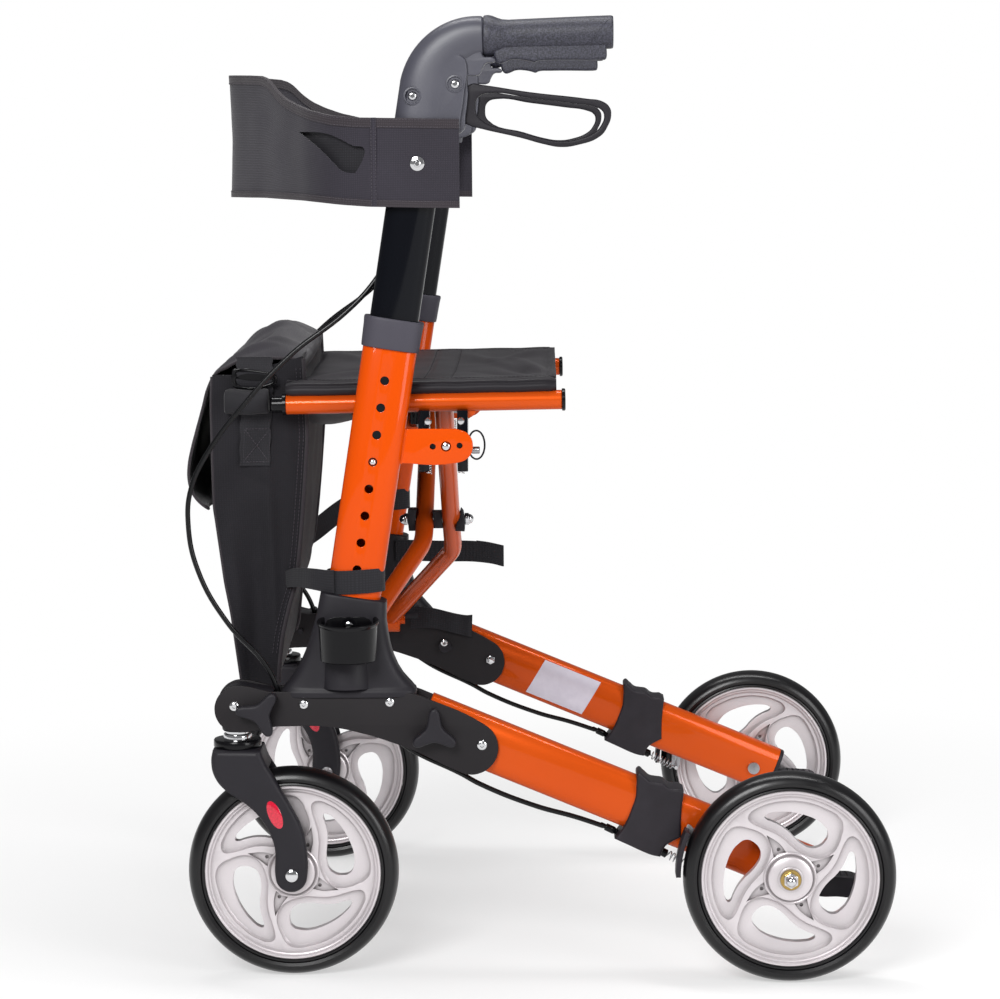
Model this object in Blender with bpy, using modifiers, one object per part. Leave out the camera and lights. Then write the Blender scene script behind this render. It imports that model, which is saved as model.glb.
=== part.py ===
"""Side-folding rollator with seat, backrest band, bag and cable brakes.

Metres. +X points to the rear (towards the user), +Y to the user's right, +Z up.
The floor is z = 0 and the origin is the middle of the object's footprint.
Left pieces lie at -Y and right pieces at +Y.
"""
import math

import bmesh
import bpy
from mathutils import Matrix, Vector

# Wheels
WHEEL_RADIUS = 0.100
TYRE_WIDTH = 0.032
TYRE_SHOULDER = 0.007
TYRE_DEPTH = 0.0163
WHEEL_SIDES = 24
HUB_SIDES = 10
AXLE_SIDES = 10
HOLE_SIDES = 8
PIN_SIDES = 10
RIM_INSET = 0.002
RIM_WIDTH = TYRE_WIDTH - 2 * RIM_INSET
RIM_WALL = 0.007
RIM_LIP = 0.001
WEB_THICKNESS = 0.016
HUB_RADIUS = 0.0235
HUB_PROUD = 0.0005
HUB_WIDTH = TYRE_WIDTH + 2 * HUB_PROUD
WINDOW_COUNT = 4
POCKET_DEPTH = 0.0030
FRONT_LEFT_TURN = math.radians(281)
REAR_LEFT_TURN = math.radians(242)
FRONT_RIGHT_TURN = math.radians(175)
REAR_RIGHT_TURN = math.radians(150)
FRONT_AXLE_X = -0.226
REAR_AXLE_X = 0.242
FRAME_Y = 0.245
AXLE_RADIUS = 0.005
AXLE_HEAD_RADIUS = 0.0075

# General clearances
FIT = 0.0003
RUNNING_GAP = 0.0006
BEARING_GAP = 0.0003

# Caster
CASTER_X = -0.2774
FORK_ARM = 0.0083
FORK_WIDTH = TYRE_WIDTH + 4 * RUNNING_GAP + 2 * FORK_ARM
FORK_WHEEL_GAP = 0.0045
FORK_CROWN_TOP = 0.2195
CAP_RADIUS = 0.0227
CAP_HEIGHT = 0.008
CAP_DRAFT = 0.001
CAP_ROOT = 0.006
STEM_SIDES = 14
WASHER_RADIUS = 0.013
WASHER_HEIGHT = 0.0068
STEM_RADIUS = 0.006
STEM_LENGTH = 0.026

# Side plates
PLATE_THICKNESS = 0.004
PLATE_TOP = 0.2745
PLATE_BOTTOM = 0.2415
PLATE_FRONT = (-0.2745, 0.2580)
PLATE_FRONT_RADIUS = 0.0225
PLATE_REAR = (-0.0560, 0.2200)
PLATE_REAR_RADIUS = 0.0255

# Tubes of the side frame
TUBE_WIDTH = 0.0506
TUBE_DEPTH = 0.030
TUBE_WALL = 0.0018
TUBE_SIDES = 16
HANDLE_PLAY = 0.0048
HANDLE_WIDTH = TUBE_WIDTH - HANDLE_PLAY
HANDLE_DEPTH = TUBE_DEPTH - HANDLE_PLAY
HANDLE_WALL = 0.0016
LEAN = math.radians(9.0)
AXIS_POINT = (-0.1290, 0.5940)
HOLE_COUNT = 8
HOLE_PITCH = 0.0256
HOLE_RADIUS = 0.0038
HOLE_IN_USE = 3
HOLE_IN_USE_Z = 0.4904
UPRIGHT_FOOT_Z = 0.2930
UPRIGHT_TOP_Z = 0.6150
HANDLE_FOOT_Z = 0.4600
HANDLE_TOP_Z = 0.8150

# Rear leg
LEG_SLOPE = math.radians(22.6)
LEG_FRONT_X = -0.1010
LEG_BEYOND_AXLE = 0.0230
LEG_AXIS_ABOVE_AXLE = 0.0035
CAP_FLANGE = 0.0040
CAP_PLUG = 0.0120
PEDAL_INSET = 0.0015

# Base tower and its ring
TOWER_WALL = 0.0042
TOWER_THICKNESS = TUBE_DEPTH + 2 * TOWER_WALL
TOWER_TOP = 0.3590
TOWER_KEEL_Z = 0.2530
RING_RADIUS = 0.0290
RING_WALL = 0.0026
RING_HEIGHT = 0.0390
RING_TOP = 0.3425
RING_X = -0.1725
RING_OUT = 0.0125
RING_FLOOR = 0.0030
RING_SIDES = 16

# Collar
COLLAR_HEIGHT = 0.0285
COLLAR_GRIP = 0.0200
COLLAR_FOOT_SPARE = 0.0035
COLLAR_TOP_SPARE = 0.0058
COLLAR_DEPTH_SPARE = 0.0060
COLLAR_FOOT_WIDTH = TUBE_WIDTH + COLLAR_FOOT_SPARE
COLLAR_TOP_WIDTH = TUBE_WIDTH + COLLAR_TOP_SPARE
COLLAR_DEPTH = TUBE_DEPTH + COLLAR_DEPTH_SPARE

# Handle, housing and lever
GRIP_Z = 0.8830
GRIP_START_X = -0.0395
GRIP_END_X = 0.0805
GRIP_RADIUS = 0.0152
GRIP_FLANGE_RADIUS = 0.0203
GRIP_SCALLOP = 0.0026
GRIP_WAIST = 0.0006
GRIP_ROUND = 0.0016
SPIGOT_RADIUS = 0.0105
SPIGOT_END_X = 0.0600
HOUSING_FOOT_Z = 0.7880
HOUSING_ROUND = 0.0025
HOUSING_WIDTH = 0.0530
HOUSING_NECK = 0.0370
HOUSING_DEPTH = 0.0380
LUG_DEPTH = 0.0300
LEVER_PIVOT = (-0.0621, 0.8395)
LEVER_THICKNESS = 0.0160
LEVER_ROUND = 0.0015
TONGUE_THICKNESS = 0.0110
TONGUE_RADIUS = 0.0088
LEVER_SLOT = TONGUE_THICKNESS + 4 * FIT
TONGUE_GAP = 0.0018

# Bracket, saddle and catch, which hang below the seat rail
RAIL_Z = 0.5450
BRACKET_HEIGHT = 0.0320
BRACKET_DROP = 0.0413
BRACKET_Z = RAIL_Z - BRACKET_DROP
BRACKET_REAR_X = -0.0522
BRACKET_THICKNESS = 0.0050
SADDLE_PLATE = 0.0040
SADDLE_HALF_LENGTH = 0.01825
LEFT_SADDLE_X = -0.0783
RIGHT_SADDLE_X = -0.0985
SADDLE_DROP = 0.0670
SADDLE_FOOT_Z = RAIL_Z - SADDLE_DROP
SADDLE_REACH = 0.0400
PIN_RADIUS = 0.0030
PIN_DROP = 0.0480
PIN_Z = RAIL_Z - PIN_DROP
PIN_INSET = 0.0230
PIN_NOSE = 0.0040
PIN_TAIL = 0.0080
RING_MAJOR = 0.0090
RING_WIRE = 0.0011

# Folding cross frame
BRACE_RADIUS = 0.0092
FRONT_BRACE_X = -0.0985
REAR_BRACE_X = -0.0755
FRONT_FOOT_X = -0.1950
REAR_FOOT_X = -0.1560
FRONT_BEND_Y = 0.0300
REAR_BEND_Y = 0.0600
PIVOT_INSET = 0.0370
PIVOT_Y = FRAME_Y - PIVOT_INSET
PIVOT_Z = 0.2700
PIVOT_RADIUS = 0.0110
PIVOT_LENGTH = 0.0600
PIVOT_PIN_RADIUS = 0.0040
LUG_THICKNESS = 0.0060
LUG_RADIUS = 0.0110
RAIL_INSET = 0.0300
RAIL_Y = FRAME_Y - RAIL_INSET
RAIL_RADIUS = 0.0090
RAIL_FRONT_X = -0.2290
RAIL_REAR_X = 0.0315
STUB_RADIUS = 0.0078
STUB_LENGTH = 0.0140
CENTRE_BOLT_RADIUS = 0.0040
CENTRE_COLLAR_RADIUS = 0.0085
CENTRE_HEAD_RADIUS = 0.0065
CENTRE_HEAD_HEIGHT = 0.0060

# Star knobs
KNOB_LOBE_MIDDLE = 0.0135
KNOB_LOBE_RADIUS = 0.0085
KNOB_WAIST_RADIUS = 0.0095
KNOB_THICKNESS = 0.0130
KNOB_BOSS_RADIUS = 0.0095
KNOB_BOSS_HEIGHT = 0.0040
KNOB_SCREW_RADIUS = 0.0040
KNOB_HOLE_RADIUS = 0.0047
KNOB_TAIL = 0.0035
FRONT_KNOB = (-0.2530, 0.2560)
REAR_KNOB = (-0.0900, 0.2370)

# Brake
COVER_WALL = 0.0030
SHOE_GAP = 0.0032
SHOE_THICKNESS = 0.0090
SHOE_WIDTH = 0.0240
SHOE_ANGLE = math.radians(154)
SHOE_SPAN = math.radians(13)
ARM_PIVOT = (0.1620, 0.1235)
ARM_THICKNESS = 0.0022
ARM_GAP = 0.0010
TYRE_SIDE_GAP = 0.0008
ARM_FACE_Y = FRAME_Y + TUBE_DEPTH / 2 + ARM_GAP + ARM_THICKNESS
REAR_WHEEL_Y = ARM_FACE_Y + TYRE_SIDE_GAP + TYRE_WIDTH / 2
ARM_FOOT = (0.1575, 0.0985)
ARM_BAR_RADIUS = 0.0020
ARM_BAR_REACH = 0.0050
ARM_PIN_RADIUS = 0.0030
ARM_PIN_LENGTH = 0.0060
SPRING_START = (0.1290, 0.1130)
SPRING_END = (0.1546, 0.0999)
SPRING_SEAT_RADIUS = 0.0046
SPRING_SEAT_LENGTH = 0.0130
SPRING_RADIUS = 0.0036
SPRING_WIRE = 0.00055
SPRING_CURLS = 7
SPRING_POINTS = 7
ADJUSTER_RADIUS = 0.0036
ADJUSTER_SEAT = (0.0835, 0.1333)
ADJUSTER_SLOPE = LEG_SLOPE + 0.06
ADJUSTER_LENGTH = 0.0160
SHOE_NOTCH_X = 0.1290
SHOE_NOTCH_FOOT = 0.1160
SHOE_NOTCH_TOP = 0.1560
CABLE_RADIUS = 0.0024
CABLE_STEP = 0.0225
STRAIGHT_RUN = math.radians(5)

# Cloth
SEAT_RISE = 0.0210
SEAT_TOP = RAIL_Z + SEAT_RISE
SEAT_THICKNESS = 0.0030
HEM_WIDTH = 0.0100
SEAT_RECESS_GAP = 0.0025
BAND_THICKNESS = 0.0030
BAND_MIDDLE_TOP = 0.8540
BAND_MIDDLE_FOOT = 0.7330
BAND_SIDE_TOP = 0.8080
BAND_SIDE_FOOT = 0.7265
BAND_REAR_X = -0.0620
BAND_TURN_X = -0.1480
BAND_FRONT_X = -0.2970
BAG_INSET = 0.0530
BAG_HALF_WIDTH = FRAME_Y - BAG_INSET
BAG_FRONT_X = -0.3420
BAG_REAR_X = -0.2050
BAG_TOP = 0.6120
BAG_FOOT = 0.2500
LOOP_THICKNESS = 0.0020
LOOP_WIDTH = 0.0115
LOOP_SIDES = 10

# Colours: base colour, roughness, metallic
FINISHES = {
    "orange enamel": ((0.80, 0.16, 0.01), 0.30, 0.2),
    "black enamel": ((0.012, 0.012, 0.014), 0.25, 0.0),
    "black nylon": ((0.018, 0.018, 0.020), 0.50, 0.0),
    "grey rubber": ((0.040, 0.040, 0.044), 0.55, 0.0),
    "tyre rubber": ((0.010, 0.010, 0.011), 0.35, 0.0),
    "silver plastic": ((0.62, 0.60, 0.60), 0.35, 0.4),
    "steel": ((0.55, 0.55, 0.56), 0.25, 1.0),
    "black cloth": ((0.015, 0.015, 0.017), 0.85, 0.0),
}

for old in list(bpy.data.objects):
    bpy.data.objects.remove(old, do_unlink=True)

parts = bpy.data.collections.new("Rollator")
cutters = bpy.data.collections.new("Cutters")
bpy.context.scene.collection.children.link(parts)
bpy.context.scene.collection.children.link(cutters)


def finish_material(finish):
    """The Principled material of one finish, made when it is first asked for."""
    known = bpy.data.materials.get(finish)
    if known:
        return known
    colour, roughness, metallic = FINISHES[finish]
    made = bpy.data.materials.new(finish)
    made.use_nodes = True
    shader = made.node_tree.nodes["Principled BSDF"]
    shader.inputs["Base Color"].default_value = (*colour, 1.0)
    shader.inputs["Roughness"].default_value = roughness
    shader.inputs["Metallic"].default_value = metallic
    return made


def merge_flat_faces(mesh):
    """Merges faces that lie in one plane, and points along one straight edge."""
    bm = bmesh.new()
    bm.from_mesh(mesh)
    bmesh.ops.dissolve_limit(bm, angle_limit=math.radians(0.3), verts=bm.verts, edges=bm.edges)
    bm.to_mesh(mesh)
    bm.free()


def keep(thing, finish):
    """Puts an object among the parts with its finish, shaded smooth but for its hard edges."""
    for group in list(thing.users_collection):
        group.objects.unlink(thing)
    parts.objects.link(thing)
    thing.data.materials.clear()
    thing.data.materials.append(finish_material(finish))
    merge_flat_faces(thing.data)
    thing.data.shade_smooth()
    thing.data.set_sharp_from_angle(angle=math.radians(35))
    return thing


def place(thing, location=(0, 0, 0), turn=None):
    """Moves a raw object to its place; turn is a rotation matrix of size three or four."""
    matrix = turn.to_4x4() if turn else Matrix.Identity(4)
    matrix.translation = Vector(location)
    thing.matrix_world = matrix
    return thing


def mesh_object(name, bm):
    """A loose object from a bmesh, with its faces turned outwards."""
    bmesh.ops.recalc_face_normals(bm, faces=bm.faces)
    mesh = bpy.data.meshes.new(name)
    bm.to_mesh(mesh)
    bm.free()
    made = bpy.data.objects.new(name, mesh)
    cutters.objects.link(made)
    return made


def solid(thing):
    """The object as a plain mesh in world space, with caps welded; the first object is removed."""
    bpy.context.view_layer.update()
    graph = bpy.context.evaluated_depsgraph_get()
    mesh = bpy.data.meshes.new_from_object(thing.evaluated_get(graph))
    mesh.transform(thing.matrix_world)
    bm = bmesh.new()
    bm.from_mesh(mesh)
    bmesh.ops.remove_doubles(bm, verts=bm.verts, dist=0.00001)
    name = thing.name
    bpy.data.objects.remove(thing, do_unlink=True)
    bpy.data.meshes.remove(mesh)
    return mesh_object(name, bm)


def combine(base, tool, operation):
    """Applies one exact Boolean to a mesh object and removes the tool."""
    tool.hide_render = True
    tool.display_type = "WIRE"
    step = base.modifiers.new("Boolean", "BOOLEAN")
    step.operation = operation
    step.solver = "EXACT"
    step.object = tool
    bpy.context.view_layer.update()
    graph = bpy.context.evaluated_depsgraph_get()
    mesh = bpy.data.meshes.new_from_object(base.evaluated_get(graph))
    base.modifiers.remove(step)
    old = base.data
    base.data = mesh
    bpy.data.meshes.remove(old)
    bpy.data.objects.remove(tool, do_unlink=True)
    return base


def cut(base, *tools):
    """Takes each tool away from the base."""
    for tool in tools:
        combine(base, tool, "DIFFERENCE")
    return base


def join(base, *tools):
    """Joins each tool to the base as one body."""
    for tool in tools:
        combine(base, tool, "UNION")
    return base


def soften(thing, width, segments=1, angle=40):
    """Rounds the hard edges of a mesh object."""
    step = thing.modifiers.new("Bevel", "BEVEL")
    step.width = width
    step.segments = segments
    step.limit_method = "ANGLE"
    step.angle_limit = math.radians(angle)
    step.harden_normals = False
    return solid(thing)


def set_origin(thing, point):
    """Moves an object's origin to a point without moving its shape."""
    shift = Vector(point)
    thing.data.transform(Matrix.Translation(-shift))
    thing.location = shift
    return thing


def arc(middle, radius, start, end, count):
    """Points along an arc, angles in degrees, both ends included."""
    points = []
    for i in range(count):
        angle = math.radians(start + (end - start) * i / (count - 1))
        points.append((middle[0] + radius * math.cos(angle), middle[1] + radius * math.sin(angle)))
    return points


def oval(width, depth, sides=TUBE_SIDES):
    """The outline of a rounded tube section: a superellipse between an ellipse and a flat-sided oval."""
    points = []
    for i in range(sides):
        angle = math.tau * (i + 0.5) / sides
        x = math.copysign(abs(math.cos(angle)) ** 0.85, math.cos(angle))
        y = math.copysign(abs(math.sin(angle)) ** 0.85, math.sin(angle))
        points.append((x * width / 2, y * depth / 2))
    return points


def flat_shape(name, outlines, thickness):
    """A flat outline with any holes, as a 2D curve extruded to both sides of its plane, made a mesh."""
    curve = bpy.data.curves.new(name, "CURVE")
    curve.dimensions = "2D"
    curve.fill_mode = "BOTH"
    curve.extrude = thickness / 2
    for outline in outlines:
        spline = curve.splines.new("POLY")
        spline.points.add(len(outline) - 1)
        for point, (x, y) in zip(spline.points, outline):
            point.co = (x, y, 0, 1)
        spline.use_cyclic_u = True
    made = bpy.data.objects.new(name, curve)
    cutters.objects.link(made)
    return made


UPRIGHT_PLANE = Matrix.Rotation(math.radians(90), 3, "X")
ACROSS = Matrix.Rotation(math.radians(90), 3, "Y")


def side_prism(name, outlines, thickness, y):
    """An outline in X and Z, extruded evenly to both sides of the plane at y."""
    return solid(place(flat_shape(name, outlines, thickness), (0, y, 0), UPRIGHT_PLANE))


def end_prism(name, outlines, thickness, x):
    """An outline in Y and Z, extruded evenly to both sides of the plane at x."""
    turn = Matrix(((0, 0, 1), (1, 0, 0), (0, 1, 0)))
    return solid(place(flat_shape(name, outlines, thickness), (x, 0, 0), turn))


def turned(name, profile, steps, location, turn=None, closed=False):
    """A profile of (radius, height) turned about its own Z axis by a Screw modifier."""
    bm = bmesh.new()
    verts = [bm.verts.new((radius, 0, height)) for radius, height in profile]
    for first, second in zip(verts, verts[1:]):
        bm.edges.new((first, second))
    if closed:
        bm.edges.new((verts[-1], verts[0]))
    mesh = bpy.data.meshes.new(name)
    bm.to_mesh(mesh)
    bm.free()
    made = bpy.data.objects.new(name, mesh)
    cutters.objects.link(made)
    step = made.modifiers.new("Screw", "SCREW")
    step.steps = steps
    step.render_steps = steps
    step.use_merge_vertices = True
    step.merge_threshold = 0.0001
    return solid(place(made, location, turn))


def cylinder(name, radius, start, end, sides=16):
    """A closed cylinder from one point to another, made from a cone primitive."""
    first, second = Vector(start), Vector(end)
    along = second - first
    bm = bmesh.new()
    bmesh.ops.create_cone(bm, cap_ends=True, segments=sides, radius1=radius, radius2=radius,
                          depth=along.length)
    turn = along.to_track_quat("Z", "Y").to_matrix().to_4x4()
    bmesh.ops.transform(bm, matrix=Matrix.Translation((first + second) / 2) @ turn, verts=bm.verts)
    return mesh_object(name, bm)


def block(name, low, high):
    """A box between two corners."""
    corner, other = Vector(low), Vector(high)
    bm = bmesh.new()
    bmesh.ops.create_cube(bm, size=1)
    size = other - corner
    bmesh.ops.scale(bm, vec=size, verts=bm.verts)
    bmesh.ops.translate(bm, vec=(corner + other) / 2, verts=bm.verts)
    return mesh_object(name, bm)


def rod(name, points, radius, resolution=2, closed=False):
    """A round bar along straight runs between points, as a bevelled curve with filled caps or as a ring."""
    curve = bpy.data.curves.new(name, "CURVE")
    curve.dimensions = "3D"
    curve.bevel_depth = radius
    curve.bevel_resolution = resolution
    curve.use_fill_caps = not closed
    spline = curve.splines.new("POLY")
    spline.use_cyclic_u = closed
    spline.points.add(len(points) - 1)
    for point, place_at in zip(spline.points, points):
        point.co = (*place_at, 1)
    made = bpy.data.objects.new(name, curve)
    cutters.objects.link(made)
    return made


def loft(name, rings):
    """A closed body through rings of points with equal counts, capped at both ends."""
    bm = bmesh.new()
    rows = [[bm.verts.new(point) for point in ring] for ring in rings]
    for first, second in zip(rows, rows[1:]):
        for i in range(len(first)):
            j = (i + 1) % len(first)
            bm.faces.new((first[i], first[j], second[j], second[i]))
    bm.faces.new(list(reversed(rows[0])))
    bm.faces.new(rows[-1])
    return mesh_object(name, bm)


def smooth_path(knots, step):
    """Points at even steps along a Catmull-Rom curve through the knots, fewer where it runs straight."""
    knots = [Vector(knot) for knot in knots]
    ends = [knots[0] * 2 - knots[1], *knots, knots[-1] * 2 - knots[-2]]
    fine = []
    for a, b, c, d in zip(ends, ends[1:], ends[2:], ends[3:]):
        for i in range(24):
            t = i / 24
            fine.append(0.5 * (2 * b + (c - a) * t + (2 * a - 5 * b + 4 * c - d) * t * t
                               + (3 * b - a - 3 * c + d) * t ** 3))
    fine.append(knots[-1])
    total = sum((q - p).length for p, q in zip(fine, fine[1:]))
    count = max(2, round(total / step))
    points, walked, target = [fine[0]], 0.0, total / count
    for p, q in zip(fine, fine[1:]):
        run = (q - p).length
        while walked + run >= target - 1e-9 and len(points) < count:
            points.append(p.lerp(q, (target - walked) / run))
            target += total / count
        walked += run
    points.append(fine[-1])
    kept = [points[0]]
    for before, point, after in zip(points, points[1:], points[2:]):
        bend = (point - before).angle(after - point) + (point - kept[-1]).angle(after - point)
        if bend > STRAIGHT_RUN or (after - kept[-1]).length > 3.5 * step:
            kept.append(point)
    kept.append(points[-1])
    return kept, total


def axis_x(z):
    """Where the upright's centre line lies at a height."""
    return AXIS_POINT[0] + (z - AXIS_POINT[1]) * math.tan(LEAN)


LEAN_TURN = Matrix.Rotation(LEAN, 3, "Y")
LEG_TURN = Matrix.Rotation(math.radians(90) + LEG_SLOPE, 3, "Y")


def on_axis(z, y):
    """The point of the upright's centre line at a height."""
    return Vector((axis_x(z), y, z))


def leaning_prism(name, outlines, low_z, high_z, y):
    """An outline across the upright's centre line, extruded between two heights of that line."""
    length = (high_z - low_z) / math.cos(LEAN)
    return solid(place(flat_shape(name, outlines, length), on_axis((low_z + high_z) / 2, y), LEAN_TURN))


def leg_z(x):
    """Height of the rear leg's centre line."""
    return WHEEL_RADIUS + LEG_AXIS_ABOVE_AXLE - (x - REAR_AXLE_X) * math.tan(LEG_SLOPE)


def leg_prism(name, outlines, front_x, rear_x, y):
    """An outline across the rear leg's centre line, extruded between two places along it."""
    length = (rear_x - front_x) / math.cos(LEG_SLOPE)
    middle = (front_x + rear_x) / 2
    return solid(place(flat_shape(name, outlines, length), (middle, y, leg_z(middle)), LEG_TURN))


def tag(side, name):
    """The node name of a piece on one side, -1 for the left and 1 for the right."""
    return ("left_" if side < 0 else "right_") + name


# Wheels
# One swirled window, and the sunk pocket that it lies in: distance from the axle, and degrees from the
# middle of the window's round end
WINDOW = [
    (0.0590, -4.0),
    (0.0540, -13.5),
    (0.0455, -16.8),
    (0.0368, -14.0),
    (0.0325, -2.0),
    (0.0335, 12.0),
    (0.0425, 29.5),
    (0.0535, 43.5),
    (0.0600, 50.2),
    (0.0636, 48.0),
    (0.0618, 24.0),
]
POCKET = [
    (0.0745, -10.0),
    (0.0650, -21.0),
    (0.0490, -30.0),
    (0.0350, -30.0),
    (0.0268, -14.0),
    (0.0262, 11.0),
    (0.0380, 39.0),
    (0.0540, 56.8),
    (0.0655, 62.6),
    (0.0745, 57.0),
    (0.0745, 24.0),
]


def swirl(outline, turn):
    """An outline about the axle in the wheel's plane, turned into place."""
    return [polar(radius, turn + math.radians(angle)) for radius, angle in outline]


def polar(radius, angle):
    """A point in a plane from its distance and angle."""
    return (radius * math.cos(angle), radius * math.sin(angle))


def wheel_turn(side):
    """Turns a wheel's own Z axis to point outwards on its side, with a flat facet of the tread down."""
    outwards = Matrix.Rotation(math.radians(90), 3, "X")
    if side > 0:
        outwards = Matrix.Rotation(math.pi, 3, "Z") @ outwards
    return outwards @ Matrix.Rotation(math.pi / WHEEL_SIDES, 3, "Z")


def make_tyre(name, side, x, y):
    """A solid tyre whose faceted tread stands exactly on the floor."""
    half = TYRE_WIDTH / 2
    grow = 1 / math.cos(math.pi / WHEEL_SIDES)
    outer = WHEEL_RADIUS * grow
    inner = WHEEL_RADIUS - TYRE_DEPTH + FIT
    profile = [
        (inner, half - 0.002),
        (outer - TYRE_SHOULDER, half),
        (outer, half - TYRE_SHOULDER),
        (outer, TYRE_SHOULDER - half),
        (outer - TYRE_SHOULDER, -half),
        (inner, 0.002 - half),
    ]
    tyre = turned(name, profile, WHEEL_SIDES, (x, y, WHEEL_RADIUS), wheel_turn(side), closed=True)
    return set_origin(keep(tyre, "tyre rubber"), (x, y, WHEEL_RADIUS))


def make_rim(name, side, x, y, first_turn):
    """The moulded wheel: hub, web with four swirled windows in pockets on both faces, and rim barrel."""
    outer = WHEEL_RADIUS - TYRE_DEPTH
    inner = outer - RIM_WALL
    bore = (AXLE_RADIUS + BEARING_GAP) / math.cos(math.pi / HUB_SIDES)
    hub, web, barrel = HUB_WIDTH / 2, WEB_THICKNESS / 2, RIM_WIDTH / 2
    lip = inner + RIM_LIP
    section = [(lip, barrel), (outer, barrel), (outer, -barrel), (lip, -barrel), (inner, 0)]
    rim = turned(name, section, WHEEL_SIDES, (0, 0, 0), closed=True)
    facet_turn = math.pi / WHEEL_SIDES
    turns = [first_turn - facet_turn + math.tau * number / WINDOW_COUNT for number in range(WINDOW_COUNT)]
    edge = arc((0, 0), outer - RIM_WALL / 2, 0, 360, WHEEL_SIDES + 1)[:-1]
    windows = [swirl(WINDOW, turn) for turn in turns]
    disc = solid(flat_shape("web", [edge, *windows], WEB_THICKNESS))
    for turn in turns:
        for face in (-web, web):
            pocket = flat_shape("pocket", [swirl(POCKET, turn)], POCKET_DEPTH * 2)
            cut(disc, solid(place(pocket, (0, 0, face))))
    section = [(0, hub), (HUB_RADIUS, hub), (HUB_RADIUS, -hub), (0, -hub)]
    join(disc, turned("hub", section, HUB_SIDES, (0, 0, 0)))
    join(rim, disc)
    reach = Vector((0, 0, HUB_WIDTH))
    cut(rim, cylinder("bore", bore, -reach, reach, HUB_SIDES))
    rim = solid(place(rim, (x, y, WHEEL_RADIUS), wheel_turn(side)))
    return set_origin(keep(rim, "silver plastic"), (x, y, WHEEL_RADIUS))


def make_front_axle(side):
    """The bolt of the front wheel: head and nut outside the fork legs."""
    y = side * FRAME_Y
    reach = FORK_WIDTH / 2 + FIT
    head = 0.0035
    profile = [
        (0, reach + head),
        (AXLE_HEAD_RADIUS * 0.8, reach + head),
        (AXLE_HEAD_RADIUS, reach),
        (AXLE_RADIUS, reach),
        (AXLE_RADIUS, -reach),
        (AXLE_HEAD_RADIUS, -reach),
        (AXLE_HEAD_RADIUS * 0.8, -reach - head),
        (0, -reach - head),
    ]
    middle = (FRONT_AXLE_X, y, WHEEL_RADIUS)
    axle = turned(tag(side, "front_axle"), profile, AXLE_SIDES, middle, UPRIGHT_PLANE)
    return keep(axle, "steel")


def make_rear_axle(side):
    """The rear axle bolt: a head on the leg's inner side, a spacer to the hub and a dome nut outside."""
    inner = FRAME_Y - TUBE_DEPTH / 2 - FIT
    outer_leg = FRAME_Y + TUBE_DEPTH / 2 + FIT
    hub_inner = REAR_WHEEL_Y - HUB_WIDTH / 2 - FIT
    hub_outer = REAR_WHEEL_Y + HUB_WIDTH / 2 + FIT
    profile = [
        (0, hub_outer + 0.0105),
        (0.0050, hub_outer + 0.0085),
        (0.0068, hub_outer + 0.0018),
        (0.0100, hub_outer + 0.0018),
        (0.0100, hub_outer),
        (AXLE_RADIUS, hub_outer),
        (AXLE_RADIUS, hub_inner),
        (0.0085, hub_inner),
        (0.0085, outer_leg),
        (AXLE_RADIUS, outer_leg),
        (AXLE_RADIUS, inner),
        (AXLE_HEAD_RADIUS, inner),
        (AXLE_HEAD_RADIUS, inner - 0.003),
        (0, inner - 0.004),
    ]
    turn = Matrix.Rotation(math.radians(-90 * side), 3, "X")
    axle = turned(tag(side, "rear_axle"), profile, AXLE_SIDES, (REAR_AXLE_X, 0, WHEEL_RADIUS), turn)
    return keep(axle, "steel")


# Caster
def make_fork(side):
    """The caster fork: a swept, shouldered plate opened for the wheel, with its stem turned on top."""
    y = side * FRAME_Y
    foot = (FRONT_AXLE_X - 0.001, WHEEL_RADIUS - 0.002)
    outline = [
        (-0.2515, FORK_CROWN_TOP),
        (-0.2425, 0.1950),
        (-0.2360, 0.1828),
        (-0.2262, 0.1657),
        (-0.2164, 0.1451),
        (-0.2108, 0.1228),
    ]
    outline += arc(foot, 0.0152, 5, -185, 6)
    outline += [
        (-0.2425, 0.1264),
        (-0.2517, 0.1487),
        (-0.2665, 0.1659),
        (-0.2865, 0.1797),
        (-0.2980, 0.1940),
        (-0.3005, 0.2090),
        (-0.2975, FORK_CROWN_TOP),
    ]
    fork = soften(side_prism(tag(side, "caster_fork"), [outline], FORK_WIDTH, y), 0.0035)
    wheel_y = FORK_WIDTH / 2 - FORK_ARM
    gap = WHEEL_RADIUS + FORK_WHEEL_GAP
    middle = Vector((FRONT_AXLE_X, y, WHEEL_RADIUS))
    across = Vector((0, wheel_y, 0))
    cut(fork, cylinder("wheel space", gap, middle - across, middle + across, WHEEL_SIDES))
    reach = Vector((0, FORK_WIDTH, 0))
    hole = (AXLE_RADIUS + FIT) / math.cos(math.pi / AXLE_SIDES)
    cut(fork, cylinder("axle hole", hole, middle - reach, middle + reach, AXLE_SIDES))
    cap_top = FORK_CROWN_TOP + CAP_HEIGHT
    washer_top = cap_top + WASHER_HEIGHT
    root = FORK_CROWN_TOP - CAP_ROOT
    stem = [
        (0, washer_top + STEM_LENGTH),
        (STEM_RADIUS, washer_top + STEM_LENGTH),
        (STEM_RADIUS, washer_top),
        (WASHER_RADIUS, washer_top),
        (WASHER_RADIUS, cap_top),
        (CAP_RADIUS - CAP_DRAFT, cap_top),
        (CAP_RADIUS, FORK_CROWN_TOP),
        (CAP_RADIUS - CAP_DRAFT * 3, root),
        (0, root),
    ]
    join(fork, turned("stem", stem, STEM_SIDES, (CASTER_X, y, 0)))
    return set_origin(keep(fork, "black nylon"), (CASTER_X, y, FORK_CROWN_TOP))


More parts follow.
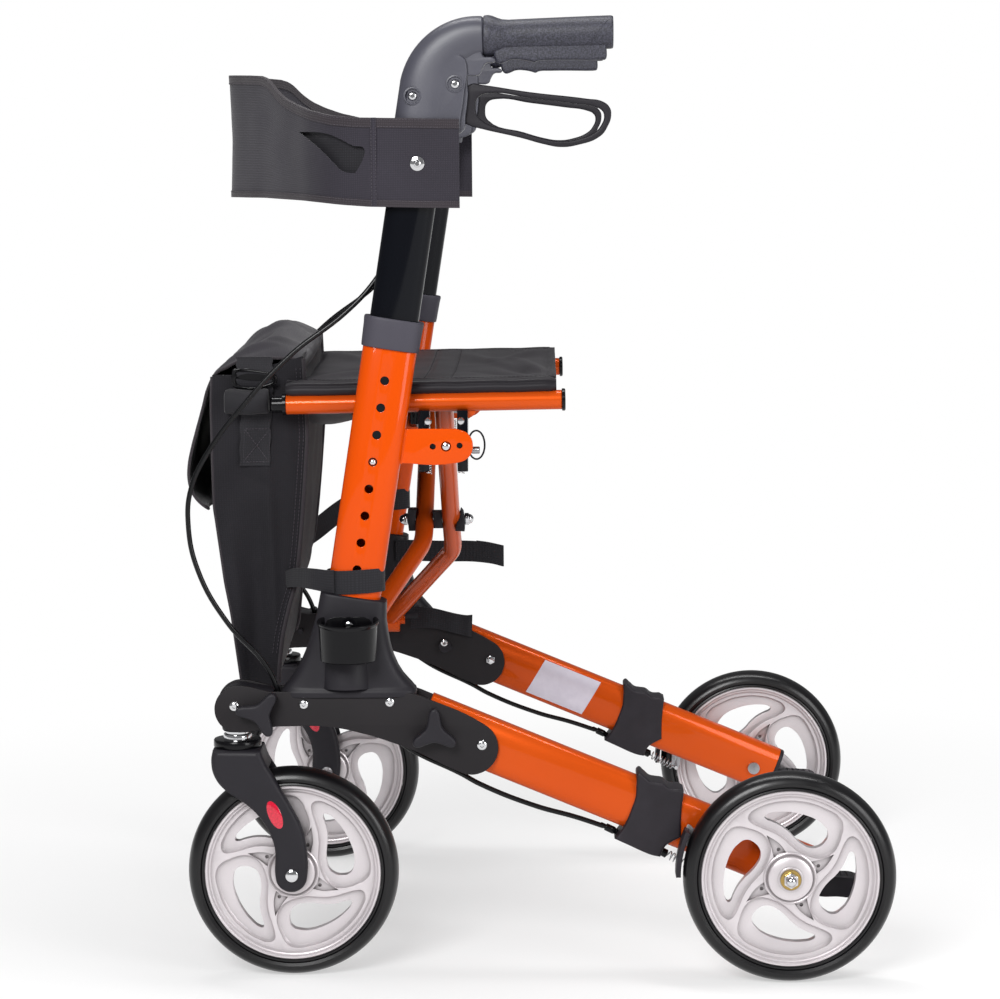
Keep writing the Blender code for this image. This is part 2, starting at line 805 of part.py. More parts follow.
def make_head_block(side):
    """The caster head between the side plates, with a neck down to the washer and a bore for the stem."""
    y = side * FRAME_Y
    neck_foot = FORK_CROWN_TOP + CAP_HEIGHT + WASHER_HEIGHT + FIT
    radius = PLATE_FRONT_RADIUS - 0.001
    outline = arc(PLATE_FRONT, radius, 90, 270, 8)
    outline += [(-0.2460, PLATE_FRONT[1] - radius), (-0.2460, PLATE_FRONT[1] + 0.0150)]
    thickness = TUBE_DEPTH
    head = side_prism(tag(side, "head_block"), [outline], thickness, y)
    neck_radius = thickness / 2 - FIT
    neck = cylinder("neck", neck_radius, (CASTER_X, y, neck_foot), (CASTER_X, y, PLATE_FRONT[1]), STEM_SIDES)
    join(head, neck)
    bore_top = neck_foot + STEM_LENGTH + RUNNING_GAP
    bore = (STEM_RADIUS + BEARING_GAP) / math.cos(math.pi / STEM_SIDES)
    start, end = (CASTER_X, y, neck_foot - STEM_LENGTH), (CASTER_X, y, bore_top)
    cut(head, cylinder("stem bore", bore, start, end, STEM_SIDES))
    cut(head, knob_hole(FRONT_KNOB, y))
    return keep(head, "black nylon")


def knob_hole(point, y):
    """A cutter for a star knob's screw."""
    reach = TUBE_DEPTH
    start, end = (point[0], y - reach, point[1]), (point[0], y + reach, point[1])
    return cylinder("knob hole", KNOB_HOLE_RADIUS, start, end, PIN_SIDES)


def make_knob(side, name, point):
    """A three-lobed star knob with a boss and a screw that runs through both plates."""
    outer = FRAME_Y + TUBE_DEPTH / 2 + FIT + PLATE_THICKNESS + FIT
    inner = FRAME_Y - TUBE_DEPTH / 2 - FIT - PLATE_THICKNESS - KNOB_TAIL
    outline = []
    for lobe in range(3):
        base = 95 + 120 * lobe
        middle = polar(KNOB_LOBE_MIDDLE, math.radians(base))
        outline += arc(middle, KNOB_LOBE_RADIUS, base - 75, base + 75, 4)
        outline += [polar(KNOB_WAIST_RADIUS, math.radians(base + 60))]
    start = outer + KNOB_BOSS_HEIGHT
    rings = []
    for depth, scale in ((0, 0.96), (0.80, 1), (1, 0.88)):
        y = side * (start + KNOB_THICKNESS * depth)
        rings.append([(point[0] + x * scale, y, point[1] + z * scale) for x, z in outline])
    star = loft(tag(side, name), rings)
    tail = (point[0], side * inner, point[1])
    foot = (point[0], side * outer, point[1])
    inside = (point[0], side * (start + KNOB_THICKNESS / 4), point[1])
    boss = cylinder("boss", KNOB_BOSS_RADIUS, foot, inside, PIN_SIDES)
    screw = cylinder("screw", KNOB_SCREW_RADIUS, tail, inside, HOLE_SIDES)
    join(star, boss, screw)
    return set_origin(keep(star, "black nylon"), foot)


# Side frame
def plate_outline():
    """The boomerang outline of a side plate: a round head, a straight top and a sloping round tail."""
    down = math.degrees(LEG_SLOPE)
    outline = arc(PLATE_FRONT, PLATE_FRONT_RADIUS, 250, 100, 7)
    outline += [(-0.2450, PLATE_TOP), (-0.1120, PLATE_TOP - 0.0020), (-0.0960, 0.2668)]
    outline += arc(PLATE_REAR, PLATE_REAR_RADIUS, 62, -90 - down - 10, 7)
    outline += [(-0.1102, 0.2180), (-0.1320, 0.2262), (-0.1548, 0.2335), (-0.1892, 0.2412)]
    outline += [(-0.2380, PLATE_BOTTOM)]
    return outline


def make_plate(side, name, y_inner, lug_x=None):
    """A side plate; an inner plate also carries the two bent lugs of a brace foot."""
    y = side * (y_inner + PLATE_THICKNESS / 2)
    plate = side_prism(tag(side, name), [plate_outline()], PLATE_THICKNESS, y)
    cut(plate, knob_hole(FRONT_KNOB, y), knob_hole(REAR_KNOB, y))
    if lug_x is None:
        return keep(plate, "black enamel")
    outer = y_inner + PLATE_THICKNESS * 0.75
    for offset in (-1, 1):
        x = lug_x + offset * (PIVOT_LENGTH / 2 + RUNNING_GAP + LUG_THICKNESS / 2)
        outline = arc((PIVOT_Y, PIVOT_Z), LUG_RADIUS, 90, 270, 4)
        outline += [(outer, PIVOT_Z - LUG_RADIUS), (outer, PLATE_TOP - 0.0010)]
        outline = [(side * y_at, z) for y_at, z in outline]
        join(plate, end_prism("lug", [outline], LUG_THICKNESS, x))
        reach = LUG_THICKNESS
        hole = (PIVOT_PIN_RADIUS + BEARING_GAP) / math.cos(math.pi / AXLE_SIDES)
        start, end = (x - reach, side * PIVOT_Y, PIVOT_Z), (x + reach, side * PIVOT_Y, PIVOT_Z)
        cut(plate, cylinder("lug hole", hole, start, end, AXLE_SIDES))
    return keep(plate, "black enamel")


def make_tower(side):
    """The upright's foot: a flared block on the plates, a keel between them, a socket and a cup ring."""
    y = side * FRAME_Y
    foot = PLATE_TOP + FIT
    outline = [
        (-0.1945, TOWER_TOP),
        (-0.2012, 0.3380),
        (-0.2082, 0.3180),
        (-0.2165, 0.2985),
        (-0.2255, 0.2840),
        (-0.2320, 0.2790),
        (-0.2335, foot),
        (-0.1095, foot),
        (-0.1105, 0.2800),
        (-0.1200, 0.2905),
        (-0.1290, 0.3090),
        (-0.1335, 0.3300),
        (-0.1365, TOWER_TOP),
    ]
    tower = soften(side_prism(tag(side, "base_tower"), [outline], TOWER_THICKNESS, y), 0.0030, 1, 60)
    keel = [
        (-0.2270, foot + 0.004),
        (-0.2270, TOWER_KEEL_Z + 0.008),
        (-0.2190, TOWER_KEEL_Z),
        (-0.1480, TOWER_KEEL_Z),
        (-0.1280, 0.2600),
        (-0.1280, foot + 0.004),
    ]
    join(tower, side_prism("keel", [keel], TUBE_DEPTH, y))
    ring_y = side * (FRAME_Y + TOWER_THICKNESS / 2 + RING_OUT)
    ring_foot = RING_TOP - RING_HEIGHT
    foot_point, top_point = (RING_X, ring_y, ring_foot), (RING_X, ring_y, RING_TOP)
    join(tower, cylinder("ring", RING_RADIUS, foot_point, top_point, RING_SIDES))
    floor_point, above = (RING_X, ring_y, ring_foot + RING_FLOOR), (RING_X, ring_y, RING_TOP + RING_FLOOR)
    inside = cylinder("cup", RING_RADIUS - RING_WALL, floor_point, above, RING_SIDES)
    face = FRAME_Y + TOWER_THICKNESS / 2
    face_y = sorted((side * face, side * (face - RING_RADIUS)))
    low = (RING_X - RING_RADIUS, face_y[0], ring_foot)
    high = (RING_X + RING_RADIUS, face_y[1], RING_TOP + RING_HEIGHT)
    cut(inside, block("tower face", low, high))
    cut(tower, inside)
    socket = [oval(TUBE_WIDTH + 2 * FIT, TUBE_DEPTH + 2 * FIT)]
    cut(tower, leaning_prism("socket", socket, UPRIGHT_FOOT_Z - 0.001, TOWER_TOP + 0.02, y))
    return keep(tower, "black nylon")


def saddle_ends(side):
    """Front and rear X of the saddle, which stands round the brace that comes up on its side."""
    middle = LEFT_SADDLE_X if side < 0 else RIGHT_SADDLE_X
    return middle - SADDLE_HALF_LENGTH, middle + SADDLE_HALF_LENGTH


def make_upright(side):
    """The oval upright with its height holes, the welded bracket and the saddle that the rail rests in."""
    y = side * FRAME_Y
    section = [oval(TUBE_WIDTH, TUBE_DEPTH), oval(TUBE_WIDTH - 2 * TUBE_WALL, TUBE_DEPTH - 2 * TUBE_WALL)]
    upright = leaning_prism(tag(side, "upright"), section, UPRIGHT_FOOT_Z, UPRIGHT_TOP_Z, y)
    rise = HOLE_PITCH * math.cos(LEAN)
    outer = side * (FRAME_Y + TUBE_DEPTH / 2 + 0.004)
    inner = side * (FRAME_Y + TUBE_DEPTH / 2 - 0.005)
    for number in range(HOLE_COUNT):
        z = HOLE_IN_USE_Z + (HOLE_IN_USE - number) * rise
        start, end = (axis_x(z), outer, z), (axis_x(z), inner, z)
        cut(upright, cylinder("height hole", HOLE_RADIUS, start, end, HOLE_SIDES))
    half = BRACKET_HEIGHT / 2
    middle = (BRACKET_REAR_X - half, BRACKET_Z)
    sink = TUBE_WALL * 0.7
    wall = TUBE_WIDTH / 2 / math.cos(LEAN) - sink
    low, high = BRACKET_Z - half, BRACKET_Z + half
    outline = arc(middle, half, -90, 90, 6) + [(axis_x(high) + wall, high), (axis_x(low) + wall, low)]
    join(upright, side_prism("bracket", [outline], BRACKET_THICKNESS, y))
    face = FRAME_Y - BRACKET_THICKNESS / 2
    front_x, rear_x = saddle_ends(side)
    web = sorted((side * (face + 0.0008), side * (face - SADDLE_PLATE)))
    top = RAIL_Z - RAIL_RADIUS - FIT
    join(upright, block("saddle web", (front_x, web[0], BRACKET_Z - half + 0.002),
                        (rear_x, web[1], BRACKET_Z + half - 0.002)))
    for x in (front_x, rear_x - SADDLE_PLATE):
        root, nose = face - 0.001, face - SADDLE_REACH
        cheek = [
            (root, SADDLE_FOOT_Z + 0.010),
            (root - 0.010, SADDLE_FOOT_Z),
            (root - 0.022, SADDLE_FOOT_Z + 0.004),
            (nose, top - 0.014),
            (nose, top),
            (root - 0.010, top),
            (root, BRACKET_Z + half - 0.003),
        ]
        cheek = [(side * y_at, z) for y_at, z in cheek]
        plate = end_prism("cheek", [cheek], SADDLE_PLATE, x + SADDLE_PLATE / 2)
        join(upright, plate)
        pin_y = side * (face - PIN_INSET)
        hole = (PIN_RADIUS + FIT) / math.cos(math.pi / PIN_SIDES)
        start, end = (x - 0.002, pin_y, PIN_Z), (x + SADDLE_PLATE + 0.002, pin_y, PIN_Z)
        cut(upright, cylinder("pin hole", hole, start, end, PIN_SIDES))
    return keep(upright, "orange enamel")


def make_catch_pin(side):
    """The catch pin through both saddle cheeks, with its pull ring at the rear end."""
    y = side * (FRAME_Y - BRACKET_THICKNESS / 2 - PIN_INSET)
    front_x, rear_x = saddle_ends(side)
    rear = rear_x + PIN_TAIL
    start = (front_x - PIN_NOSE, y, PIN_Z)
    pin = cylinder(tag(side, "catch_pin"), PIN_RADIUS, start, (rear, y, PIN_Z), PIN_SIDES)
    middle = (rear + RING_MAJOR - 0.0020, PIN_Z)
    ring = [(x, y, z) for x, z in arc(middle, RING_MAJOR, 0, 360, 15)[:-1]]
    ring = solid(rod("pull ring", ring, RING_WIRE, 1, closed=True))
    join(pin, ring)
    return set_origin(keep(pin, "steel"), (front_x, y, PIN_Z))


def make_collar(side):
    """The collar on the upright's end: a flared sleeve with a seat for the tube and a handle throat."""
    y = side * FRAME_Y
    foot_z = UPRIGHT_TOP_Z - COLLAR_GRIP * math.cos(LEAN)
    rise = Vector((math.sin(LEAN), 0, math.cos(LEAN)))
    foot = on_axis(foot_z, y)
    rings = []
    for height, width, depth in (
        (0, COLLAR_FOOT_WIDTH, COLLAR_DEPTH - 0.0010),
        (COLLAR_HEIGHT - 0.002, COLLAR_TOP_WIDTH, COLLAR_DEPTH),
        (COLLAR_HEIGHT, COLLAR_TOP_WIDTH - 0.003, COLLAR_DEPTH - 0.003),
    ):
        ring = []
        for across, side_way in oval(width, depth):
            ring.append(foot + rise * height + LEAN_TURN @ Vector((across, side_way, 0)))
        rings.append(ring)
    collar = loft(tag(side, "collar"), rings)
    seat = [oval(TUBE_WIDTH + 2 * FIT, TUBE_DEPTH + 2 * FIT)]
    cut(collar, leaning_prism("seat", seat, foot_z - 0.02, UPRIGHT_TOP_Z + FIT, y))
    throat = [oval(HANDLE_WIDTH + 4 * FIT, HANDLE_DEPTH + 4 * FIT)]
    cut(collar, leaning_prism("throat", throat, foot_z, foot_z + COLLAR_HEIGHT + 0.02, y))
    return keep(collar, "grey rubber")


def make_handle_tube(side):
    """The inner oval tube that sets the handle's height, with the hole of the snap button."""
    y = side * FRAME_Y
    section = [
        oval(HANDLE_WIDTH, HANDLE_DEPTH),
        oval(HANDLE_WIDTH - 2 * HANDLE_WALL, HANDLE_DEPTH - 2 * HANDLE_WALL),
    ]
    tube = leaning_prism(tag(side, "handle_tube"), section, HANDLE_FOOT_Z, HANDLE_TOP_Z, y)
    outer = side * (FRAME_Y + HANDLE_DEPTH / 2 + 0.002)
    inner = side * (FRAME_Y + HANDLE_DEPTH / 2 - 0.005)
    z = HOLE_IN_USE_Z
    cut(tube, cylinder("button hole", HOLE_RADIUS, (axis_x(z), outer, z), (axis_x(z), inner, z), HOLE_SIDES))
    return set_origin(keep(tube, "black enamel"), on_axis(z, y))


def make_snap_button(side):
    """The height button: a domed pin through both tube walls, with its flange and leaf spring inside."""
    wall = FRAME_Y + HANDLE_DEPTH / 2 - HANDLE_WALL - FIT
    tip = FRAME_Y + TUBE_DEPTH / 2 + 0.0018
    radius = HOLE_RADIUS - 2 * FIT
    profile = [
        (0, tip),
        (radius * 0.55, tip - 0.0004),
        (radius, tip - 0.0018),
        (radius, wall),
        (radius + 0.0018, wall),
        (radius + 0.0018, wall - 0.0012),
        (0, wall - 0.0012),
    ]
    x, z = axis_x(HOLE_IN_USE_Z), HOLE_IN_USE_Z
    turn = Matrix.Rotation(math.radians(-90 * side), 3, "X")
    button = turned(tag(side, "snap_button"), profile, PIN_SIDES, (x, 0, z), turn)
    leaf_back = wall - 0.0010
    leaf = [
        (leaf_back, z + 0.006),
        (leaf_back, z - 0.010),
        (leaf_back - 0.008, z - 0.026),
        (leaf_back - 0.0125, z - 0.014),
        (leaf_back - 0.0117, z - 0.0135),
        (leaf_back - 0.0082, z - 0.0240),
        (leaf_back - 0.0008, z - 0.0098),
        (leaf_back - 0.0008, z + 0.006),
    ]
    leaf = [(side * y_at, z_at) for y_at, z_at in leaf]
    join(button, end_prism("leaf", [leaf], 0.006, x))
    return set_origin(keep(button, "steel"), (x, side * tip, z))


# Handle
def make_housing(side):
    """The elbow housing: a bent body that narrows to the grip, with a lever lug, a spigot and a socket."""
    y = side * FRAME_Y
    turn_angle = math.pi / 2 - LEAN
    grown = 1 - math.cos(turn_angle)
    drop = AXIS_POINT[0] + (GRIP_Z - AXIS_POINT[1]) * math.tan(LEAN)
    radius = (GRIP_START_X - drop) / (math.sin(turn_angle) - grown * math.tan(LEAN))
    start_z = GRIP_Z - radius * grown
    start = on_axis(start_z, 0)
    rings = []

    def ring(middle, heading, width, depth):
        """One section square to a heading in the X-Z plane."""
        across = Vector((math.sin(heading), 0, -math.cos(heading)))
        points = []
        for first, second in oval(width, depth, 14):
            points.append(middle + across * first + Vector((0, y + second, 0)))
        rings.append(points)

    shoulder_z = HOUSING_FOOT_Z + HOUSING_ROUND
    foot_width, foot_depth = HOUSING_WIDTH - HOUSING_ROUND, HOUSING_DEPTH - HOUSING_ROUND
    ring(on_axis(HOUSING_FOOT_Z, 0), turn_angle, foot_width, foot_depth)
    ring(on_axis(shoulder_z, 0), turn_angle, HOUSING_WIDTH, HOUSING_DEPTH)
    for step in range(5):
        share = step / 4
        heading = turn_angle * (1 - share)
        forward = math.sin(turn_angle) - math.sin(heading)
        move = Vector((forward, 0, math.cos(heading) - math.cos(turn_angle)))
        width = HOUSING_WIDTH + (HOUSING_NECK - HOUSING_WIDTH) * share
        ring(start + move * radius, heading, width, HOUSING_DEPTH - 0.002 * share)
    housing = loft(tag(side, "elbow_housing"), rings)
    lug = [
        (-0.0900, 0.7950),
        (-0.0640, 0.7950),
        (-0.0575, 0.8300),
        (-0.0555, 0.8500),
        (-0.0430, 0.8640),
        (-0.0450, 0.8720),
        (-0.0900, 0.8560),
    ]
    join(housing, soften(side_prism("lug", [lug], LUG_DEPTH, y), 0.002))
    start, end = (GRIP_START_X - SPIGOT_RADIUS, y, GRIP_Z), (SPIGOT_END_X, y, GRIP_Z)
    join(housing, cylinder("spigot", SPIGOT_RADIUS, start, end, AXLE_SIDES))
    socket = [oval(HANDLE_WIDTH + 2 * FIT, HANDLE_DEPTH + 2 * FIT)]
    cut(housing, leaning_prism("socket", socket, HOUSING_FOOT_Z - 0.02, HANDLE_TOP_Z + FIT, y))
    slot = arc(LEVER_PIVOT, TONGUE_RADIUS + TONGUE_GAP, 75, 225, 7)
    slot += [(-0.0700, 0.7900), (-0.0300, 0.7900), (-0.0300, 0.8560)]
    cut(housing, side_prism("slot", [slot], LEVER_SLOT, y))
    return keep(housing, "black nylon")


def make_lever(side):
    """The loop brake lever: a tongue in the housing's slot and a closed loop for the fingers."""
    y = side * FRAME_Y
    loop = [
        (-0.0500, 0.8395),
        (-0.0410, 0.8385),
        (0.0028, 0.8315),
        (0.0562, 0.8250),
        (0.0699, 0.8226),
        (0.0775, 0.8160),
        (0.0782, 0.8095),
        (0.0751, 0.7998),
        (0.0683, 0.7907),
        (0.0467, 0.7825),
        (0.0315, 0.7811),
        (0.0162, 0.7835),
        (-0.0052, 0.7895),
        (-0.0434, 0.7985),
        (-0.0520, 0.8020),
    ]
    hole = [
        (-0.0440, 0.8085),
        (-0.0470, 0.8180),
        (-0.0440, 0.8275),
        (-0.0340, 0.8308),
        (0.0028, 0.8262),
        (0.0400, 0.8212),
        (0.0620, 0.8178),
        (0.0700, 0.8138),
        (0.0718, 0.8085),
        (0.0692, 0.8010),
        (0.0640, 0.7950),
        (0.0467, 0.7880),
        (0.0315, 0.7864),
        (0.0162, 0.7888),
        (-0.0052, 0.7950),
    ]
    lever = soften(side_prism(tag(side, "brake_lever"), [loop, hole], LEVER_THICKNESS, y), LEVER_ROUND)
    tongue = arc(LEVER_PIVOT, TONGUE_RADIUS, 80, 230, 7)
    tongue += [(-0.0610, 0.8060), (-0.0490, 0.8060), (-0.0490, 0.8300), (-0.0440, 0.8360)]
    join(lever, side_prism("tongue", [tongue], TONGUE_THICKNESS, y))
    return set_origin(keep(lever, "black nylon"), (LEVER_PIVOT[0], y, LEVER_PIVOT[1]))


def make_grip(side):
    """The hand grip: a flange, a waist and a palm swell, with finger scallops under it and a blind bore."""
    y = side * FRAME_Y
    length = GRIP_END_X - GRIP_START_X
    rings = []
    stations = 12
    for number in range(stations + 1):
        share = number / stations
        x = GRIP_START_X + FIT + (length - FIT) * share
        flange = max(0.0, 1 - share / 0.16)
        radius = GRIP_RADIUS + (GRIP_FLANGE_RADIUS - GRIP_RADIUS) * flange ** 1.5
        radius -= GRIP_WAIST * math.cos(math.tau * share)
        if number in (0, stations):
            radius -= GRIP_ROUND
        scallop = GRIP_SCALLOP * (0.5 - 0.5 * math.cos(math.tau * 4 * share)) if 0.12 < share < 0.95 else 0.0
        ring = []
        for k in range(10):
            angle = math.tau * k / 10
            under = max(0.0, -math.sin(angle))
            reach = radius + scallop * under ** 2
            ring.append((x, y + reach * math.cos(angle), GRIP_Z + reach * math.sin(angle)))
        rings.append(ring)
    grip = loft(tag(side, "grip"), rings)
    bore = (SPIGOT_RADIUS + FIT) / math.cos(math.pi / AXLE_SIDES)
    start, end = (GRIP_START_X - bore, y, GRIP_Z), (SPIGOT_END_X + RUNNING_GAP, y, GRIP_Z)
    cut(grip, cylinder("bore", bore, start, end, AXLE_SIDES))
    return keep(grip, "grey rubber")


# Rear leg and brake
def leg_hole(x, z, radius, y):
    """A cutter across the leg."""
    return cylinder("leg hole", radius, (x, y - TUBE_DEPTH, z), (x, y + TUBE_DEPTH, z), PIN_SIDES)


def leg_end_x():
    """Where the leg's tube ends behind the axle."""
    return REAR_AXLE_X + LEG_BEYOND_AXLE * math.cos(LEG_SLOPE)


def make_leg(side):
    """The oval rear leg, open at both ends, drilled for the axle and the star knob's screw."""
    y = side * FRAME_Y
    section = [oval(TUBE_WIDTH, TUBE_DEPTH), oval(TUBE_WIDTH - 2 * TUBE_WALL, TUBE_DEPTH - 2 * TUBE_WALL)]
    leg = leg_prism(tag(side, "rear_leg"), section, LEG_FRONT_X, leg_end_x(), y)
    cut(leg, leg_hole(REAR_AXLE_X, WHEEL_RADIUS, AXLE_RADIUS + 2 * FIT, y))
    cut(leg, leg_hole(*REAR_KNOB, KNOB_HOLE_RADIUS, y))
    outer, inner = side * (FRAME_Y + TUBE_DEPTH), side * (FRAME_Y + TUBE_DEPTH / 4)
    hole = (ARM_PIN_RADIUS + FIT) / math.cos(math.pi / HOLE_SIDES)
    start, end = (ARM_PIVOT[0], outer, ARM_PIVOT[1]), (ARM_PIVOT[0], inner, ARM_PIVOT[1])
    cut(leg, cylinder("arm pin hole", hole, start, end, HOLE_SIDES))
    return keep(leg, "orange enamel")


def make_end_cap(side):
    """The plug in the leg's end, with the tipping pedal that the user treads on."""
    y = side * FRAME_Y
    end = leg_end_x()
    flange = [oval(TUBE_WIDTH - 2 * FIT, TUBE_DEPTH - 2 * FIT)]
    cap = leg_prism(tag(side, "leg_end_cap"), flange, end + FIT, end + FIT + CAP_FLANGE, y)
    inset = 2 * (TUBE_WALL + FIT)
    plug = [oval(TUBE_WIDTH - inset, TUBE_DEPTH - inset)]
    join(cap, leg_prism("plug", plug, end - CAP_PLUG, end + CAP_FLANGE / 2, y))
    pedal = [
        (end + 0.0040, 0.0985),
        (end + 0.0140, 0.0955),
        (end + 0.0420, 0.0925),
        (end + 0.0475, 0.0895),
        (end + 0.0475, 0.0770),
        (end + 0.0430, 0.0740),
        (end + 0.0080, 0.0745),
        (end + 0.0005, 0.0780),
    ]
    join(cap, side_prism("pedal", [pedal], TUBE_DEPTH - 2 * PEDAL_INSET, y))
    return keep(cap, "black nylon")


def make_cover(side):
    """The brake cover: a sleeve round the leg with a skirt for the cable stop and the barrel adjuster."""
    y = side * FRAME_Y
    outline = [
        (0.1035, 0.1935),
        (0.1120, 0.1868),
        (0.1210, 0.1835),
        (0.1330, 0.1812),
        (0.1395, 0.1775),
        (0.1395, 0.1290),
        (0.1262, 0.1255),
        (0.1205, 0.1145),
        (0.1080, 0.1185),
        (0.0780, 0.1318),
        (0.0885, 0.1458),
        (0.0975, 0.1673),
    ]
    depth = TUBE_DEPTH + 2 * COVER_WALL
    cover = soften(side_prism(tag(side, "brake_cover"), [outline], depth, y), 0.0015)
    leg_space = [oval(TUBE_WIDTH + 2 * FIT, TUBE_DEPTH + 2 * FIT)]
    cut(cover, leg_prism("leg space", leg_space, outline[9][0] - COVER_WALL, ARM_PIVOT[0], y))
    notch = sorted((side * (FRAME_Y + TUBE_DEPTH / 2 + FIT), side * (FRAME_Y + TUBE_DEPTH)))
    low = (SHOE_NOTCH_X, notch[0], SHOE_NOTCH_FOOT)
    high = (ARM_PIVOT[0], notch[1], SHOE_NOTCH_TOP)
    cut(cover, block("shoe notch", low, high))
    slope = Vector((math.cos(ADJUSTER_SLOPE), 0, -math.sin(ADJUSTER_SLOPE)))
    start, end = Vector((SPRING_START[0], y, SPRING_START[1])), Vector((SPRING_END[0], y, SPRING_END[1]))
    along = (end - start).normalized()
    seat_end = start - along * (SPRING_WIRE + FIT)
    seat_start = seat_end - along * SPRING_SEAT_LENGTH
    join(cover, cylinder("spring seat", SPRING_SEAT_RADIUS, seat_start, seat_end, PIN_SIDES))
    seat = Vector((ADJUSTER_SEAT[0], y, ADJUSTER_SEAT[1]))
    start, end = seat - slope * ADJUSTER_LENGTH, seat + slope * ADJUSTER_LENGTH / 2
    join(cover, cylinder("adjuster", ADJUSTER_RADIUS, start, end, PIN_SIDES))
    return keep(cover, "black nylon")


def make_brake_arm(side):
    """The brake arm: a flat lever beside the leg, with a shoe before the tyre and a bar under the leg."""
    outer_leg = FRAME_Y + TUBE_DEPTH / 2
    plate_y = outer_leg + ARM_GAP + ARM_THICKNESS / 2
    near = WHEEL_RADIUS / math.cos(math.pi / WHEEL_SIDES) + SHOE_GAP
    far = near + SHOE_THICKNESS
    angles = (math.degrees(SHOE_ANGLE - SHOE_SPAN), math.degrees(SHOE_ANGLE + SHOE_SPAN))
    axle = (REAR_AXLE_X, WHEEL_RADIUS)
    shoe_outline = arc(axle, near, *angles, 5) + arc(axle, far, *reversed(angles), 5)
    shoe_near = REAR_WHEEL_Y - SHOE_WIDTH / 2
    arm_outline = arc(ARM_PIVOT, 0.0070, 60, -60, 4)
    arm_outline += arc(ARM_FOOT, 0.0045, -20, -160, 4)
    arm_outline += [(ARM_PIVOT[0] - 0.0075, ARM_PIVOT[1] + 0.0010)]
    arm_outline += [axle_polar(near, angles[1] - 16), axle_polar(far - 0.001, angles[1] - 16)]
    arm_outline += [axle_polar(far - 0.001, angles[1] - 24), axle_polar(near, angles[0] + 1)]
    arm = side_prism(tag(side, "brake_arm"), [arm_outline], ARM_THICKNESS, side * plate_y)
    shoe_start = plate_y - ARM_THICKNESS / 2
    shoe_end = shoe_near + SHOE_WIDTH
    shoe_y = (shoe_start + shoe_end) / 2
    join(arm, side_prism("shoe", [shoe_outline], shoe_end - shoe_start, side * shoe_y))
    bar_end = FRAME_Y - ARM_BAR_REACH
    start, end = (ARM_FOOT[0], side * bar_end, ARM_FOOT[1]), (ARM_FOOT[0], side * plate_y, ARM_FOOT[1])
    join(arm, cylinder("cable bar", ARM_BAR_RADIUS, start, end, PIN_SIDES))
    start = (ARM_PIVOT[0], side * (outer_leg - ARM_PIN_LENGTH), ARM_PIVOT[1])
    pivot = (ARM_PIVOT[0], side * plate_y, ARM_PIVOT[1])
    join(arm, cylinder("pivot pin", ARM_PIN_RADIUS, start, pivot, HOLE_SIDES))
    return set_origin(keep(arm, "steel"), pivot)


def axle_polar(radius, angle):
    """A point at a distance and an angle in degrees from the rear axle."""
    return arc((REAR_AXLE_X, WHEEL_RADIUS), radius, angle, angle, 2)[0]


def make_spring(side):
    """The brake's return spring: one unbroken coil with a straight wire diameter at each end."""
    y = side * FRAME_Y
    start = Vector((SPRING_START[0], y, SPRING_START[1]))
    end = Vector((SPRING_END[0], y, SPRING_END[1]))
    along = (end - start).normalized()
    side_way = Vector((0, 1, 0))
    up = along.cross(side_way)
    length = (end - start).length
    straight = SPRING_WIRE * 2
    count = SPRING_CURLS * SPRING_POINTS
    points = [start + side_way * SPRING_RADIUS]
    for i in range(count + 1):
        angle = math.tau * i / SPRING_POINTS
        rise = straight + (length - 2 * straight) * i / count
        spoke = side_way * math.cos(angle) + up * math.sin(angle)
        points.append(start + along * rise + spoke * SPRING_RADIUS)
    points.append(end + side_way * SPRING_RADIUS)
    gap = least_gap(points)
    print(tag(side, "brake_spring"), "curls", SPRING_CURLS, "least gap mm", round(gap * 1000, 2))
    spring = solid(rod(tag(side, "brake_spring"), points, SPRING_WIRE, 1))
    return keep(spring, "steel")


def least_gap(points):
    """The least clear distance between turns of the spring, measured between points of unlike turns."""
    least = 1.0
    for i, first in enumerate(points):
        for second in points[i + SPRING_POINTS - 2:]:
            least = min(least, (first - second).length)
    return least - 2 * SPRING_WIRE


# Brake cable: hand-chosen route, from the housing down the handle tube, in a loop ahead of the frame,
# between the side plates and along the leg to the barrel adjuster. Each point is X, the distance that it
# lies inside the middle of the side frame, and Z.
CABLE_ROUTE = [
    (-0.1080, 0.0154, 0.7891),
    (-0.1120, 0.0154, 0.7600),
    (-0.1185, 0.0154, 0.7200),
    (-0.1270, 0.0152, 0.6850),
    (-0.1432, 0.0130, 0.6574),
    (-0.1690, 0.0080, 0.6300),
    (-0.2227, 0.0030, 0.5890),
    (-0.2680, 0.0000, 0.5415),
    (-0.2986, 0.0000, 0.5022),
    (-0.3172, 0.0000, 0.4647),
    (-0.3205, 0.0000, 0.4316),
    (-0.3120, 0.0000, 0.3870),
    (-0.2850, 0.0000, 0.3373),
    (-0.2490, 0.0000, 0.2960),
    (-0.2390, 0.0000, 0.2740),
    (-0.2345, 0.0000, 0.2570),
    (-0.2180, 0.0000, 0.2480),
    (-0.1900, 0.0000, 0.2472),
    (-0.1600, 0.0000, 0.2410),
    (-0.1322, 0.0000, 0.2274),
    (-0.1081, 0.0000, 0.2122),
    (-0.0672, 0.0000, 0.1924),
    (-0.0484, 0.0000, 0.1818),
    (0.0045, 0.0000, 0.1603),
    (0.0420, 0.0000, 0.1496),
    (0.0685, 0.0000, 0.1406),
]


def make_cable(side):
    """The brake cable in its sheath, whole from the housing to the barrel adjuster."""
    route = [(x, side * (FRAME_Y - inset), z) for x, inset, z in CABLE_ROUTE]
    points, length = smooth_path(route, CABLE_STEP)
    print(tag(side, "brake_cable"), "length mm", round(length * 1000))
    cable = solid(rod(tag(side, "brake_cable"), points, CABLE_RADIUS, 2))
    return keep(cable, "black nylon")


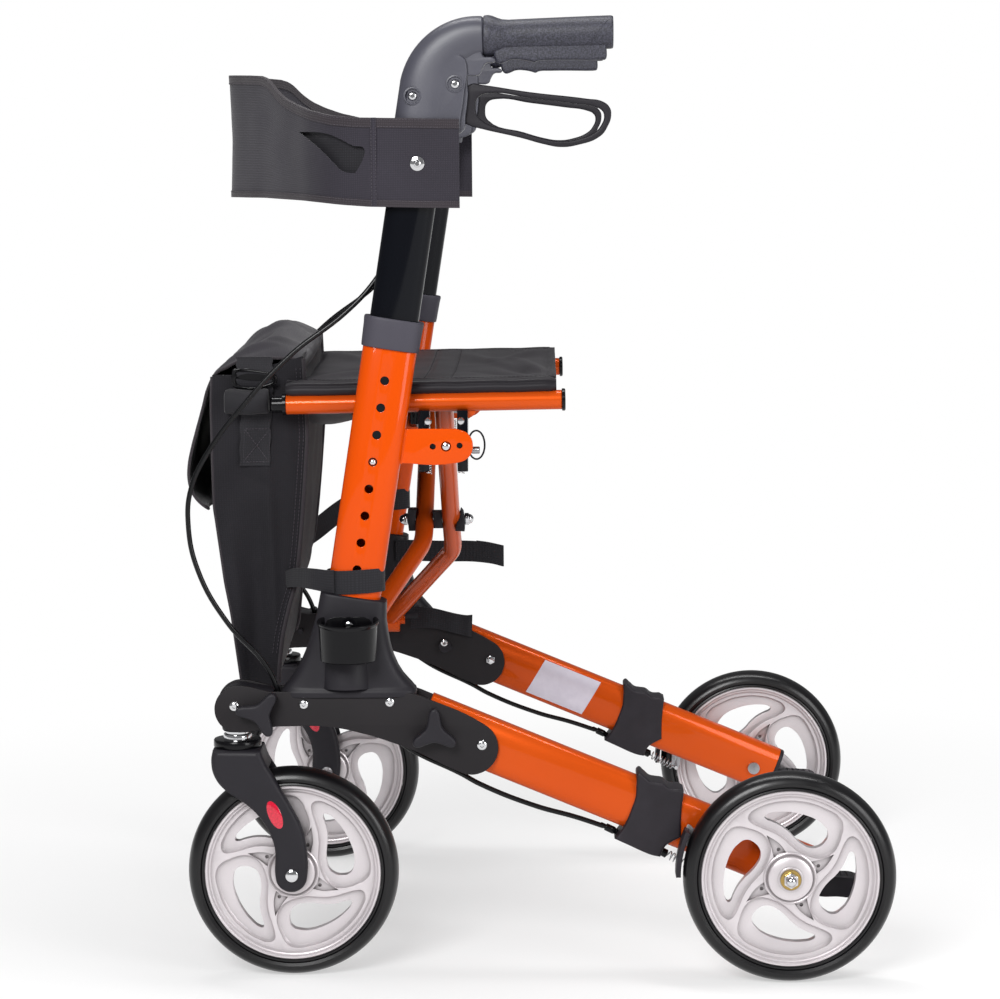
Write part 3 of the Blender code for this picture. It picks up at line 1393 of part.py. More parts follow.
# Cross frame
def make_brace(name, foot_side, brace_x, foot_x, bend_y):
    """A cross brace: a bent tube from its foot on one side to the seat rail on the other, one weldment."""
    slope = (RAIL_Z - PIVOT_Z) / (RAIL_Y + PIVOT_Y)
    middle_z = PIVOT_Z + slope * PIVOT_Y
    rail_side = -foot_side
    foot = (foot_x, foot_side * PIVOT_Y, PIVOT_Z)
    bend = (brace_x, foot_side * bend_y, middle_z - slope * bend_y)
    head = (brace_x, rail_side * RAIL_Y, RAIL_Z)
    before = Vector(bend).lerp(Vector(foot), 0.10)
    after = Vector(bend).lerp(Vector(head), 0.07)
    corner = (Vector(bend) * 2 + before + after) / 4
    brace = solid(rod(name, [foot, before, corner, after, head], BRACE_RADIUS, 2))
    rail = turned("rail", [
        (0, RAIL_REAR_X),
        (RAIL_RADIUS - 0.0010, RAIL_REAR_X),
        (RAIL_RADIUS, RAIL_REAR_X - 0.0010),
        (RAIL_RADIUS, RAIL_FRONT_X),
        (STUB_RADIUS, RAIL_FRONT_X),
        (STUB_RADIUS, RAIL_FRONT_X - STUB_LENGTH),
        (0, RAIL_FRONT_X - STUB_LENGTH),
    ], STEM_SIDES, (0, rail_side * RAIL_Y, RAIL_Z), ACROSS)
    pin = PIVOT_LENGTH / 2 + LUG_THICKNESS + 0.0020
    half = PIVOT_LENGTH / 2
    pivot = turned("pivot", [
        (0, pin),
        (PIVOT_PIN_RADIUS, pin),
        (PIVOT_PIN_RADIUS, half),
        (PIVOT_RADIUS, half),
        (PIVOT_RADIUS, -half),
        (PIVOT_PIN_RADIUS, -half),
        (PIVOT_PIN_RADIUS, -pin),
        (0, -pin),
    ], AXLE_SIDES, foot, ACROSS)
    join(brace, rail, pivot)
    reach = BRACE_RADIUS * 2
    hole = (CENTRE_BOLT_RADIUS + BEARING_GAP) / math.cos(math.pi / AXLE_SIDES)
    start, end = (brace_x - reach, 0, middle_z), (brace_x + reach, 0, middle_z)
    cut(brace, cylinder("bolt hole", hole, start, end, AXLE_SIDES))
    return set_origin(keep(brace, "orange enamel"), foot if foot_side < 0 else (brace_x, 0, middle_z))


def make_centre_bolt():
    """The bolt that the braces turn on, with its head, nut and the washers that keep the tubes apart."""
    slope = (RAIL_Z - PIVOT_Z) / (RAIL_Y + PIVOT_Y)
    z = PIVOT_Z + slope * PIVOT_Y
    front = FRONT_BRACE_X - BRACE_RADIUS - FIT
    rear = REAR_BRACE_X + BRACE_RADIUS + FIT
    gap_front = FRONT_BRACE_X + BRACE_RADIUS + FIT
    gap_rear = REAR_BRACE_X - BRACE_RADIUS - FIT
    washer = 0.0025
    profile = [
        (0, rear + washer + CENTRE_HEAD_HEIGHT),
        (CENTRE_HEAD_RADIUS, rear + washer + CENTRE_HEAD_HEIGHT),
        (CENTRE_HEAD_RADIUS, rear + washer),
        (CENTRE_COLLAR_RADIUS, rear + washer),
        (CENTRE_COLLAR_RADIUS, rear),
        (CENTRE_BOLT_RADIUS, rear),
        (CENTRE_BOLT_RADIUS, gap_rear),
        (CENTRE_COLLAR_RADIUS, gap_rear),
        (CENTRE_COLLAR_RADIUS, gap_front),
        (CENTRE_BOLT_RADIUS, gap_front),
        (CENTRE_BOLT_RADIUS, front),
        (CENTRE_COLLAR_RADIUS, front),
        (CENTRE_COLLAR_RADIUS, front - washer),
        (CENTRE_HEAD_RADIUS, front - washer),
        (CENTRE_HEAD_RADIUS, front - washer - CENTRE_HEAD_HEIGHT),
        (0, front - washer - CENTRE_HEAD_HEIGHT - 0.003),
    ]
    bolt = turned("centre_bolt", profile, AXLE_SIDES, (0, 0, z), ACROSS)
    return set_origin(keep(bolt, "steel"), (FRONT_BRACE_X, 0, z))


# Cloth
def make_seat():
    """The seat cloth: a thin panel between the rails, with a thick hem that sits on each rail."""
    hem_in = RAIL_Y - HEM_WIDTH
    hem_out = RAIL_Y + HEM_WIDTH * 0.75
    rail_top = RAIL_Z + RAIL_RADIUS + FIT
    half = [
        (hem_out - 0.002, SEAT_TOP),
        (hem_out, SEAT_TOP - 0.002),
        (hem_out, rail_top),
        (hem_in, rail_top),
        (hem_in - 0.004, SEAT_TOP - SEAT_THICKNESS),
    ]
    outline = half + [(-y, z) for y, z in reversed(half)]
    length = RAIL_REAR_X - 0.005 - RAIL_FRONT_X
    seat = end_prism("seat_fabric", [outline], length, RAIL_FRONT_X + length / 2)
    recess = BAG_HALF_WIDTH + SEAT_RECESS_GAP
    cut(seat, block("bag recess", (RAIL_FRONT_X - 0.010, -recess, SEAT_TOP - 0.050),
                    (BAG_REAR_X + SEAT_RECESS_GAP, recess, SEAT_TOP + 0.010)))
    return keep(seat, "black cloth")


def make_band():
    """The backrest band: along each handle tube's outer side, then bowed forward and taller there."""
    y_side = FRAME_Y + HOUSING_DEPTH / 2 + FIT
    stations = []
    bow = BAND_TURN_X - BAND_FRONT_X
    for i in range(4):
        stations.append((BAND_REAR_X + (BAND_TURN_X - BAND_REAR_X) * i / 4, -y_side))
    for i in range(19):
        angle = math.pi * i / 18
        stations.append((BAND_TURN_X - bow * math.sin(angle), -y_side * math.cos(angle)))
    for i in range(3, -1, -1):
        stations.append((BAND_REAR_X + (BAND_TURN_X - BAND_REAR_X) * i / 4, y_side))
    rings = []
    for number, (x, y) in enumerate(stations):
        before = Vector(stations[max(0, number - 1)])
        after = Vector(stations[min(len(stations) - 1, number + 1)])
        along = (after - before).normalized()
        outward = Vector((-along.y, along.x))
        share = min(1.0, max(0.0, (-x - 0.172) / 0.070))
        ease = share * share * (3 - 2 * share)
        top = BAND_SIDE_TOP + (BAND_MIDDLE_TOP - BAND_SIDE_TOP) * ease
        foot = BAND_SIDE_FOOT + (BAND_MIDDLE_FOOT - BAND_SIDE_FOOT) * ease
        off = outward * BAND_THICKNESS
        rings.append([(x, y, foot), (x + off.x, y + off.y, foot), (x + off.x, y + off.y, top), (x, y, top)])
    return keep(loft("backrest_band", rings), "black cloth")


def make_bag():
    """The bag: a plain closed body with its flap's hump and overhang, drawn in towards the foot."""
    profile = [
        (BAG_REAR_X, 0.5600),
        (BAG_REAR_X - 0.010, 0.5950),
        (-0.2450, BAG_TOP),
        (-0.2900, 0.5960),
        (-0.3250, 0.5450),
        (BAG_FRONT_X, 0.4850),
        (-0.3360, 0.4480),
        (-0.3130, 0.4380),
        (-0.3040, 0.4000),
        (-0.2870, 0.2750),
        (-0.2650, BAG_FOOT),
        (-0.2250, BAG_FOOT + 0.002),
        (-0.2080, 0.3660),
        (BAG_REAR_X, 0.5000),
    ]
    centre = sum((Vector(point) for point in profile), Vector((0, 0))) / len(profile)
    rings = []
    for share, shrink in ((-1, 0.90), (-0.94, 1.0), (0.94, 1.0), (1, 0.90)):
        ring = []
        for point in profile:
            x, z = centre + (Vector(point) - centre) * shrink
            ring.append((x, share * BAG_HALF_WIDTH, z))
        rings.append(ring)
    bag = loft("bag", rings)
    inner, outer = STUB_RADIUS + FIT, STUB_RADIUS + FIT + LOOP_THICKNESS
    middle = RAIL_FRONT_X - STUB_LENGTH + LOOP_WIDTH / 2 + 0.001
    half = LOOP_WIDTH / 2
    grow = 1 / math.cos(math.pi / LOOP_SIDES)
    section = [(inner * grow, half), (outer * grow, half), (outer * grow, -half), (inner * grow, -half)]
    for side in (-1, 1):
        rail_end = (middle, side * RAIL_Y, RAIL_Z)
        loop = turned("loop", section, LOOP_SIDES, rail_end, ACROSS, closed=True)
        tab_y = sorted((side * (BAG_HALF_WIDTH - inner), side * (RAIL_Y - inner - FIT)))
        low, high = (middle - half, tab_y[0], RAIL_Z - outer), (middle + half, tab_y[1], RAIL_Z - FIT)
        join(loop, block("tab", low, high))
        join(bag, loop)
    return keep(bag, "black cloth")


def build_side(side):
    """All the pieces of one side."""
    front_y, rear_y = side * FRAME_Y, side * REAR_WHEEL_Y
    front_turn = FRONT_LEFT_TURN if side < 0 else FRONT_RIGHT_TURN
    rear_turn = REAR_LEFT_TURN if side < 0 else REAR_RIGHT_TURN
    make_tyre(tag(side, "front_tyre"), side, FRONT_AXLE_X, front_y)
    make_rim(tag(side, "front_wheel"), side, FRONT_AXLE_X, front_y, front_turn)
    make_tyre(tag(side, "rear_tyre"), side, REAR_AXLE_X, rear_y)
    make_rim(tag(side, "rear_wheel"), side, REAR_AXLE_X, rear_y, rear_turn)
    make_front_axle(side)
    make_rear_axle(side)
    make_fork(side)
    make_head_block(side)
    make_knob(side, "front_knob", FRONT_KNOB)
    make_knob(side, "rear_knob", REAR_KNOB)
    make_plate(side, "outer_plate", FRAME_Y + TUBE_DEPTH / 2 + FIT)
    foot_x = FRONT_FOOT_X if side < 0 else REAR_FOOT_X
    make_plate(side, "inner_plate", FRAME_Y - TUBE_DEPTH / 2 - FIT - PLATE_THICKNESS, foot_x)
    make_tower(side)
    make_upright(side)
    make_catch_pin(side)
    make_collar(side)
    make_handle_tube(side)
    make_snap_button(side)
    make_housing(side)
    make_lever(side)
    make_grip(side)
    make_leg(side)
    make_end_cap(side)
    make_cover(side)
    make_brake_arm(side)
    make_spring(side)
    make_cable(side)


def joint_axis(name, location, members, carrier=None):
    """An empty on a joint's axis that carries the pieces, and the further axes, which move about it."""
    axis = bpy.data.objects.new(name, None)
    axis.empty_display_size = 0.03
    parts.objects.link(axis)
    axis.location = location
    bpy.context.view_layer.update()
    if carrier:
        axis.parent = carrier
        axis.location = Vector(location) - carrier.matrix_world.translation
    for member in members:
        piece = bpy.data.objects[member]
        piece.parent = axis
        piece.location = piece.location - Vector(location)
    bpy.context.view_layer.update()
    return axis


def hang_side(side, frame):
    """The joint axes of one side, carried by the side frame's own axis where it has one."""
    fixed = ("outer_plate", "inner_plate", "base_tower", "upright", "collar", "head_block", "rear_leg",
             "leg_end_cap", "rear_axle", "brake_cover", "brake_cable", "brake_spring")
    if frame:
        for name in fixed:
            piece = bpy.data.objects[tag(side, name)]
            piece.parent = frame
            piece.location = piece.location - frame.matrix_world.translation
    y = side * FRAME_Y
    wheel_front = (FRONT_AXLE_X, y, WHEEL_RADIUS)
    wheel_rear = (REAR_AXLE_X, side * REAR_WHEEL_Y, WHEEL_RADIUS)
    slide = on_axis(HOLE_IN_USE_Z, y)
    handle = joint_axis(tag(side, "height_axis"), slide,
                        [tag(side, name) for name in ("handle_tube", "elbow_housing", "grip")], frame)
    if side < 0:
        band = bpy.data.objects["backrest_band"]
        band.parent = handle
        band.location = band.location - slide
    joint_axis(tag(side, "button_axis"), slide, [tag(side, "snap_button")], handle)
    lever = (LEVER_PIVOT[0], y, LEVER_PIVOT[1])
    joint_axis(tag(side, "lever_axis"), lever, [tag(side, "brake_lever")], handle)
    joint_axis(tag(side, "arm_axis"), (ARM_PIVOT[0], y, ARM_PIVOT[1]), [tag(side, "brake_arm")], frame)
    caster = joint_axis(tag(side, "caster_axis"), (CASTER_X, y, FORK_CROWN_TOP),
                        [tag(side, "caster_fork"), tag(side, "front_axle")], frame)
    for name, point, carrier in (("front", wheel_front, caster), ("rear", wheel_rear, frame)):
        wheel = [tag(side, name + "_wheel"), tag(side, name + "_tyre")]
        joint_axis(tag(side, name + "_wheel_axis"), point, wheel, carrier)
    for name, point in (("front_knob", FRONT_KNOB), ("rear_knob", REAR_KNOB)):
        joint_axis(tag(side, name + "_axis"), (point[0], y, point[1]), [tag(side, name)], frame)
    joint_axis(tag(side, "pin_axis"), (saddle_ends(side)[0], y, PIN_Z), [tag(side, "catch_pin")], frame)


build_side(-1)
build_side(1)
make_brace("front_brace", -1, FRONT_BRACE_X, FRONT_FOOT_X, FRONT_BEND_Y)
make_brace("rear_brace", 1, REAR_BRACE_X, REAR_FOOT_X, REAR_BEND_Y)
make_centre_bolt()
make_seat()
make_band()
make_bag()
centre_z = PIVOT_Z + (RAIL_Z - PIVOT_Z) / (RAIL_Y + PIVOT_Y) * PIVOT_Y
riding = ["front_brace", "centre_bolt", "bag", "seat_fabric"]
fold = joint_axis("fold_axis", (FRONT_FOOT_X, -PIVOT_Y, PIVOT_Z), riding)
cross = joint_axis("cross_axis", (REAR_BRACE_X, 0, centre_z), ["rear_brace"], fold)
far_foot = joint_axis("right_foot_axis", (REAR_FOOT_X, PIVOT_Y, PIVOT_Z), [], cross)
hang_side(-1, None)
hang_side(1, far_foot)
print("parts", len([thing for thing in parts.objects if thing.type == "MESH"]))
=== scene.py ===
# %% [markdown]
# A side-folding rollator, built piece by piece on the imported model. That model is the frame: every
# tube, wheel and bolt already has its place in metres, X to the rear, Y to the user's right and Z up.
# Here each piece gets the shape and finish that the eye sees. Left pieces are modelled once and their
# mirrored copies stand on the right. Lists of points are written in millimetres, which mm() turns into
# metres.

# %% Load the frame
import math

import bpy
from mathutils import Matrix, Vector, noise


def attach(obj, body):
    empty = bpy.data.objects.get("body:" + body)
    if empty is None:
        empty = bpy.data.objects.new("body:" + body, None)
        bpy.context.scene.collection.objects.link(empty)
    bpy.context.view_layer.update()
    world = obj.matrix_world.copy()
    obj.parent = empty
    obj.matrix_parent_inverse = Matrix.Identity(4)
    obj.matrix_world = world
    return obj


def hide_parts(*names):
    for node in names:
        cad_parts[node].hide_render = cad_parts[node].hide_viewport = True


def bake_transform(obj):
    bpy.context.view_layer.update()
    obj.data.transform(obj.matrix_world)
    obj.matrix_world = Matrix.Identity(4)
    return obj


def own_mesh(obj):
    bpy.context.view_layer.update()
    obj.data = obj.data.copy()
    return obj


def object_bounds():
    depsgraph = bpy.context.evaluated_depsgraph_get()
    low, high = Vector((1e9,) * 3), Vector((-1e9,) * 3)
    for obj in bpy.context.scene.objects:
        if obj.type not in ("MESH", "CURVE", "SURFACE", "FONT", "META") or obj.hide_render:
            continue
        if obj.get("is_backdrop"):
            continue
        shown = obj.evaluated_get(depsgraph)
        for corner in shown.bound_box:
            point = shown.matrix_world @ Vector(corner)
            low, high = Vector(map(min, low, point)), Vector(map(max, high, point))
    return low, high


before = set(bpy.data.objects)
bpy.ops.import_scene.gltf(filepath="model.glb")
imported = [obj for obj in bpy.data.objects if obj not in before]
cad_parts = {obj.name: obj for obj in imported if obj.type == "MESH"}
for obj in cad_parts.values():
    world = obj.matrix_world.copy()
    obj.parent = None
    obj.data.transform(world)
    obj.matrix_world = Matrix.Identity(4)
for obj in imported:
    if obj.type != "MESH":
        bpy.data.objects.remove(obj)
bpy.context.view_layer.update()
ops = bpy.ops

# %% [markdown]
# The camera stands about three metres to the left of the frame at chest height, with a long lens, as
# a product photographer would put it. Its place and turns were fitted to the photograph, so they are
# plain numbers here. A longer lens from further away would flatten the far side onto the near one.

# %% Camera
LENS_MM = 114.35
CAMERA_AT = Vector((0.0148, -3.2031, 0.7925))
YAW, PITCH, ROLL = math.radians(-0.815), math.radians(6.549), math.radians(-0.453)

forward = Vector((math.sin(YAW) * math.cos(PITCH), math.cos(YAW) * math.cos(PITCH), -math.sin(PITCH)))
level = Vector((math.cos(YAW), -math.sin(YAW), 0))
raised = level.cross(forward)
right = level * math.cos(ROLL) + raised * math.sin(ROLL)
up = raised * math.cos(ROLL) - level * math.sin(ROLL)
ops.object.camera_add(location=CAMERA_AT)
camera = bpy.context.object
camera.name = "camera"
camera.data.lens, camera.data.sensor_width, camera.data.clip_end = LENS_MM, 36, 30
camera.matrix_world = Matrix.Translation(CAMERA_AT) @ Matrix((right, up, -forward)).transposed().to_4x4()
bpy.context.scene.camera = camera
bpy.context.scene.view_settings.view_transform = "Standard"
print("camera looks along", [round(v, 3) for v in forward])

# %% [markdown]
# Every material is a small tree of shader nodes. One function adds a node, sets its sockets and draws
# its links, so a finish reads as a list of what it is made from. Colours are written as sRGB hex, as
# they are picked from a screen, and one function turns them to the linear values that light needs.

# %% Colours and nodes
def linear(hex_colour):
    """An sRGB hex colour as linear red, green, blue and alpha."""
    values = [int(hex_colour[i:i + 2], 16) / 255 for i in (1, 3, 5)]
    return tuple(v / 12.92 if v <= 0.04045 else ((v + 0.055) / 1.055) ** 2.4 for v in values) + (1.0,)


def add(tree, kind, settings=None, to=None, **links):
    """Adds one node. settings gives attributes, or values of sockets by name or number. links gives the
    sockets that feed it (in_0 is its first), and to the number of an output and the socket it feeds."""
    made = tree.nodes.new(kind)
    for key, value in (settings or {}).items():
        if isinstance(key, str) and hasattr(made, key):
            setattr(made, key, value)
        else:
            made.inputs[key].default_value = value
    for key, source in links.items():
        named = [s for s in made.inputs if s.name == key.replace("_", " ") and s.enabled]
        tree.links.new(source, named[0] if named else made.inputs[int(key[3:])])
    if to:
        tree.links.new(made.outputs[to[0]], to[1])
    return made


def shader_of(name, colour, roughness, **settings):
    """A new material with its Principled shader, and the tree to work in."""
    made = bpy.data.materials.new(name)
    made.use_nodes = True
    shader = made.node_tree.nodes["Principled BSDF"]
    shader.inputs["Base Color"].default_value = linear(colour)
    shader.inputs["Roughness"].default_value = roughness
    for key, value in settings.items():
        shader.inputs[key.replace("_", " ")].default_value = value
    return made, made.node_tree, shader.inputs


print("white is", linear("#ffffff"))

# %% [markdown]
# The studio is a pale floor, a pale surround and three large soft lamps: one high on the left that
# draws the long highlight down the tubes, one on the right that opens the shadows, and one overhead.
# The floor shows nearly white to the camera but still takes the soft shadow under each wheel.

# %% Studio
world = bpy.data.worlds.new("studio")
bpy.context.scene.world = world
world.use_nodes = True
sky = world.node_tree
surround = sky.nodes["Background"]
surround.inputs["Color"].default_value = linear("#f2f2f4")
surround.inputs["Strength"].default_value = 0.24
seen = add(sky, "ShaderNodeBackground", {"Color": (1, 1, 1, 1), "Strength": 1.0})
ray = add(sky, "ShaderNodeLightPath")
add(sky, "ShaderNodeMixShader", to=(0, sky.nodes["World Output"].inputs["Surface"]),
    in_0=ray.outputs["Is Camera Ray"], in_1=surround.outputs[0], in_2=seen.outputs[0])

paper, tree, _ = shader_of("white paper floor", "#f4f4f4", 0.9)
ray = add(tree, "ShaderNodeLightPath")
either = add(tree, "ShaderNodeMath", {"operation": "MAXIMUM"},
             in_0=ray.outputs["Is Camera Ray"], in_1=ray.outputs["Is Glossy Ray"])
# the paper is real near the object, where its shadow falls, and fades to plain white away from it
place = add(tree, "ShaderNodeTexCoord")
away = add(tree, "ShaderNodeVectorMath", {"operation": "LENGTH"}, in_0=place.outputs["Object"])
fade = add(tree, "ShaderNodeMapRange", {"interpolation_type": "SMOOTHSTEP", "From Min": 0.35, "From Max": 1.3,
                                        "To Min": 0.5, "To Max": 1.0}, Value=away.outputs["Value"])
faded = add(tree, "ShaderNodeMath", {"operation": "MULTIPLY"}, in_0=either.outputs[0], in_1=fade.outputs[0])
white = add(tree, "ShaderNodeEmission", {"Color": (1, 1, 1, 1), "Strength": 1.0})
add(tree, "ShaderNodeMixShader", to=(0, tree.nodes["Material Output"].inputs["Surface"]), in_0=faded.outputs[0],
    in_1=tree.nodes["Principled BSDF"].outputs[0], in_2=white.outputs[0])
ops.mesh.primitive_plane_add(size=24, location=(0, 0, -0.0005))
floor = bpy.context.object
floor.name = "floor"
floor.data.materials.append(paper)
floor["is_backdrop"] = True

LAMPS = {
    "key lamp": ((-1.0, -3.2, 2.3), (1.5, 1.3), 112),
    "side lamp": ((2.4, -2.3, 1.3), (1.2, 1.8), 44),
    "top lamp": ((0.1, 0.2, 2.9), (2.6, 0.40), 46),
}
for name, (place, size, watts) in LAMPS.items():
    ops.object.light_add(type="AREA", location=place)
    lamp = bpy.context.object
    lamp.name = name
    lamp.data.shape, lamp.data.energy = "RECTANGLE", watts
    lamp.data.size, lamp.data.size_y = size
    lamp.rotation_euler = (Vector((0, 0, 0.4)) - Vector(place)).to_track_quat("-Z", "Y").to_euler()
    print(name, watts, "W")

# %% [markdown]
# The modelling tools work on what is selected, and the loaded frame leaves everything selected. So
# each step starts from nothing selected, then picks the one piece that it works on. These few helpers
# do that, and the frequent steps of tidying, modifying and carving a piece.

# %% Selecting
def mm(points):
    """Points in millimetres as points in metres. A third value of True, a sharp corner's mark, stays."""
    return [tuple(v if v is True else round(v / 1000, 8) for v in point) for point in points]


def nothing_selected():
    """Object mode, with nothing selected."""
    if bpy.context.mode != "OBJECT":
        ops.object.mode_set(mode="OBJECT")
    ops.object.select_all(action="DESELECT")


def pick(piece):
    """Object mode, with one piece selected and active."""
    nothing_selected()
    piece.select_set(True)
    bpy.context.view_layer.objects.active = piece
    return piece


def started(name, primitive, **settings):
    """A new object from a primitive's operator, under a name."""
    nothing_selected()
    primitive(**settings)
    bpy.context.object.name = name
    return bpy.context.object


def tidy(piece, gap=0.00001):
    """Merges points that meet and turns the faces outwards."""
    pick(piece)
    ops.object.mode_set(mode="EDIT")
    ops.mesh.select_mode(type="VERT")
    ops.mesh.select_all(action="SELECT")
    ops.mesh.remove_doubles(threshold=gap)
    ops.mesh.normals_make_consistent(inside=False)
    ops.object.mode_set(mode="OBJECT")
    return piece


def set_down(piece):
    """Puts the place, turn and size of an object into its mesh, so that it sits at the origin."""
    pick(piece)
    ops.object.transform_apply(location=True, rotation=True, scale=True)
    return piece


def modify(piece, kind, **settings):
    """Adds one modifier, sets it and applies it."""
    pick(piece)
    step = piece.modifiers.new(kind.lower(), kind)
    for key, value in settings.items():
        setattr(step, key, value)
    ops.object.modifier_apply(modifier=step.name)
    return piece


def carve(piece, *tools, way="DIFFERENCE"):
    """Cuts tools out of a piece, or joins them to it, and takes the tools away."""
    for tool in tools:
        modify(piece, "BOOLEAN", operation=way, solver="EXACT", object=tool)
        bpy.data.objects.remove(tool, do_unlink=True)
    return piece


def round_edges(piece, width, segments=2, angle=40):
    """Rounds the hard edges of a piece."""
    return modify(piece, "BEVEL", width=width, segments=segments, limit_method="ANGLE",
                  angle_limit=math.radians(angle), miter_outer="MITER_ARC")


print("tools ready")

# %% [markdown]
# A turned part, such as a tyre, a bolt head or a knob's boss, is one outline spun about its axis. The
# outline starts as a tiny plane merged to a single point, and each further point is extruded from the
# last, as one would draw it by hand. The spin closes on itself, and its doubles are merged.

# %% Spinning
def trace(name, points):
    """A line of points drawn by extruding one vertex along; the mesh is left in edit mode, all selected."""
    piece = set_down(started(name, ops.mesh.primitive_plane_add, size=0.001, location=points[0]))
    ops.object.mode_set(mode="EDIT")
    ops.mesh.select_mode(type="VERT")
    ops.mesh.select_all(action="SELECT")
    ops.mesh.merge(type="CENTER")
    for before, after in zip(points, points[1:]):
        step = Vector(after) - Vector(before)
        ops.mesh.extrude_vertices_move(TRANSFORM_OT_translate={"value": step})
    ops.mesh.select_all(action="SELECT")
    return piece


def spun(name, profile, centre, axis=(0, -1, 0), steps=96, closed=False):
    """A body turned about an axis through centre; profile is (radius, height along the axis)."""
    along = Vector(axis).normalized()
    across = Vector((0, 0, 1)) if abs(along.z) < 0.9 else Vector((1, 0, 0))
    middle = Vector(centre)
    points = [middle + across * radius + along * height for radius, height in profile]
    piece = trace(name, points + points[:1] if closed else points)
    ops.mesh.spin(steps=steps, angle=math.tau, center=middle, axis=along)
    return tidy(piece)


# %% [markdown]
# A flat part, such as a side plate or the brake lever, is an outline cut from sheet. A 2D curve does
# this well: its handles round the outline between a few points, its extrusion gives the thickness and
# its bevel breaks the edges. It is then made a mesh, and stood up in the frame's X and Z.

# %% Cutting outlines
def outline_plate(name, outlines, thickness, y, edge=0.0008, rounds=2, smooth=True, detail=6):
    """A plate from outlines in X and Z, centred on y. A point with a third value is a sharp corner."""
    piece = started(name, ops.curve.primitive_bezier_circle_add, location=(0, 0, 0))
    shape = piece.data
    shape.dimensions, shape.fill_mode, shape.resolution_u = "2D", "BOTH", detail
    shape.extrude = thickness / 2 - edge
    shape.bevel_depth, shape.bevel_resolution, shape.offset = edge, rounds, -edge
    shape.splines.clear()
    for outline in outlines:
        line = shape.splines.new("BEZIER")
        line.bezier_points.add(len(outline) - 1)
        line.use_cyclic_u = True
        for point, spot in zip(line.bezier_points, outline):
            point.co = (spot[0], spot[1], 0)
            sharp = len(spot) > 2 or not smooth
            point.handle_left_type = point.handle_right_type = "VECTOR" if sharp else "AUTO"
    ops.object.convert(target="MESH")
    piece = bpy.context.object
    piece.rotation_euler, piece.location = (math.radians(90), 0, 0), (0, y, 0)
    return tidy(set_down(piece))


def arc_points(middle, radius, start, end, count):
    """Points along an arc, with angles in degrees."""
    steps = [math.radians(start + (end - start) * n / (count - 1)) for n in range(count)]
    return [(middle[0] + radius * math.cos(a), middle[1] + radius * math.sin(a)) for a in steps]


# %% [markdown]
# Tubes of oval section, straight or bent, start as one ring of points that is filled with a face. The
# face is extruded again and again, and each new ring is laid on its own place along the tube.

# %% Extruding a section
def oval(width, depth, sides=56, power=0.72):
    """A rounded section between an ellipse and a flat-sided oval."""
    ring = []
    for i in range(sides):
        angle = math.tau * (i + 0.5) / sides
        c, s = math.cos(angle), math.sin(angle)
        ring.append((math.copysign(abs(c) ** power, c) * width / 2, math.copysign(abs(s) ** power, s) * depth / 2))
    return ring


def lofted(name, rings):
    """A closed body through rings of points. Each ring is extruded from the last and its points are moved on."""
    piece = trace(name, rings[0])
    ops.mesh.edge_face_add()
    before = [Vector(point) for point in rings[0]]
    for ring in rings[1:]:
        ops.mesh.extrude_region_move(TRANSFORM_OT_translate={"value": (0, 0, 0)})
        ops.object.mode_set(mode="OBJECT")
        spots = [Vector(point) for point in ring]
        for point in [point for point in piece.data.vertices if point.select]:
            number = min(range(len(before)), key=lambda i: (before[i] - point.co).length_squared)
            point.co = spots[number]
        before = spots
        ops.object.mode_set(mode="EDIT")
    return tidy(piece)


def across(section, middle, turned):
    """A section laid square to a turned frame's own Z axis, about a middle point."""
    return [Vector(middle) + turned @ Vector((a, b, 0)) for a, b in section]


print("an oval tube's ring has", len(oval(0.0506, 0.030)), "points")

# %% [markdown]
# A finished piece is smoothed across its soft edges, gets its material, rides on the body that carries
# it, and hides the plain solids that it stands for. The right side's piece is the left one's mirror
# image: a copy with its own mesh, flipped in Y, whose faces are turned outwards again.

# %% Finishing and mirroring
SLOTS = {}  # the slot that pieces of a material stand in, filled as the materials are made


def finish(piece, material, body, stands_for=(), angle=35, slot=None):
    """Gives a piece its material, smooth shading below an angle, its body and hides its CAD nodes; its slot is looked
    up but not set.
    """
    set_down(piece)
    piece.data.materials.clear()
    piece.data.materials.append(material)
    if angle:
        ops.object.shade_smooth_by_angle(angle=math.radians(angle))
    if body:
        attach(piece, body)
    if stands_for:
        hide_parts(*stands_for)
    slot = slot or SLOTS.get(material.name)
    return piece


def copied(piece, name, *turns):
    """A copy with its own mesh, carried by matrices of which the last one acts first."""
    pick(piece)
    ops.object.duplicate(linked=False)
    copy = bpy.context.object
    copy.name = name
    for turn in reversed(turns):
        copy.matrix_world = turn @ copy.matrix_world
    return set_down(copy)


def mirrored(piece, name):
    """A copy across the middle plane, with its own mesh."""
    return tidy(copied(piece, name, Matrix.Scale(-1, 4, (0, 1, 0))))


def both_sides(piece, material, body, stands_for=(), angle=35, slot=None):
    """Finishes a left piece and its mirror image on the right. Bodies and nodes go by left_ and right_."""
    name = piece.name
    pair = piece, mirrored(piece, name + "_right")
    piece.name = name + "_left"
    for made, side in zip(pair, ("left_", "right_")):
        finish(made, material, side + body, [side + n for n in stands_for], angle, slot)
    return pair


print("helpers ready")

# %% [markdown]
# Most surfaces on the frame are one substance with a finish: its tone and its gloss drift slowly, and
# it has a fine grain. So one function makes them all from Object coordinates in metres: a slow noise
# mixes two tones and moves the roughness, and a fine noise, or the slow one, makes the bump.

# %% Surfaces
def object_place(tree, scale=(1, 1, 1)):
    """The point on the object in metres, stretched by scale."""
    at = add(tree, "ShaderNodeTexCoord")
    return add(tree, "ShaderNodeMapping", {"Scale": scale}, Vector=at.outputs["Object"]).outputs[0]


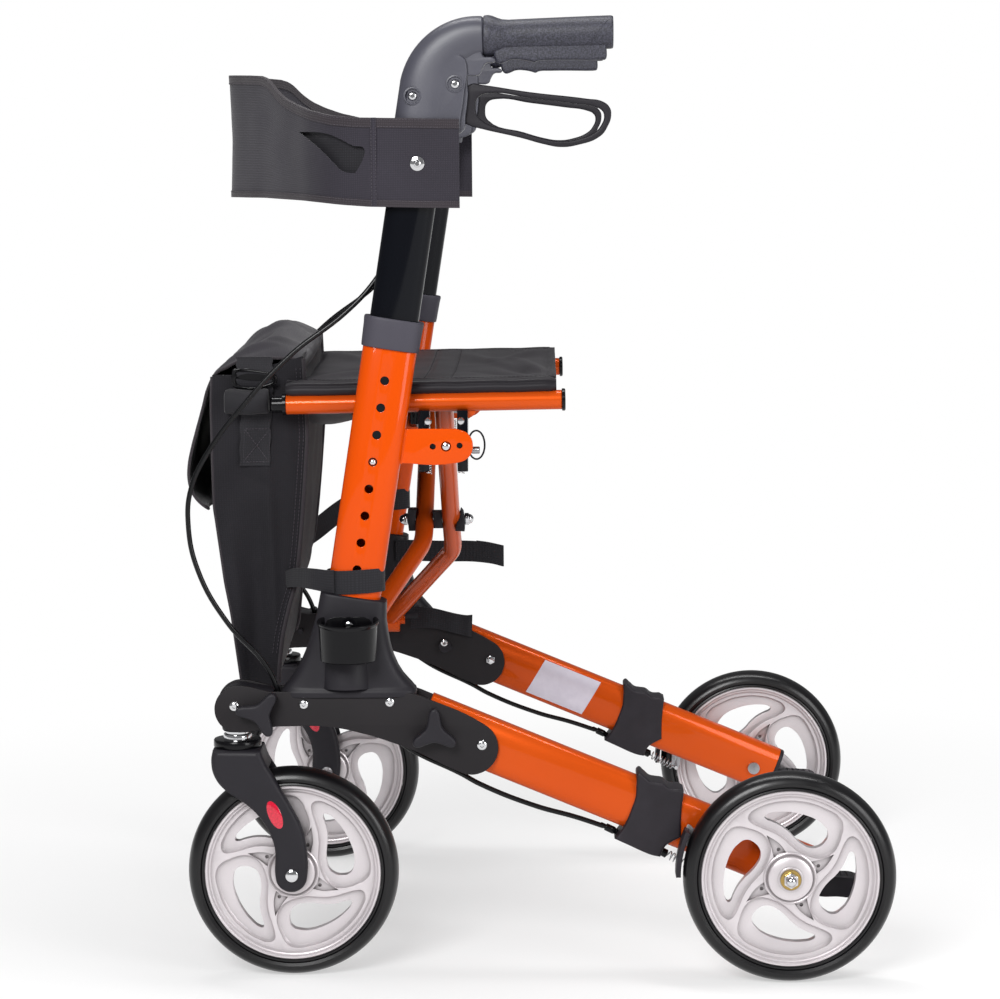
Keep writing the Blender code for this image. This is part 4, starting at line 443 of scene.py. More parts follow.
def surface(name, slot, tones, roughness, slow, gloss=None, fine=None, bump=None, scale=(1, 1, 1), **settings):
    """A material that stands in a slot. slow and fine are a noise's scale and detail, gloss is the least
    and most roughness, and bump its strength and its height in metres."""
    made, tree, sockets = shader_of(name, tones[0], roughness, **settings)
    SLOTS[name] = slot
    place = object_place(tree, scale)
    drift = add(tree, "ShaderNodeTexNoise", {"Scale": slow[0], "Detail": slow[1]}, Vector=place).outputs[0]
    if len(tones) > 1:
        add(tree, "ShaderNodeMix", {"data_type": "RGBA", 6: linear(tones[0]), 7: linear(tones[1])},
            to=(2, sockets["Base Color"]), Factor=drift)
    if gloss:
        add(tree, "ShaderNodeMapRange", {"To Min": gloss[0], "To Max": gloss[1]},
            to=(0, sockets["Roughness"]), Value=drift)
    if fine:
        grain = add(tree, "ShaderNodeTexNoise", {"Scale": fine[0], "Detail": fine[1]}, Vector=place).outputs[0]
    if bump:
        add(tree, "ShaderNodeBump", {"Strength": bump[0], "Distance": bump[1]},
            to=(0, sockets["Normal"]), Height=grain if fine else drift)
    return made


print("surfaces are made of two noises")

# %% [markdown]
# The tubes are aluminium with a bright orange stoved enamel. The uprights are a plain, full orange; the
# legs, braces and seat rails carry the same enamel over a metallic ground, so they look redder and
# turn dark towards their edges. A thin clear coat gives both their sharp highlight. A very fine bump,
# orange peel about 2 mm across, the coarsest that real enamel shows, keeps that highlight from being a
# perfect mirror line.

# %% Enamel
ENAMEL = {"slow": (9.0, 3.0), "fine": (500.0, 2.0), "bump": (0.04, 0.0004),
          "Coat_Weight": 0.3, "Coat_Roughness": 0.05, "Specular_IOR_Level": 0.04}
ORANGE = surface("orange stoved enamel", "orange_enamel", ("#d14a00", "#ca4400"), 0.34, **ENAMEL)
METALLIC_ORANGE = surface("metallic orange stoved enamel", "orange_enamel", ("#ca4f10", "#bf460c"), 0.30,
                          Metallic=0.22, **ENAMEL)
GLOSS_BLACK = surface("gloss black enamel", "black_enamel", ("#07090f", "#0a0b10"), 0.22, **ENAMEL)
print("enamels:", ORANGE.name, METALLIC_ORANGE.name, GLOSS_BLACK.name)

# %% [markdown]
# The caster forks, the feet of the uprights, the elbows and the levers are glass-filled nylon, moulded
# in dies with a fine spark-eroded grain. The grain is about half a millimetre; it scatters the lamps,
# so the black reads as a soft dark grey with a broad sheen. The side plates are steel with a matt
# black powder coat, whose grain is finer and flatter.

# %% Black plastics and powder coat
def grained(name, tones, roughness, grain_mm, depth, uneven=0.12, shine=0.25, slot="black_nylon"):
    """A moulded or powder-coated surface: fine grain bump, and slow drifts of roughness and tone."""
    return surface(name, slot, tones, roughness, (22.0, 4.0), (roughness - uneven / 2, roughness + uneven / 2),
                   (1000.0 / grain_mm, 1.0), (depth, grain_mm / 4000), Specular_IOR_Level=shine)


NYLON = grained("glass-filled black nylon", ("#1a181d", "#232126"), 0.48, 0.7, 0.35)
ELBOW = grained("grained grey-black nylon", ("#3c3c45", "#464650"), 0.42, 0.9, 0.45, shine=0.6)
POWDER = grained("black powder-coated steel", ("#161416", "#1e1a1d"), 0.52, 0.5, 0.25)
GLOSS_PLASTIC = grained("polished black plastic", ("#08080a", "#0d0c0f"), 0.2, 1.5, 0.04, 0.06, 0.22)
COLLAR_RUBBER = grained("grey elastomer", ("#3b3941", "#45434c"), 0.5, 0.9, 0.3, slot="grey_rubber")
THREAD = grained("polyester thread", ("#454146", "#57525a"), 0.7, 0.4, 0.3, slot="black_cloth")
print("plastics:", NYLON.name, ELBOW.name, POWDER.name)

# %% [markdown]
# The grips are foamed rubber, which shows a mottled skin: small paler cells a millimetre or two across
# on a dark ground. The tyres are solid polyurethane, black and shiny, lightly scuffed. The wheels are
# silver-painted nylon: nearly white where they face the lamps, with a fine metallic sparkle that the
# paint's flakes give. Painted shade darkens the colour in the pockets' corners, where the walls close in.

# %% Rubber, tyres and wheels
GRIP, tree, sockets = shader_of("foamed grip rubber", "#3a3b43", 0.6)
SLOTS[GRIP.name] = "grey_rubber"
cells = add(tree, "ShaderNodeTexNoise", {"Scale": 700.0, "Detail": 2.0, "Roughness": 0.6},
            Vector=object_place(tree)).outputs[0]
ramp = add(tree, "ShaderNodeValToRGB", to=(0, sockets["Base Color"]), Fac=cells).color_ramp.elements
ramp[0].position, ramp[0].color = 0.40, linear("#1f1f27")
ramp[1].position, ramp[1].color = 0.66, linear("#3e3e4b")
add(tree, "ShaderNodeBump", {"Strength": 0.3, "Distance": 0.0004}, to=(0, sockets["Normal"]), Height=cells)
add(tree, "ShaderNodeMapRange", {"To Min": 0.62, "To Max": 0.42}, to=(0, sockets["Roughness"]), Value=cells)

TYRE = surface("black polyurethane tyre", "tyre", ["#0d0c0e"], 0.3, (60.0, 5.0), (0.24, 0.42), bump=(0.06, 0.0005),
               Coat_Weight=0.1, Coat_Roughness=0.12, Specular_IOR_Level=0.35)

SILVER, tree, sockets = shader_of("silver-painted nylon", "#cfc9cb", 0.34, Metallic=0.55, Coat_Weight=0.15,
                                  Coat_Roughness=0.2)
SLOTS[SILVER.name] = "silver_plastic"
place = object_place(tree)
slow = add(tree, "ShaderNodeTexNoise", {"Scale": 30.0, "Detail": 3.0}, Vector=place)
paint = add(tree, "ShaderNodeMix", {"data_type": "RGBA", 6: linear("#dcd6d8"), 7: linear("#cec7ca")},
            Factor=slow.outputs[0])
# painted shade: the silver turns dark grey where ambient occlusion finds the pockets' walls close in
corner = add(tree, "ShaderNodeAmbientOcclusion", {"samples": 6, "Distance": 0.016})
add(tree, "ShaderNodeMix", {"data_type": "RGBA", 6: linear("#4a4444")}, to=(2, sockets["Base Color"]),
    Factor=corner.outputs["AO"], in_7=paint.outputs[2])
flake = add(tree, "ShaderNodeTexVoronoi", {"Scale": 1600.0}, Vector=place)
add(tree, "ShaderNodeMapRange", {"To Min": 0.26, "To Max": 0.46}, to=(0, sockets["Roughness"]),
    Value=flake.outputs["Distance"])
print("wheels:", TYRE.name, SILVER.name)

# %% [markdown]
# Bolts, nuts and pins are bright zinc or chrome. The rear axle's washer is yellow-passivated zinc, which
# looks like brass. Springs and the brake arm are duller zinc. All are full metals, told apart by
# colour, by how rough they are, and by fine streaks where they are brushed.

# %% Metals
METALS = [surface(name, "steel", [colour], roughness, (3.0, 4.0), (max(0.03, roughness - drift), roughness + drift),
                  scale=scale, Metallic=1.0)
          for name, colour, roughness, drift, scale in (
              ("bright chromed steel", "#d8d8da", 0.12, 0.06, (80, 80, 80)),
              ("dull zinc-plated steel", "#a9a9ac", 0.32, 0.14, (400, 400, 40)),
              ("yellow-passivated zinc", "#b79a5c", 0.28, 0.11, (400, 400, 40)))]
CHROME, ZINC, BRASS = METALS
print("metals:", CHROME.name, ZINC.name, BRASS.name)

# %% [markdown]
# The seat, the band and the bag are woven nylon: a plain weave of threads about half a millimetre wide
# that catches light on each crossing. Two wave patterns at right angles make the over and under of the
# threads, drawn at twice the real spacing so that it survives at this distance; they paint each crossing
# lighter and the hollows between darker, as painted light and shade. Nylon has a soft sheen at grazing
# angles, and creases show as slow changes of tone, painted lighter and darker by the noise that raises them.

# %% Cloth
def woven(name, colour, light, thread_mm, roughness=0.8, sheen=0.15, depth=0.5, folded=0.35):
    """A plain weave on the piece's own UV map, which is laid out in metres."""
    made, tree, sockets = shader_of(name, colour, roughness, Sheen_Weight=sheen, Sheen_Roughness=0.45,
                                    Specular_IOR_Level=0.25)
    SLOTS[name] = "black_cloth"
    at = add(tree, "ShaderNodeTexCoord")
    warp, weft = (add(tree, "ShaderNodeTexWave", {"bands_direction": way, "Scale": 1000 / (thread_mm * 2) / 3.1416},
                      Vector=at.outputs["UV"]).outputs[1] for way in "XY")
    over = add(tree, "ShaderNodeMath", {"operation": "MULTIPLY"}, in_0=warp, in_1=weft).outputs[0]
    slow = add(tree, "ShaderNodeTexNoise", {"Scale": 14.0, "Detail": 5.0, "Roughness": 0.6},
               Vector=object_place(tree)).outputs[0]
    # painted shade and light along the folds: the noise that raises the creases also mixes the tone
    tone = add(tree, "ShaderNodeMix", {"data_type": "RGBA", 6: linear(colour), 7: linear(light)}, Factor=slow)
    # painted light and shade: each crossing of the threads is painted lighter, the hollows between darker
    shade = add(tree, "ShaderNodeMapRange", {"To Min": 0.72, "To Max": 1.3}, Value=over).outputs[0]
    grey = add(tree, "ShaderNodeCombineColor", in_0=shade, in_1=shade, in_2=shade)
    add(tree, "ShaderNodeMix", {"data_type": "RGBA", "blend_type": "MULTIPLY", 0: 1.0},
        to=(2, sockets["Base Color"]), in_6=tone.outputs[2], in_7=grey.outputs[0])
    folds = add(tree, "ShaderNodeMath", {"operation": "MULTIPLY", 1: folded}, in_0=slow)
    height = add(tree, "ShaderNodeMath", {"operation": "MULTIPLY_ADD", 1: 0.25}, in_0=over, in_2=folds.outputs[0])
    add(tree, "ShaderNodeBump", {"Strength": depth, "Distance": 0.0012}, to=(0, sockets["Normal"]),
        Height=height.outputs[0])
    return made


BAG_CLOTH = woven("black woven bag nylon", "#141317", "#1e1c22", 1.0, 0.78, 0.12)
FLAP_CLOTH = woven("black flap nylon", "#242127", "#2f2c33", 1.0)
SEAT_CLOTH = woven("coated black seat nylon", "#1a171c", "#252127", 0.9, 0.50, 0.05, 0.3, 0.5)
BAND_CLOTH = woven("black band nylon", "#2a272e", "#34313a", 1.0, depth=0.4, folded=0.15)
WEBBING = woven("black polypropylene webbing", "#1b1a1e", "#252429", 1.2, 0.7, 0.1, 0.5, 0.1)
BINDING = woven("brownish black binding tape", "#312c31", "#3c373b", 1.2, depth=0.6, folded=0.1)
print("cloths:", BAG_CLOTH.name, SEAT_CLOTH.name, BAND_CLOTH.name, WEBBING.name)

# %% [markdown]
# Each wheel is a moulded nylon star in a solid tyre. The tyre is one outline spun about the axle: a
# round tread, a shoulder, and a thin bead line where it meets the rim. The CAD tyre has flat facets,
# so this one is spun in many more steps and stands exactly on the floor.

# %% Tyres
WHEEL_R, FRONT_X, REAR_X = 0.1, -0.226, 0.242
FRONT_Y, REAR_Y = 0.245, 0.28
RIM_R, HALF_TYRE = 0.0837, 0.016


def both_faces(outline):
    """An outline of (radius, height) that goes on, mirrored, over the other face."""
    return outline + [(r, -h) for r, h in reversed(outline)]


outline = [(RIM_R + out, HALF_TYRE - down) for out, down in mm([
    (0.2, 4), (0.3, 1.6), (1.2, 0.8), (2.4, 1.2), (3.1, 2.2), (3.8, 1), (6.6, 0), (9.8, 0.9), (12.8, 3.6), (15, 7.8),
    (16, 12)])] + [(WHEEL_R, HALF_TYRE - 0.0155)]
tyre = spun("tyre_skin", both_faces(outline), (0, 0, 0), steps=128, closed=True)
print("a tyre has", len(tyre.data.polygons), "faces")

# %% [markdown]
# The wheel's star has four swirled windows, each in a wide pocket with sloping walls. All four wheels
# come from the same mould, and both faces are alike, so the right side's wheels aren't mirror images:
# they are the same star turned half round, and their swirls run the other way when seen from the left.
# Each outline is a list of distances from the axle and angles from the window's round end.

# %% Swirl outlines
WINDOWS = 4
WINDOW = [
    (0.0582, -4.0), (0.0543, -13.2), (0.0462, -16.8), (0.0382, -15.0), (0.0333, -6.5), (0.0329, 7.0),
    (0.0362, 19.5), (0.043, 30.0), (0.05, 39.0), (0.0558, 46.3), (0.0596, 50.2), (0.0622, 50.6), (0.0638, 47.2),
    (0.0634, 40.0), (0.0618, 27.0), (0.0605, 14.0), (0.0597, 4.0),
]
POCKET = [
    (0.0733, -12.0), (0.069, -17.8), (0.062, -22.5), (0.054, -27.8), (0.0465, -31.5), (0.039, -32.0), (0.0325, -28.0),
    (0.0276, -17.0), (0.0256, -2.0), (0.0263, 14.0), (0.0305, 27.0), (0.0382, 39.0), (0.0465, 49.0), (0.0545, 57.2),
    (0.062, 62.0), (0.068, 63.2), (0.0722, 60.0), (0.0737, 52.0), (0.0737, 36.0), (0.0737, 20.0), (0.0737, 4.0),
]
CORNER = [(0.024, 36.0, True), (0.0256, 51.0), (0.0245, 67.0, True), (0.034, 59.5), (0.0465, 56.6, True),
          (0.0345, 45.5)]


def laid(outline, turn):
    """An outline about the axle as points in X and Z, turned by an angle."""
    points = []
    for radius, angle, *corner in outline:
        place = turn + math.radians(angle)
        points.append((radius * math.cos(place), radius * math.sin(place), *corner))
    return points


print("window", len(WINDOW), "pocket", len(POCKET), "corner", len(CORNER), "handles")

# %% [markdown]
# The star starts as a turned disc. The pockets are cut from both faces, then the windows go right
# through, and each corner between two swirls gets its small pocket with a hole in it. A sloping wall
# needs a cutter that narrows with depth, which is the outline cut with a wide bevel. Booleans are the
# safe way here, since each cutter is a closed solid.

# %% Wheel star
FACE, FLOOR = 0.0094, 0.0048


def cut_both_faces(piece, outline, deep, edge, detail=4):
    """Cuts one outline into both faces of the wheel, with walls that slope by the width of edge."""
    for y in (-FACE - 0.0001, FACE + 0.0001):
        carve(piece, outline_plate("cutter", [outline], deep, y, edge=edge, rounds=0, detail=detail))


star = spun("wheel_star", both_faces([(0, FACE), (0.056, FACE), (0.0765, FACE), (0.0772, FACE - 0.0008)]),
            (0, 0, 0))
for count in range(WINDOWS):
    turn = math.tau * count / WINDOWS
    cut_both_faces(star, laid(POCKET, turn), 2 * (FACE - FLOOR), 0.0022)
    cut_both_faces(star, laid(CORNER, turn), 0.0072, 0.0008)
    hole = arc_points(laid([(0.0285, 50)], turn)[0], 0.0018, 0, 315, 8)
    cut_both_faces(star, hole, 0.013, 0.0001, 2)
    carve(star, outline_plate("cutter", [laid(WINDOW, turn)], 0.04, 0, edge=0.0002, rounds=0))
round_edges(star, 0.0005, 2, 30)
print("the star has", len(star.data.polygons), "faces")

# %% [markdown]
# The rim has a stepped lip outside the star's face, and the hub a raised boss with a ring groove round
# it. Both are turned, with the same outline on either side. Then the four wheels are set out: each is
# a copy turned about its axle to where it stood when it stopped, and the right ones are turned round.

# %% Rim, hub and the four wheels
outline = [(RIM_R - inward, height) for inward, height in mm([
    (0, 13.8), (0.8, 14.6), (2.2, 14.8), (3, 14.2), (4, 12.2), (5.2, 11.8), (6.4, 10), (7.8, 9)])]
rim = spun("wheel_rim", both_faces(outline), (0, 0, 0), steps=128, closed=True)
hub = spun("wheel_hub", both_faces(mm([
    (5.4, 16.5), (11.2, 16.5), (11.8, 16.1), (11.8, 15.2), (19, 14.6), (20.6, 13.6), (21.2, 10.6), (21.6, 10),
    (22.2, 10.4), (23.6, 11), (24.6, 10.4), (25, 9)])), (0, 0, 0), steps=72, closed=True)

TURNS = {"left_front": 281, "left_rear": 242, "right_front": 175, "right_rear": 150}
for key, turn in TURNS.items():
    side, end = key.split("_")
    x, y = (FRONT_X, FRONT_Y) if end == "front" else (REAR_X, REAR_Y)
    about, round_half = Matrix.Rotation(-math.radians(turn), 4, "Y"), Matrix.Rotation(math.pi, 4, "Z")
    here = Matrix.Translation((x, -y, WHEEL_R)) if side == "left" else Matrix.Translation((x, y, WHEEL_R)) @ round_half
    body = key + "_wheel"
    for pattern, name, material, stands_for in (
            (tyre, key + "_tyre_skin", TYRE, [key + "_tyre"]), (star, body + "_star", SILVER, [body]),
            (rim, body + "_rim", SILVER, ()), (hub, body + "_hub", SILVER, ())):
        finish(copied(pattern, name, here, about), material, body, stands_for, 30)
for pattern in (tyre, star, rim, hub):
    bpy.data.objects.remove(pattern, do_unlink=True)
print("four wheels set out at turns", TURNS)

# %% [markdown]
# Each upright is a flat-sided oval tube that leans back nine degrees, with a row of height holes in its
# outer face. A ring laid square to the tube's own axis is extruded from foot to top. The holes are cut
# by short pins, and the bevel gives each its thin pale rim, where the enamel is rounded over.

# %% Upright
SIDE_Y = -0.245
LEAN = math.radians(9)
LEAN_TURN = Matrix.Rotation(LEAN, 3, "Y")
RISE = Vector((math.sin(LEAN), 0, math.cos(LEAN)))


def post_x(z):
    """Where the upright's centre line lies at a height."""
    return -0.129 + (z - 0.594) * math.tan(LEAN)


def post_ring(z, width, depth, lift=0.0, power=0.72, sides=56):
    """A ring about the upright's centre line at a height, or lifted along it by some distance."""
    middle = Vector((post_x(z), SIDE_Y, z)) + RISE * lift
    return across(oval(width, depth, sides, power), middle, LEAN_TURN)


def pin(name, radius, start, end, sides=24):
    """A short round pin between two points, made from a cylinder."""
    first, last = Vector(start), Vector(end)
    along = last - first
    return set_down(started(name, ops.mesh.primitive_cone_add, vertices=sides, radius1=radius, radius2=radius,
                            depth=along.length, location=(first + last) / 2,
                            rotation=along.to_track_quat("Z", "Y").to_euler()))


HOLE_Z = [0.4904 + (3 - n) * 0.0256 * math.cos(LEAN) for n in range(8)]
upright = lofted("upright_tube", [post_ring(0.293, 0.0506, 0.03), post_ring(0.615, 0.0506, 0.03)])
carve(upright, lofted("bore", [post_ring(z, 0.047, 0.0264) for z in (0.29, 0.618)]))
for z in HOLE_Z:
    carve(upright, pin("hole", 0.0041, (post_x(z), -0.264, z), (post_x(z), -0.255, z)))
round_edges(upright, 0.0007, 2, 50)
print("height holes at", [round(z, 4) for z in HOLE_Z])

# %% [markdown]
# A bracket is welded to the upright's rear edge: a flat tab with a round end, two small holes and a big
# rivet. Behind it hangs the saddle in which the seat rail rests. Both are cut from thin plate, so each
# is an outline with a small bevel. The weld is a low bead down the joint.

# %% Bracket and saddle
tab = outline_plate("bracket_tab", [mm([
    (-68.2, 487.7), (-56.9, 492.4), (-52.2, 503.7), (-56.9, 515), (-68.2, 519.7, True), (-119, 520, True),
    (-124, 488, True)])], 0.005, SIDE_Y, edge=0.0009)
for x, z, radius in mm([(-89.8, 503.3, 2.9), (-64.7, 504.1, 2.9), (-77.4, 503.4, 4.8)]):
    carve(tab, pin("hole", radius, (x, SIDE_Y - 0.01, z), (x, SIDE_Y + 0.01, z)))
weld = pin("weld", 0.0022, (post_x(0.5197) + 0.0256, SIDE_Y, 0.52), (post_x(0.4877) + 0.0256, SIDE_Y, 0.4875), 16)
for turn in (Matrix.Translation((0, -SIDE_Y, 0)), Matrix.Scale(1.6, 4, (0, 1, 0)), Matrix.Translation((0, SIDE_Y, 0))):
    weld.matrix_world = turn @ weld.matrix_world
set_down(weld)


def end_plate(name, outline, thickness, x):
    """A plate cut in Y and Z that stands across the frame at x."""
    made = outline_plate(name, [outline], thickness, 0, edge=0.0006, rounds=1, smooth=False)
    made.rotation_euler, made.location = (0, 0, math.radians(90)), (x, 0, 0)
    return set_down(made)


def saddle(side):
    """The saddle of one side: a web behind the tab and two cheeks that reach in under the rail."""
    way = -1 if side == "left" else 1
    first, last = (-0.0985, -0.0622) if side == "left" else (-0.1253, -0.0897)
    face = 0.245 - 0.0025
    pieces = []
    for x in (first, last):
        cheek = [(face - 0.001, 0.488), (face - 0.011, 0.478), (face - 0.023, 0.482), (face - 0.04, 0.5217),
                 (face - 0.04, 0.5357), (face - 0.011, 0.5357), (face - 0.001, 0.5167)]
        pieces.append(end_plate(side + "_cheek", [(way * y, z) for y, z in cheek], 0.01, x))
    corners = [(x, z, True) for x, z in (
        (first - 0.005, 0.4897), (last + 0.005, 0.4897), (last + 0.005, 0.5177), (first - 0.005, 0.5177))]
    web = outline_plate(side + "_saddle", [corners], 0.0044, way * (face - 0.0018), edge=0.0006)
    carve(web, *pieces, way="UNION")
    return carve(web, pin("pin_hole", 0.0037, (first - 0.01, way * 0.2195, 0.497), (last + 0.01, way * 0.2195, 0.497)))


carve(upright, tab, weld, way="UNION")
both_sides(upright, ORANGE, "frame", ["upright"], 30)
for side in ("left", "right"):
    finish(saddle(side), GLOSS_BLACK, side + "_frame", angle=30)
print("upright has", len(upright.data.polygons), "faces")

# %% [markdown]
# The upright's foot is a moulded tower that flares out over the side plates like a skirt and ends in a
# rounded lip. A ring for a drinking cup or a cane stands out on its outer face, with a front lip that
# hangs lower and a small back panel. The flare is a loft of rounded rectangles, each a little wider
# than the one above; the ring is turned, and its front is then drawn down.

# %% Base tower
TOWER_FACE = SIDE_Y - 0.0192
TOWER_RINGS = mm([  # height, front, rear and half depth
    (268.6, -233.6, -108.2, 20.8), (269.2, -234.4, -107.4, 21.6), (272.8, -234.8, -107, 22),
    (275.2, -234, -107.8, 21.5), (276.2, -233, -109, 20.5), (279, -231.2, -111.2, 20.1), (284, -226.2, -115, 19.9),
    (290.5, -221, -120, 19.7), (298.5, -216.3, -124.5, 19.5), (309, -211.4, -128.7, 19.4), (320, -207.4, -131.6, 19.3),
    (332, -203.4, -133.6, 19.3), (345, -199.9, -135.2, 19.2), (360.4, -196.8, -134.6, 19),
    (362.6, -196.4, -134.7, 18.6), (363.4, -194.8, -136.2, 17.4)])
TILTS = (0, 0, 0, 0, 0, 0, 0.1, 0.2, 0.3, 0.45, 0.6, 0.75, 0.9, 1, 1, 1)  # how far each ring slants with the tube
rings = [[((front + rear) / 2 + a, SIDE_Y + b, z - tilt * a * math.tan(LEAN))
          for a, b in oval(rear - front, 2 * half, 56, 0.42)]
         for (z, front, rear, half), tilt in zip(TOWER_RINGS, TILTS)]
tower = lofted("tower_body", rings)
bulge = spun("bulge", mm([(0, 277.5), (26.2, 277.5), (25.6, 284), (24.6, 303), (20, 305), (0, 305)]),
             (-0.1725, SIDE_Y - 0.0045, 0), axis=(0, 0, 1), steps=48)
carve(tower, bulge, way="UNION")
round_edges(tower, 0.0016, 2, 40)
cup = spun("cup_ring", mm([
    (0, 303.5), (25, 303.5), (26.2, 304.5), (27.6, 338.5), (29, 340), (29.2, 341.8), (28.4, 342.7), (27, 342.4),
    (26.2, 341.2), (24.6, 307.5), (24, 306.6), (0, 306.6)]), (-0.1695, TOWER_FACE - 0.0125, 0.0025), axis=(0, 0, 1))
# the cup's front lip hangs lower, and a flat back closes it against the tower
for point in cup.data.vertices:
    if point.co.z > 0.32:
        point.co.z -= 0.09 * max(0, TOWER_FACE - point.co.y)
back = outline_plate("cup_back", [mm([
    (-190.5, 308, True), (-148.5, 308, True), (-148, 340), (-152, 344), (-169.5, 345), (-187, 344), (-191, 340)])],
    0.0014, SIDE_Y - 0.0197, edge=0.0003)
both_sides(back, GLOSS_PLASTIC, "frame", angle=40)
both_sides(tower, NYLON, "frame", ["base_tower"], 40)
both_sides(cup, GLOSS_PLASTIC, "frame", angle=40)
print("tower has", len(tower.data.polygons), "faces")

# %% [markdown]
# A grey collar closes the upright's top, and the black handle tube slides through it. The collar is
# flared a little upwards and rounds over into its throat. The same rings serve: out and up, then in
# and down. The handle tube is a plain oval, and its gloss comes from its enamel.

# %% Collar and handle tube
foot = 0.615 - 0.02 * math.cos(LEAN)
collar = lofted("collar_sleeve", [post_ring(foot, width, depth, lift) for lift, width, depth in mm([
    (0, 53.2, 34), (0.5, 54.1, 35), (4, 54.6, 35.4), (21.5, 55.6, 36), (26.2, 56.4, 36), (27.7, 56.1, 35.7),
    (28.5, 54.8, 34.4), (28.5, 50.8, 30.2), (27.8, 49, 28.4), (24, 48, 27.4)])])
both_sides(collar, COLLAR_RUBBER, "frame", ["collar"], 40)
handle = lofted("handle_oval", [post_ring(z, 0.0458, 0.0252, 0, 0.8) for z in (0.469, 0.63, 0.815)])
both_sides(handle, GLOSS_BLACK, "handle", ["handle_tube"], 40)
button = spun("button_dome", mm([(0, 16.8), (1.8, 16.5), (2.9, 15.5), (3.2, 14), (3.2, 9), (0, 9)]),
              (post_x(0.4904), SIDE_Y, 0.4904), steps=32)
both_sides(button, CHROME, "button", ["snap_button"], 40)
print("collar has", len(collar.data.polygons), "faces")

# %% [markdown]
# The rear leg is the same oval tube, sloping down to the rear axle. Its end is shut by a black plug with
# a tipping pedal, a step for the foot of whoever pushes. The pedal has a curved outline with a grooved
# tread, so it is cut from thick plate and its edges are well rounded.

# %% Rear leg
SLOPE = math.radians(22.6)
LEG_TURN = Matrix.Rotation(math.radians(90) + SLOPE, 3, "Y")
LEG_END = 0.242 + 0.023 * math.cos(SLOPE)


def leg_z(x):
    """Height of the rear leg's centre line."""
    return 0.1035 - (x - 0.242) * math.tan(SLOPE)


def leg_ring(x, width, depth):
    """A ring about the rear leg's centre line."""
    return across(oval(width, depth), (x, SIDE_Y, leg_z(x)), LEG_TURN)


leg = lofted("leg_tube", [leg_ring(x, 0.0506, 0.03) for x in (-0.101, 0.06, LEG_END)])
round_edges(leg, 0.0006, 2, 50)
both_sides(leg, METALLIC_ORANGE, "frame", ["rear_leg"], 30)
plug = lofted("leg_plug", [leg_ring(LEG_END + x * math.cos(SLOPE), w, d) for x, w, d in mm([
    (0.2, 49, 28.4), (0.3, 50, 29.6), (3, 50, 29.6), (4, 48.8, 28.4)])])
pedal = outline_plate("pedal_step", [[(LEG_END + x, z) for x, z in mm([
    (-1, 99), (4, 98.5), (14, 95.5), (30, 93.8), (42, 92.5), (47.5, 89), (47.8, 77), (43, 73.8), (25, 74), (8, 74.5),
    (-1, 78)])]], 0.027, SIDE_Y, edge=0.0022)
for x in (0.017, 0.023, 0.029, 0.035, 0.041):
    at, z = LEG_END + x, 0.0952 - x * 0.05
    carve(pedal, pin("groove", 0.001, (at, SIDE_Y - 0.011, z), (at, SIDE_Y + 0.011, z), 12))
both_sides(plug, NYLON, "frame", ["leg_end_cap"], 40)
both_sides(pedal, NYLON, "frame")
print("leg ends at", round(LEG_END, 4))

# %% [markdown]
# The handle's elbow is one nylon moulding: an oval that follows the tube, then bends through a quarter
# turn to the grip and grows slimmer on the way. Each ring of the loft is laid square to the bend's own
# path. Its flat cheeks carry two screws in round recesses, and a lug under the bend holds the lever.

# %% Elbow
BEND = math.radians(81)
GRIP_Z, GRIP_X = 0.883, -0.0395
REACH = (GRIP_X - post_x(GRIP_Z)) / (math.sin(BEND) - (1 - math.cos(BEND)) * math.tan(LEAN))
BEND_Z = GRIP_Z - REACH * (1 - math.cos(BEND))


def bend_ring(share, less=0.0):
    """A ring at a share of the bend; less draws it in all round."""
    heading = BEND * (1 - share)
    middle = Vector((post_x(BEND_Z), SIDE_Y, BEND_Z)) + REACH * Vector((
        math.sin(BEND) - math.sin(heading), 0, math.cos(heading) - math.cos(BEND)))
    over = Vector((math.sin(heading), 0, -math.cos(heading)))
    section = oval(0.053 - 0.0165 * share - less, 0.038 - 0.002 * share - less, 56, 0.8)
    return [middle + over * a + Vector((0, b, 0)) for a, b in section]


rings = [post_ring(0.788, 0.0505, 0.0355, 0, 0.8), post_ring(0.7884, 0.052, 0.037, 0, 0.8)]
rings += [post_ring(z, 0.053, 0.038, 0, 0.8) for z in (0.79, 0.815)]
rings += [bend_ring(number / 20) for number in range(20)] + [bend_ring(0.985), bend_ring(1.0, 0.0022)]
elbow = lofted("elbow_bend", rings)
cheek = outline_plate("cheek", [mm([
    (-95, 793, True), (-64, 793), (-60.6, 807.7), (-56.8, 832), (-54.5, 856), (-58, 864), (-72, 866),
    (-95, 856, True)])], 0.035, SIDE_Y, edge=0.0014)
lug = outline_plate("lug", [mm([
    (-90, 795, True), (-60, 795), (-55.8, 812), (-53.5, 830, True), (-54.5, 847, True), (-43, 848),
    (-40.5, 853), (-37, 858), (-28.5, 860.2), (-29, 862.2), (-39.2, 864, True), (-45, 875, True),
    (-90, 860, True)])], 0.0262, SIDE_Y, edge=0.0014)
carve(elbow, cheek, lug, way="UNION")
ELBOW_SCREWS = ((-0.1046, 0.8286), (-0.0655, 0.8393))
for x, z in ELBOW_SCREWS:
    carve(elbow, pin("recess", 0.0066, (x, -0.27, z), (x, -0.2612, z), 40))
both_sides(elbow, ELBOW, "handle", ["elbow_housing"], 32)
print("elbow has", len(elbow.data.polygons), "faces")

# %% [markdown]
# A screw's head is what the eye meets, so each is turned from an outline: a low dome with a dark
# hexagonal socket. The same head serves all over the frame in several sizes. In the elbow it sits in
# the recess inside a thin raised ring.

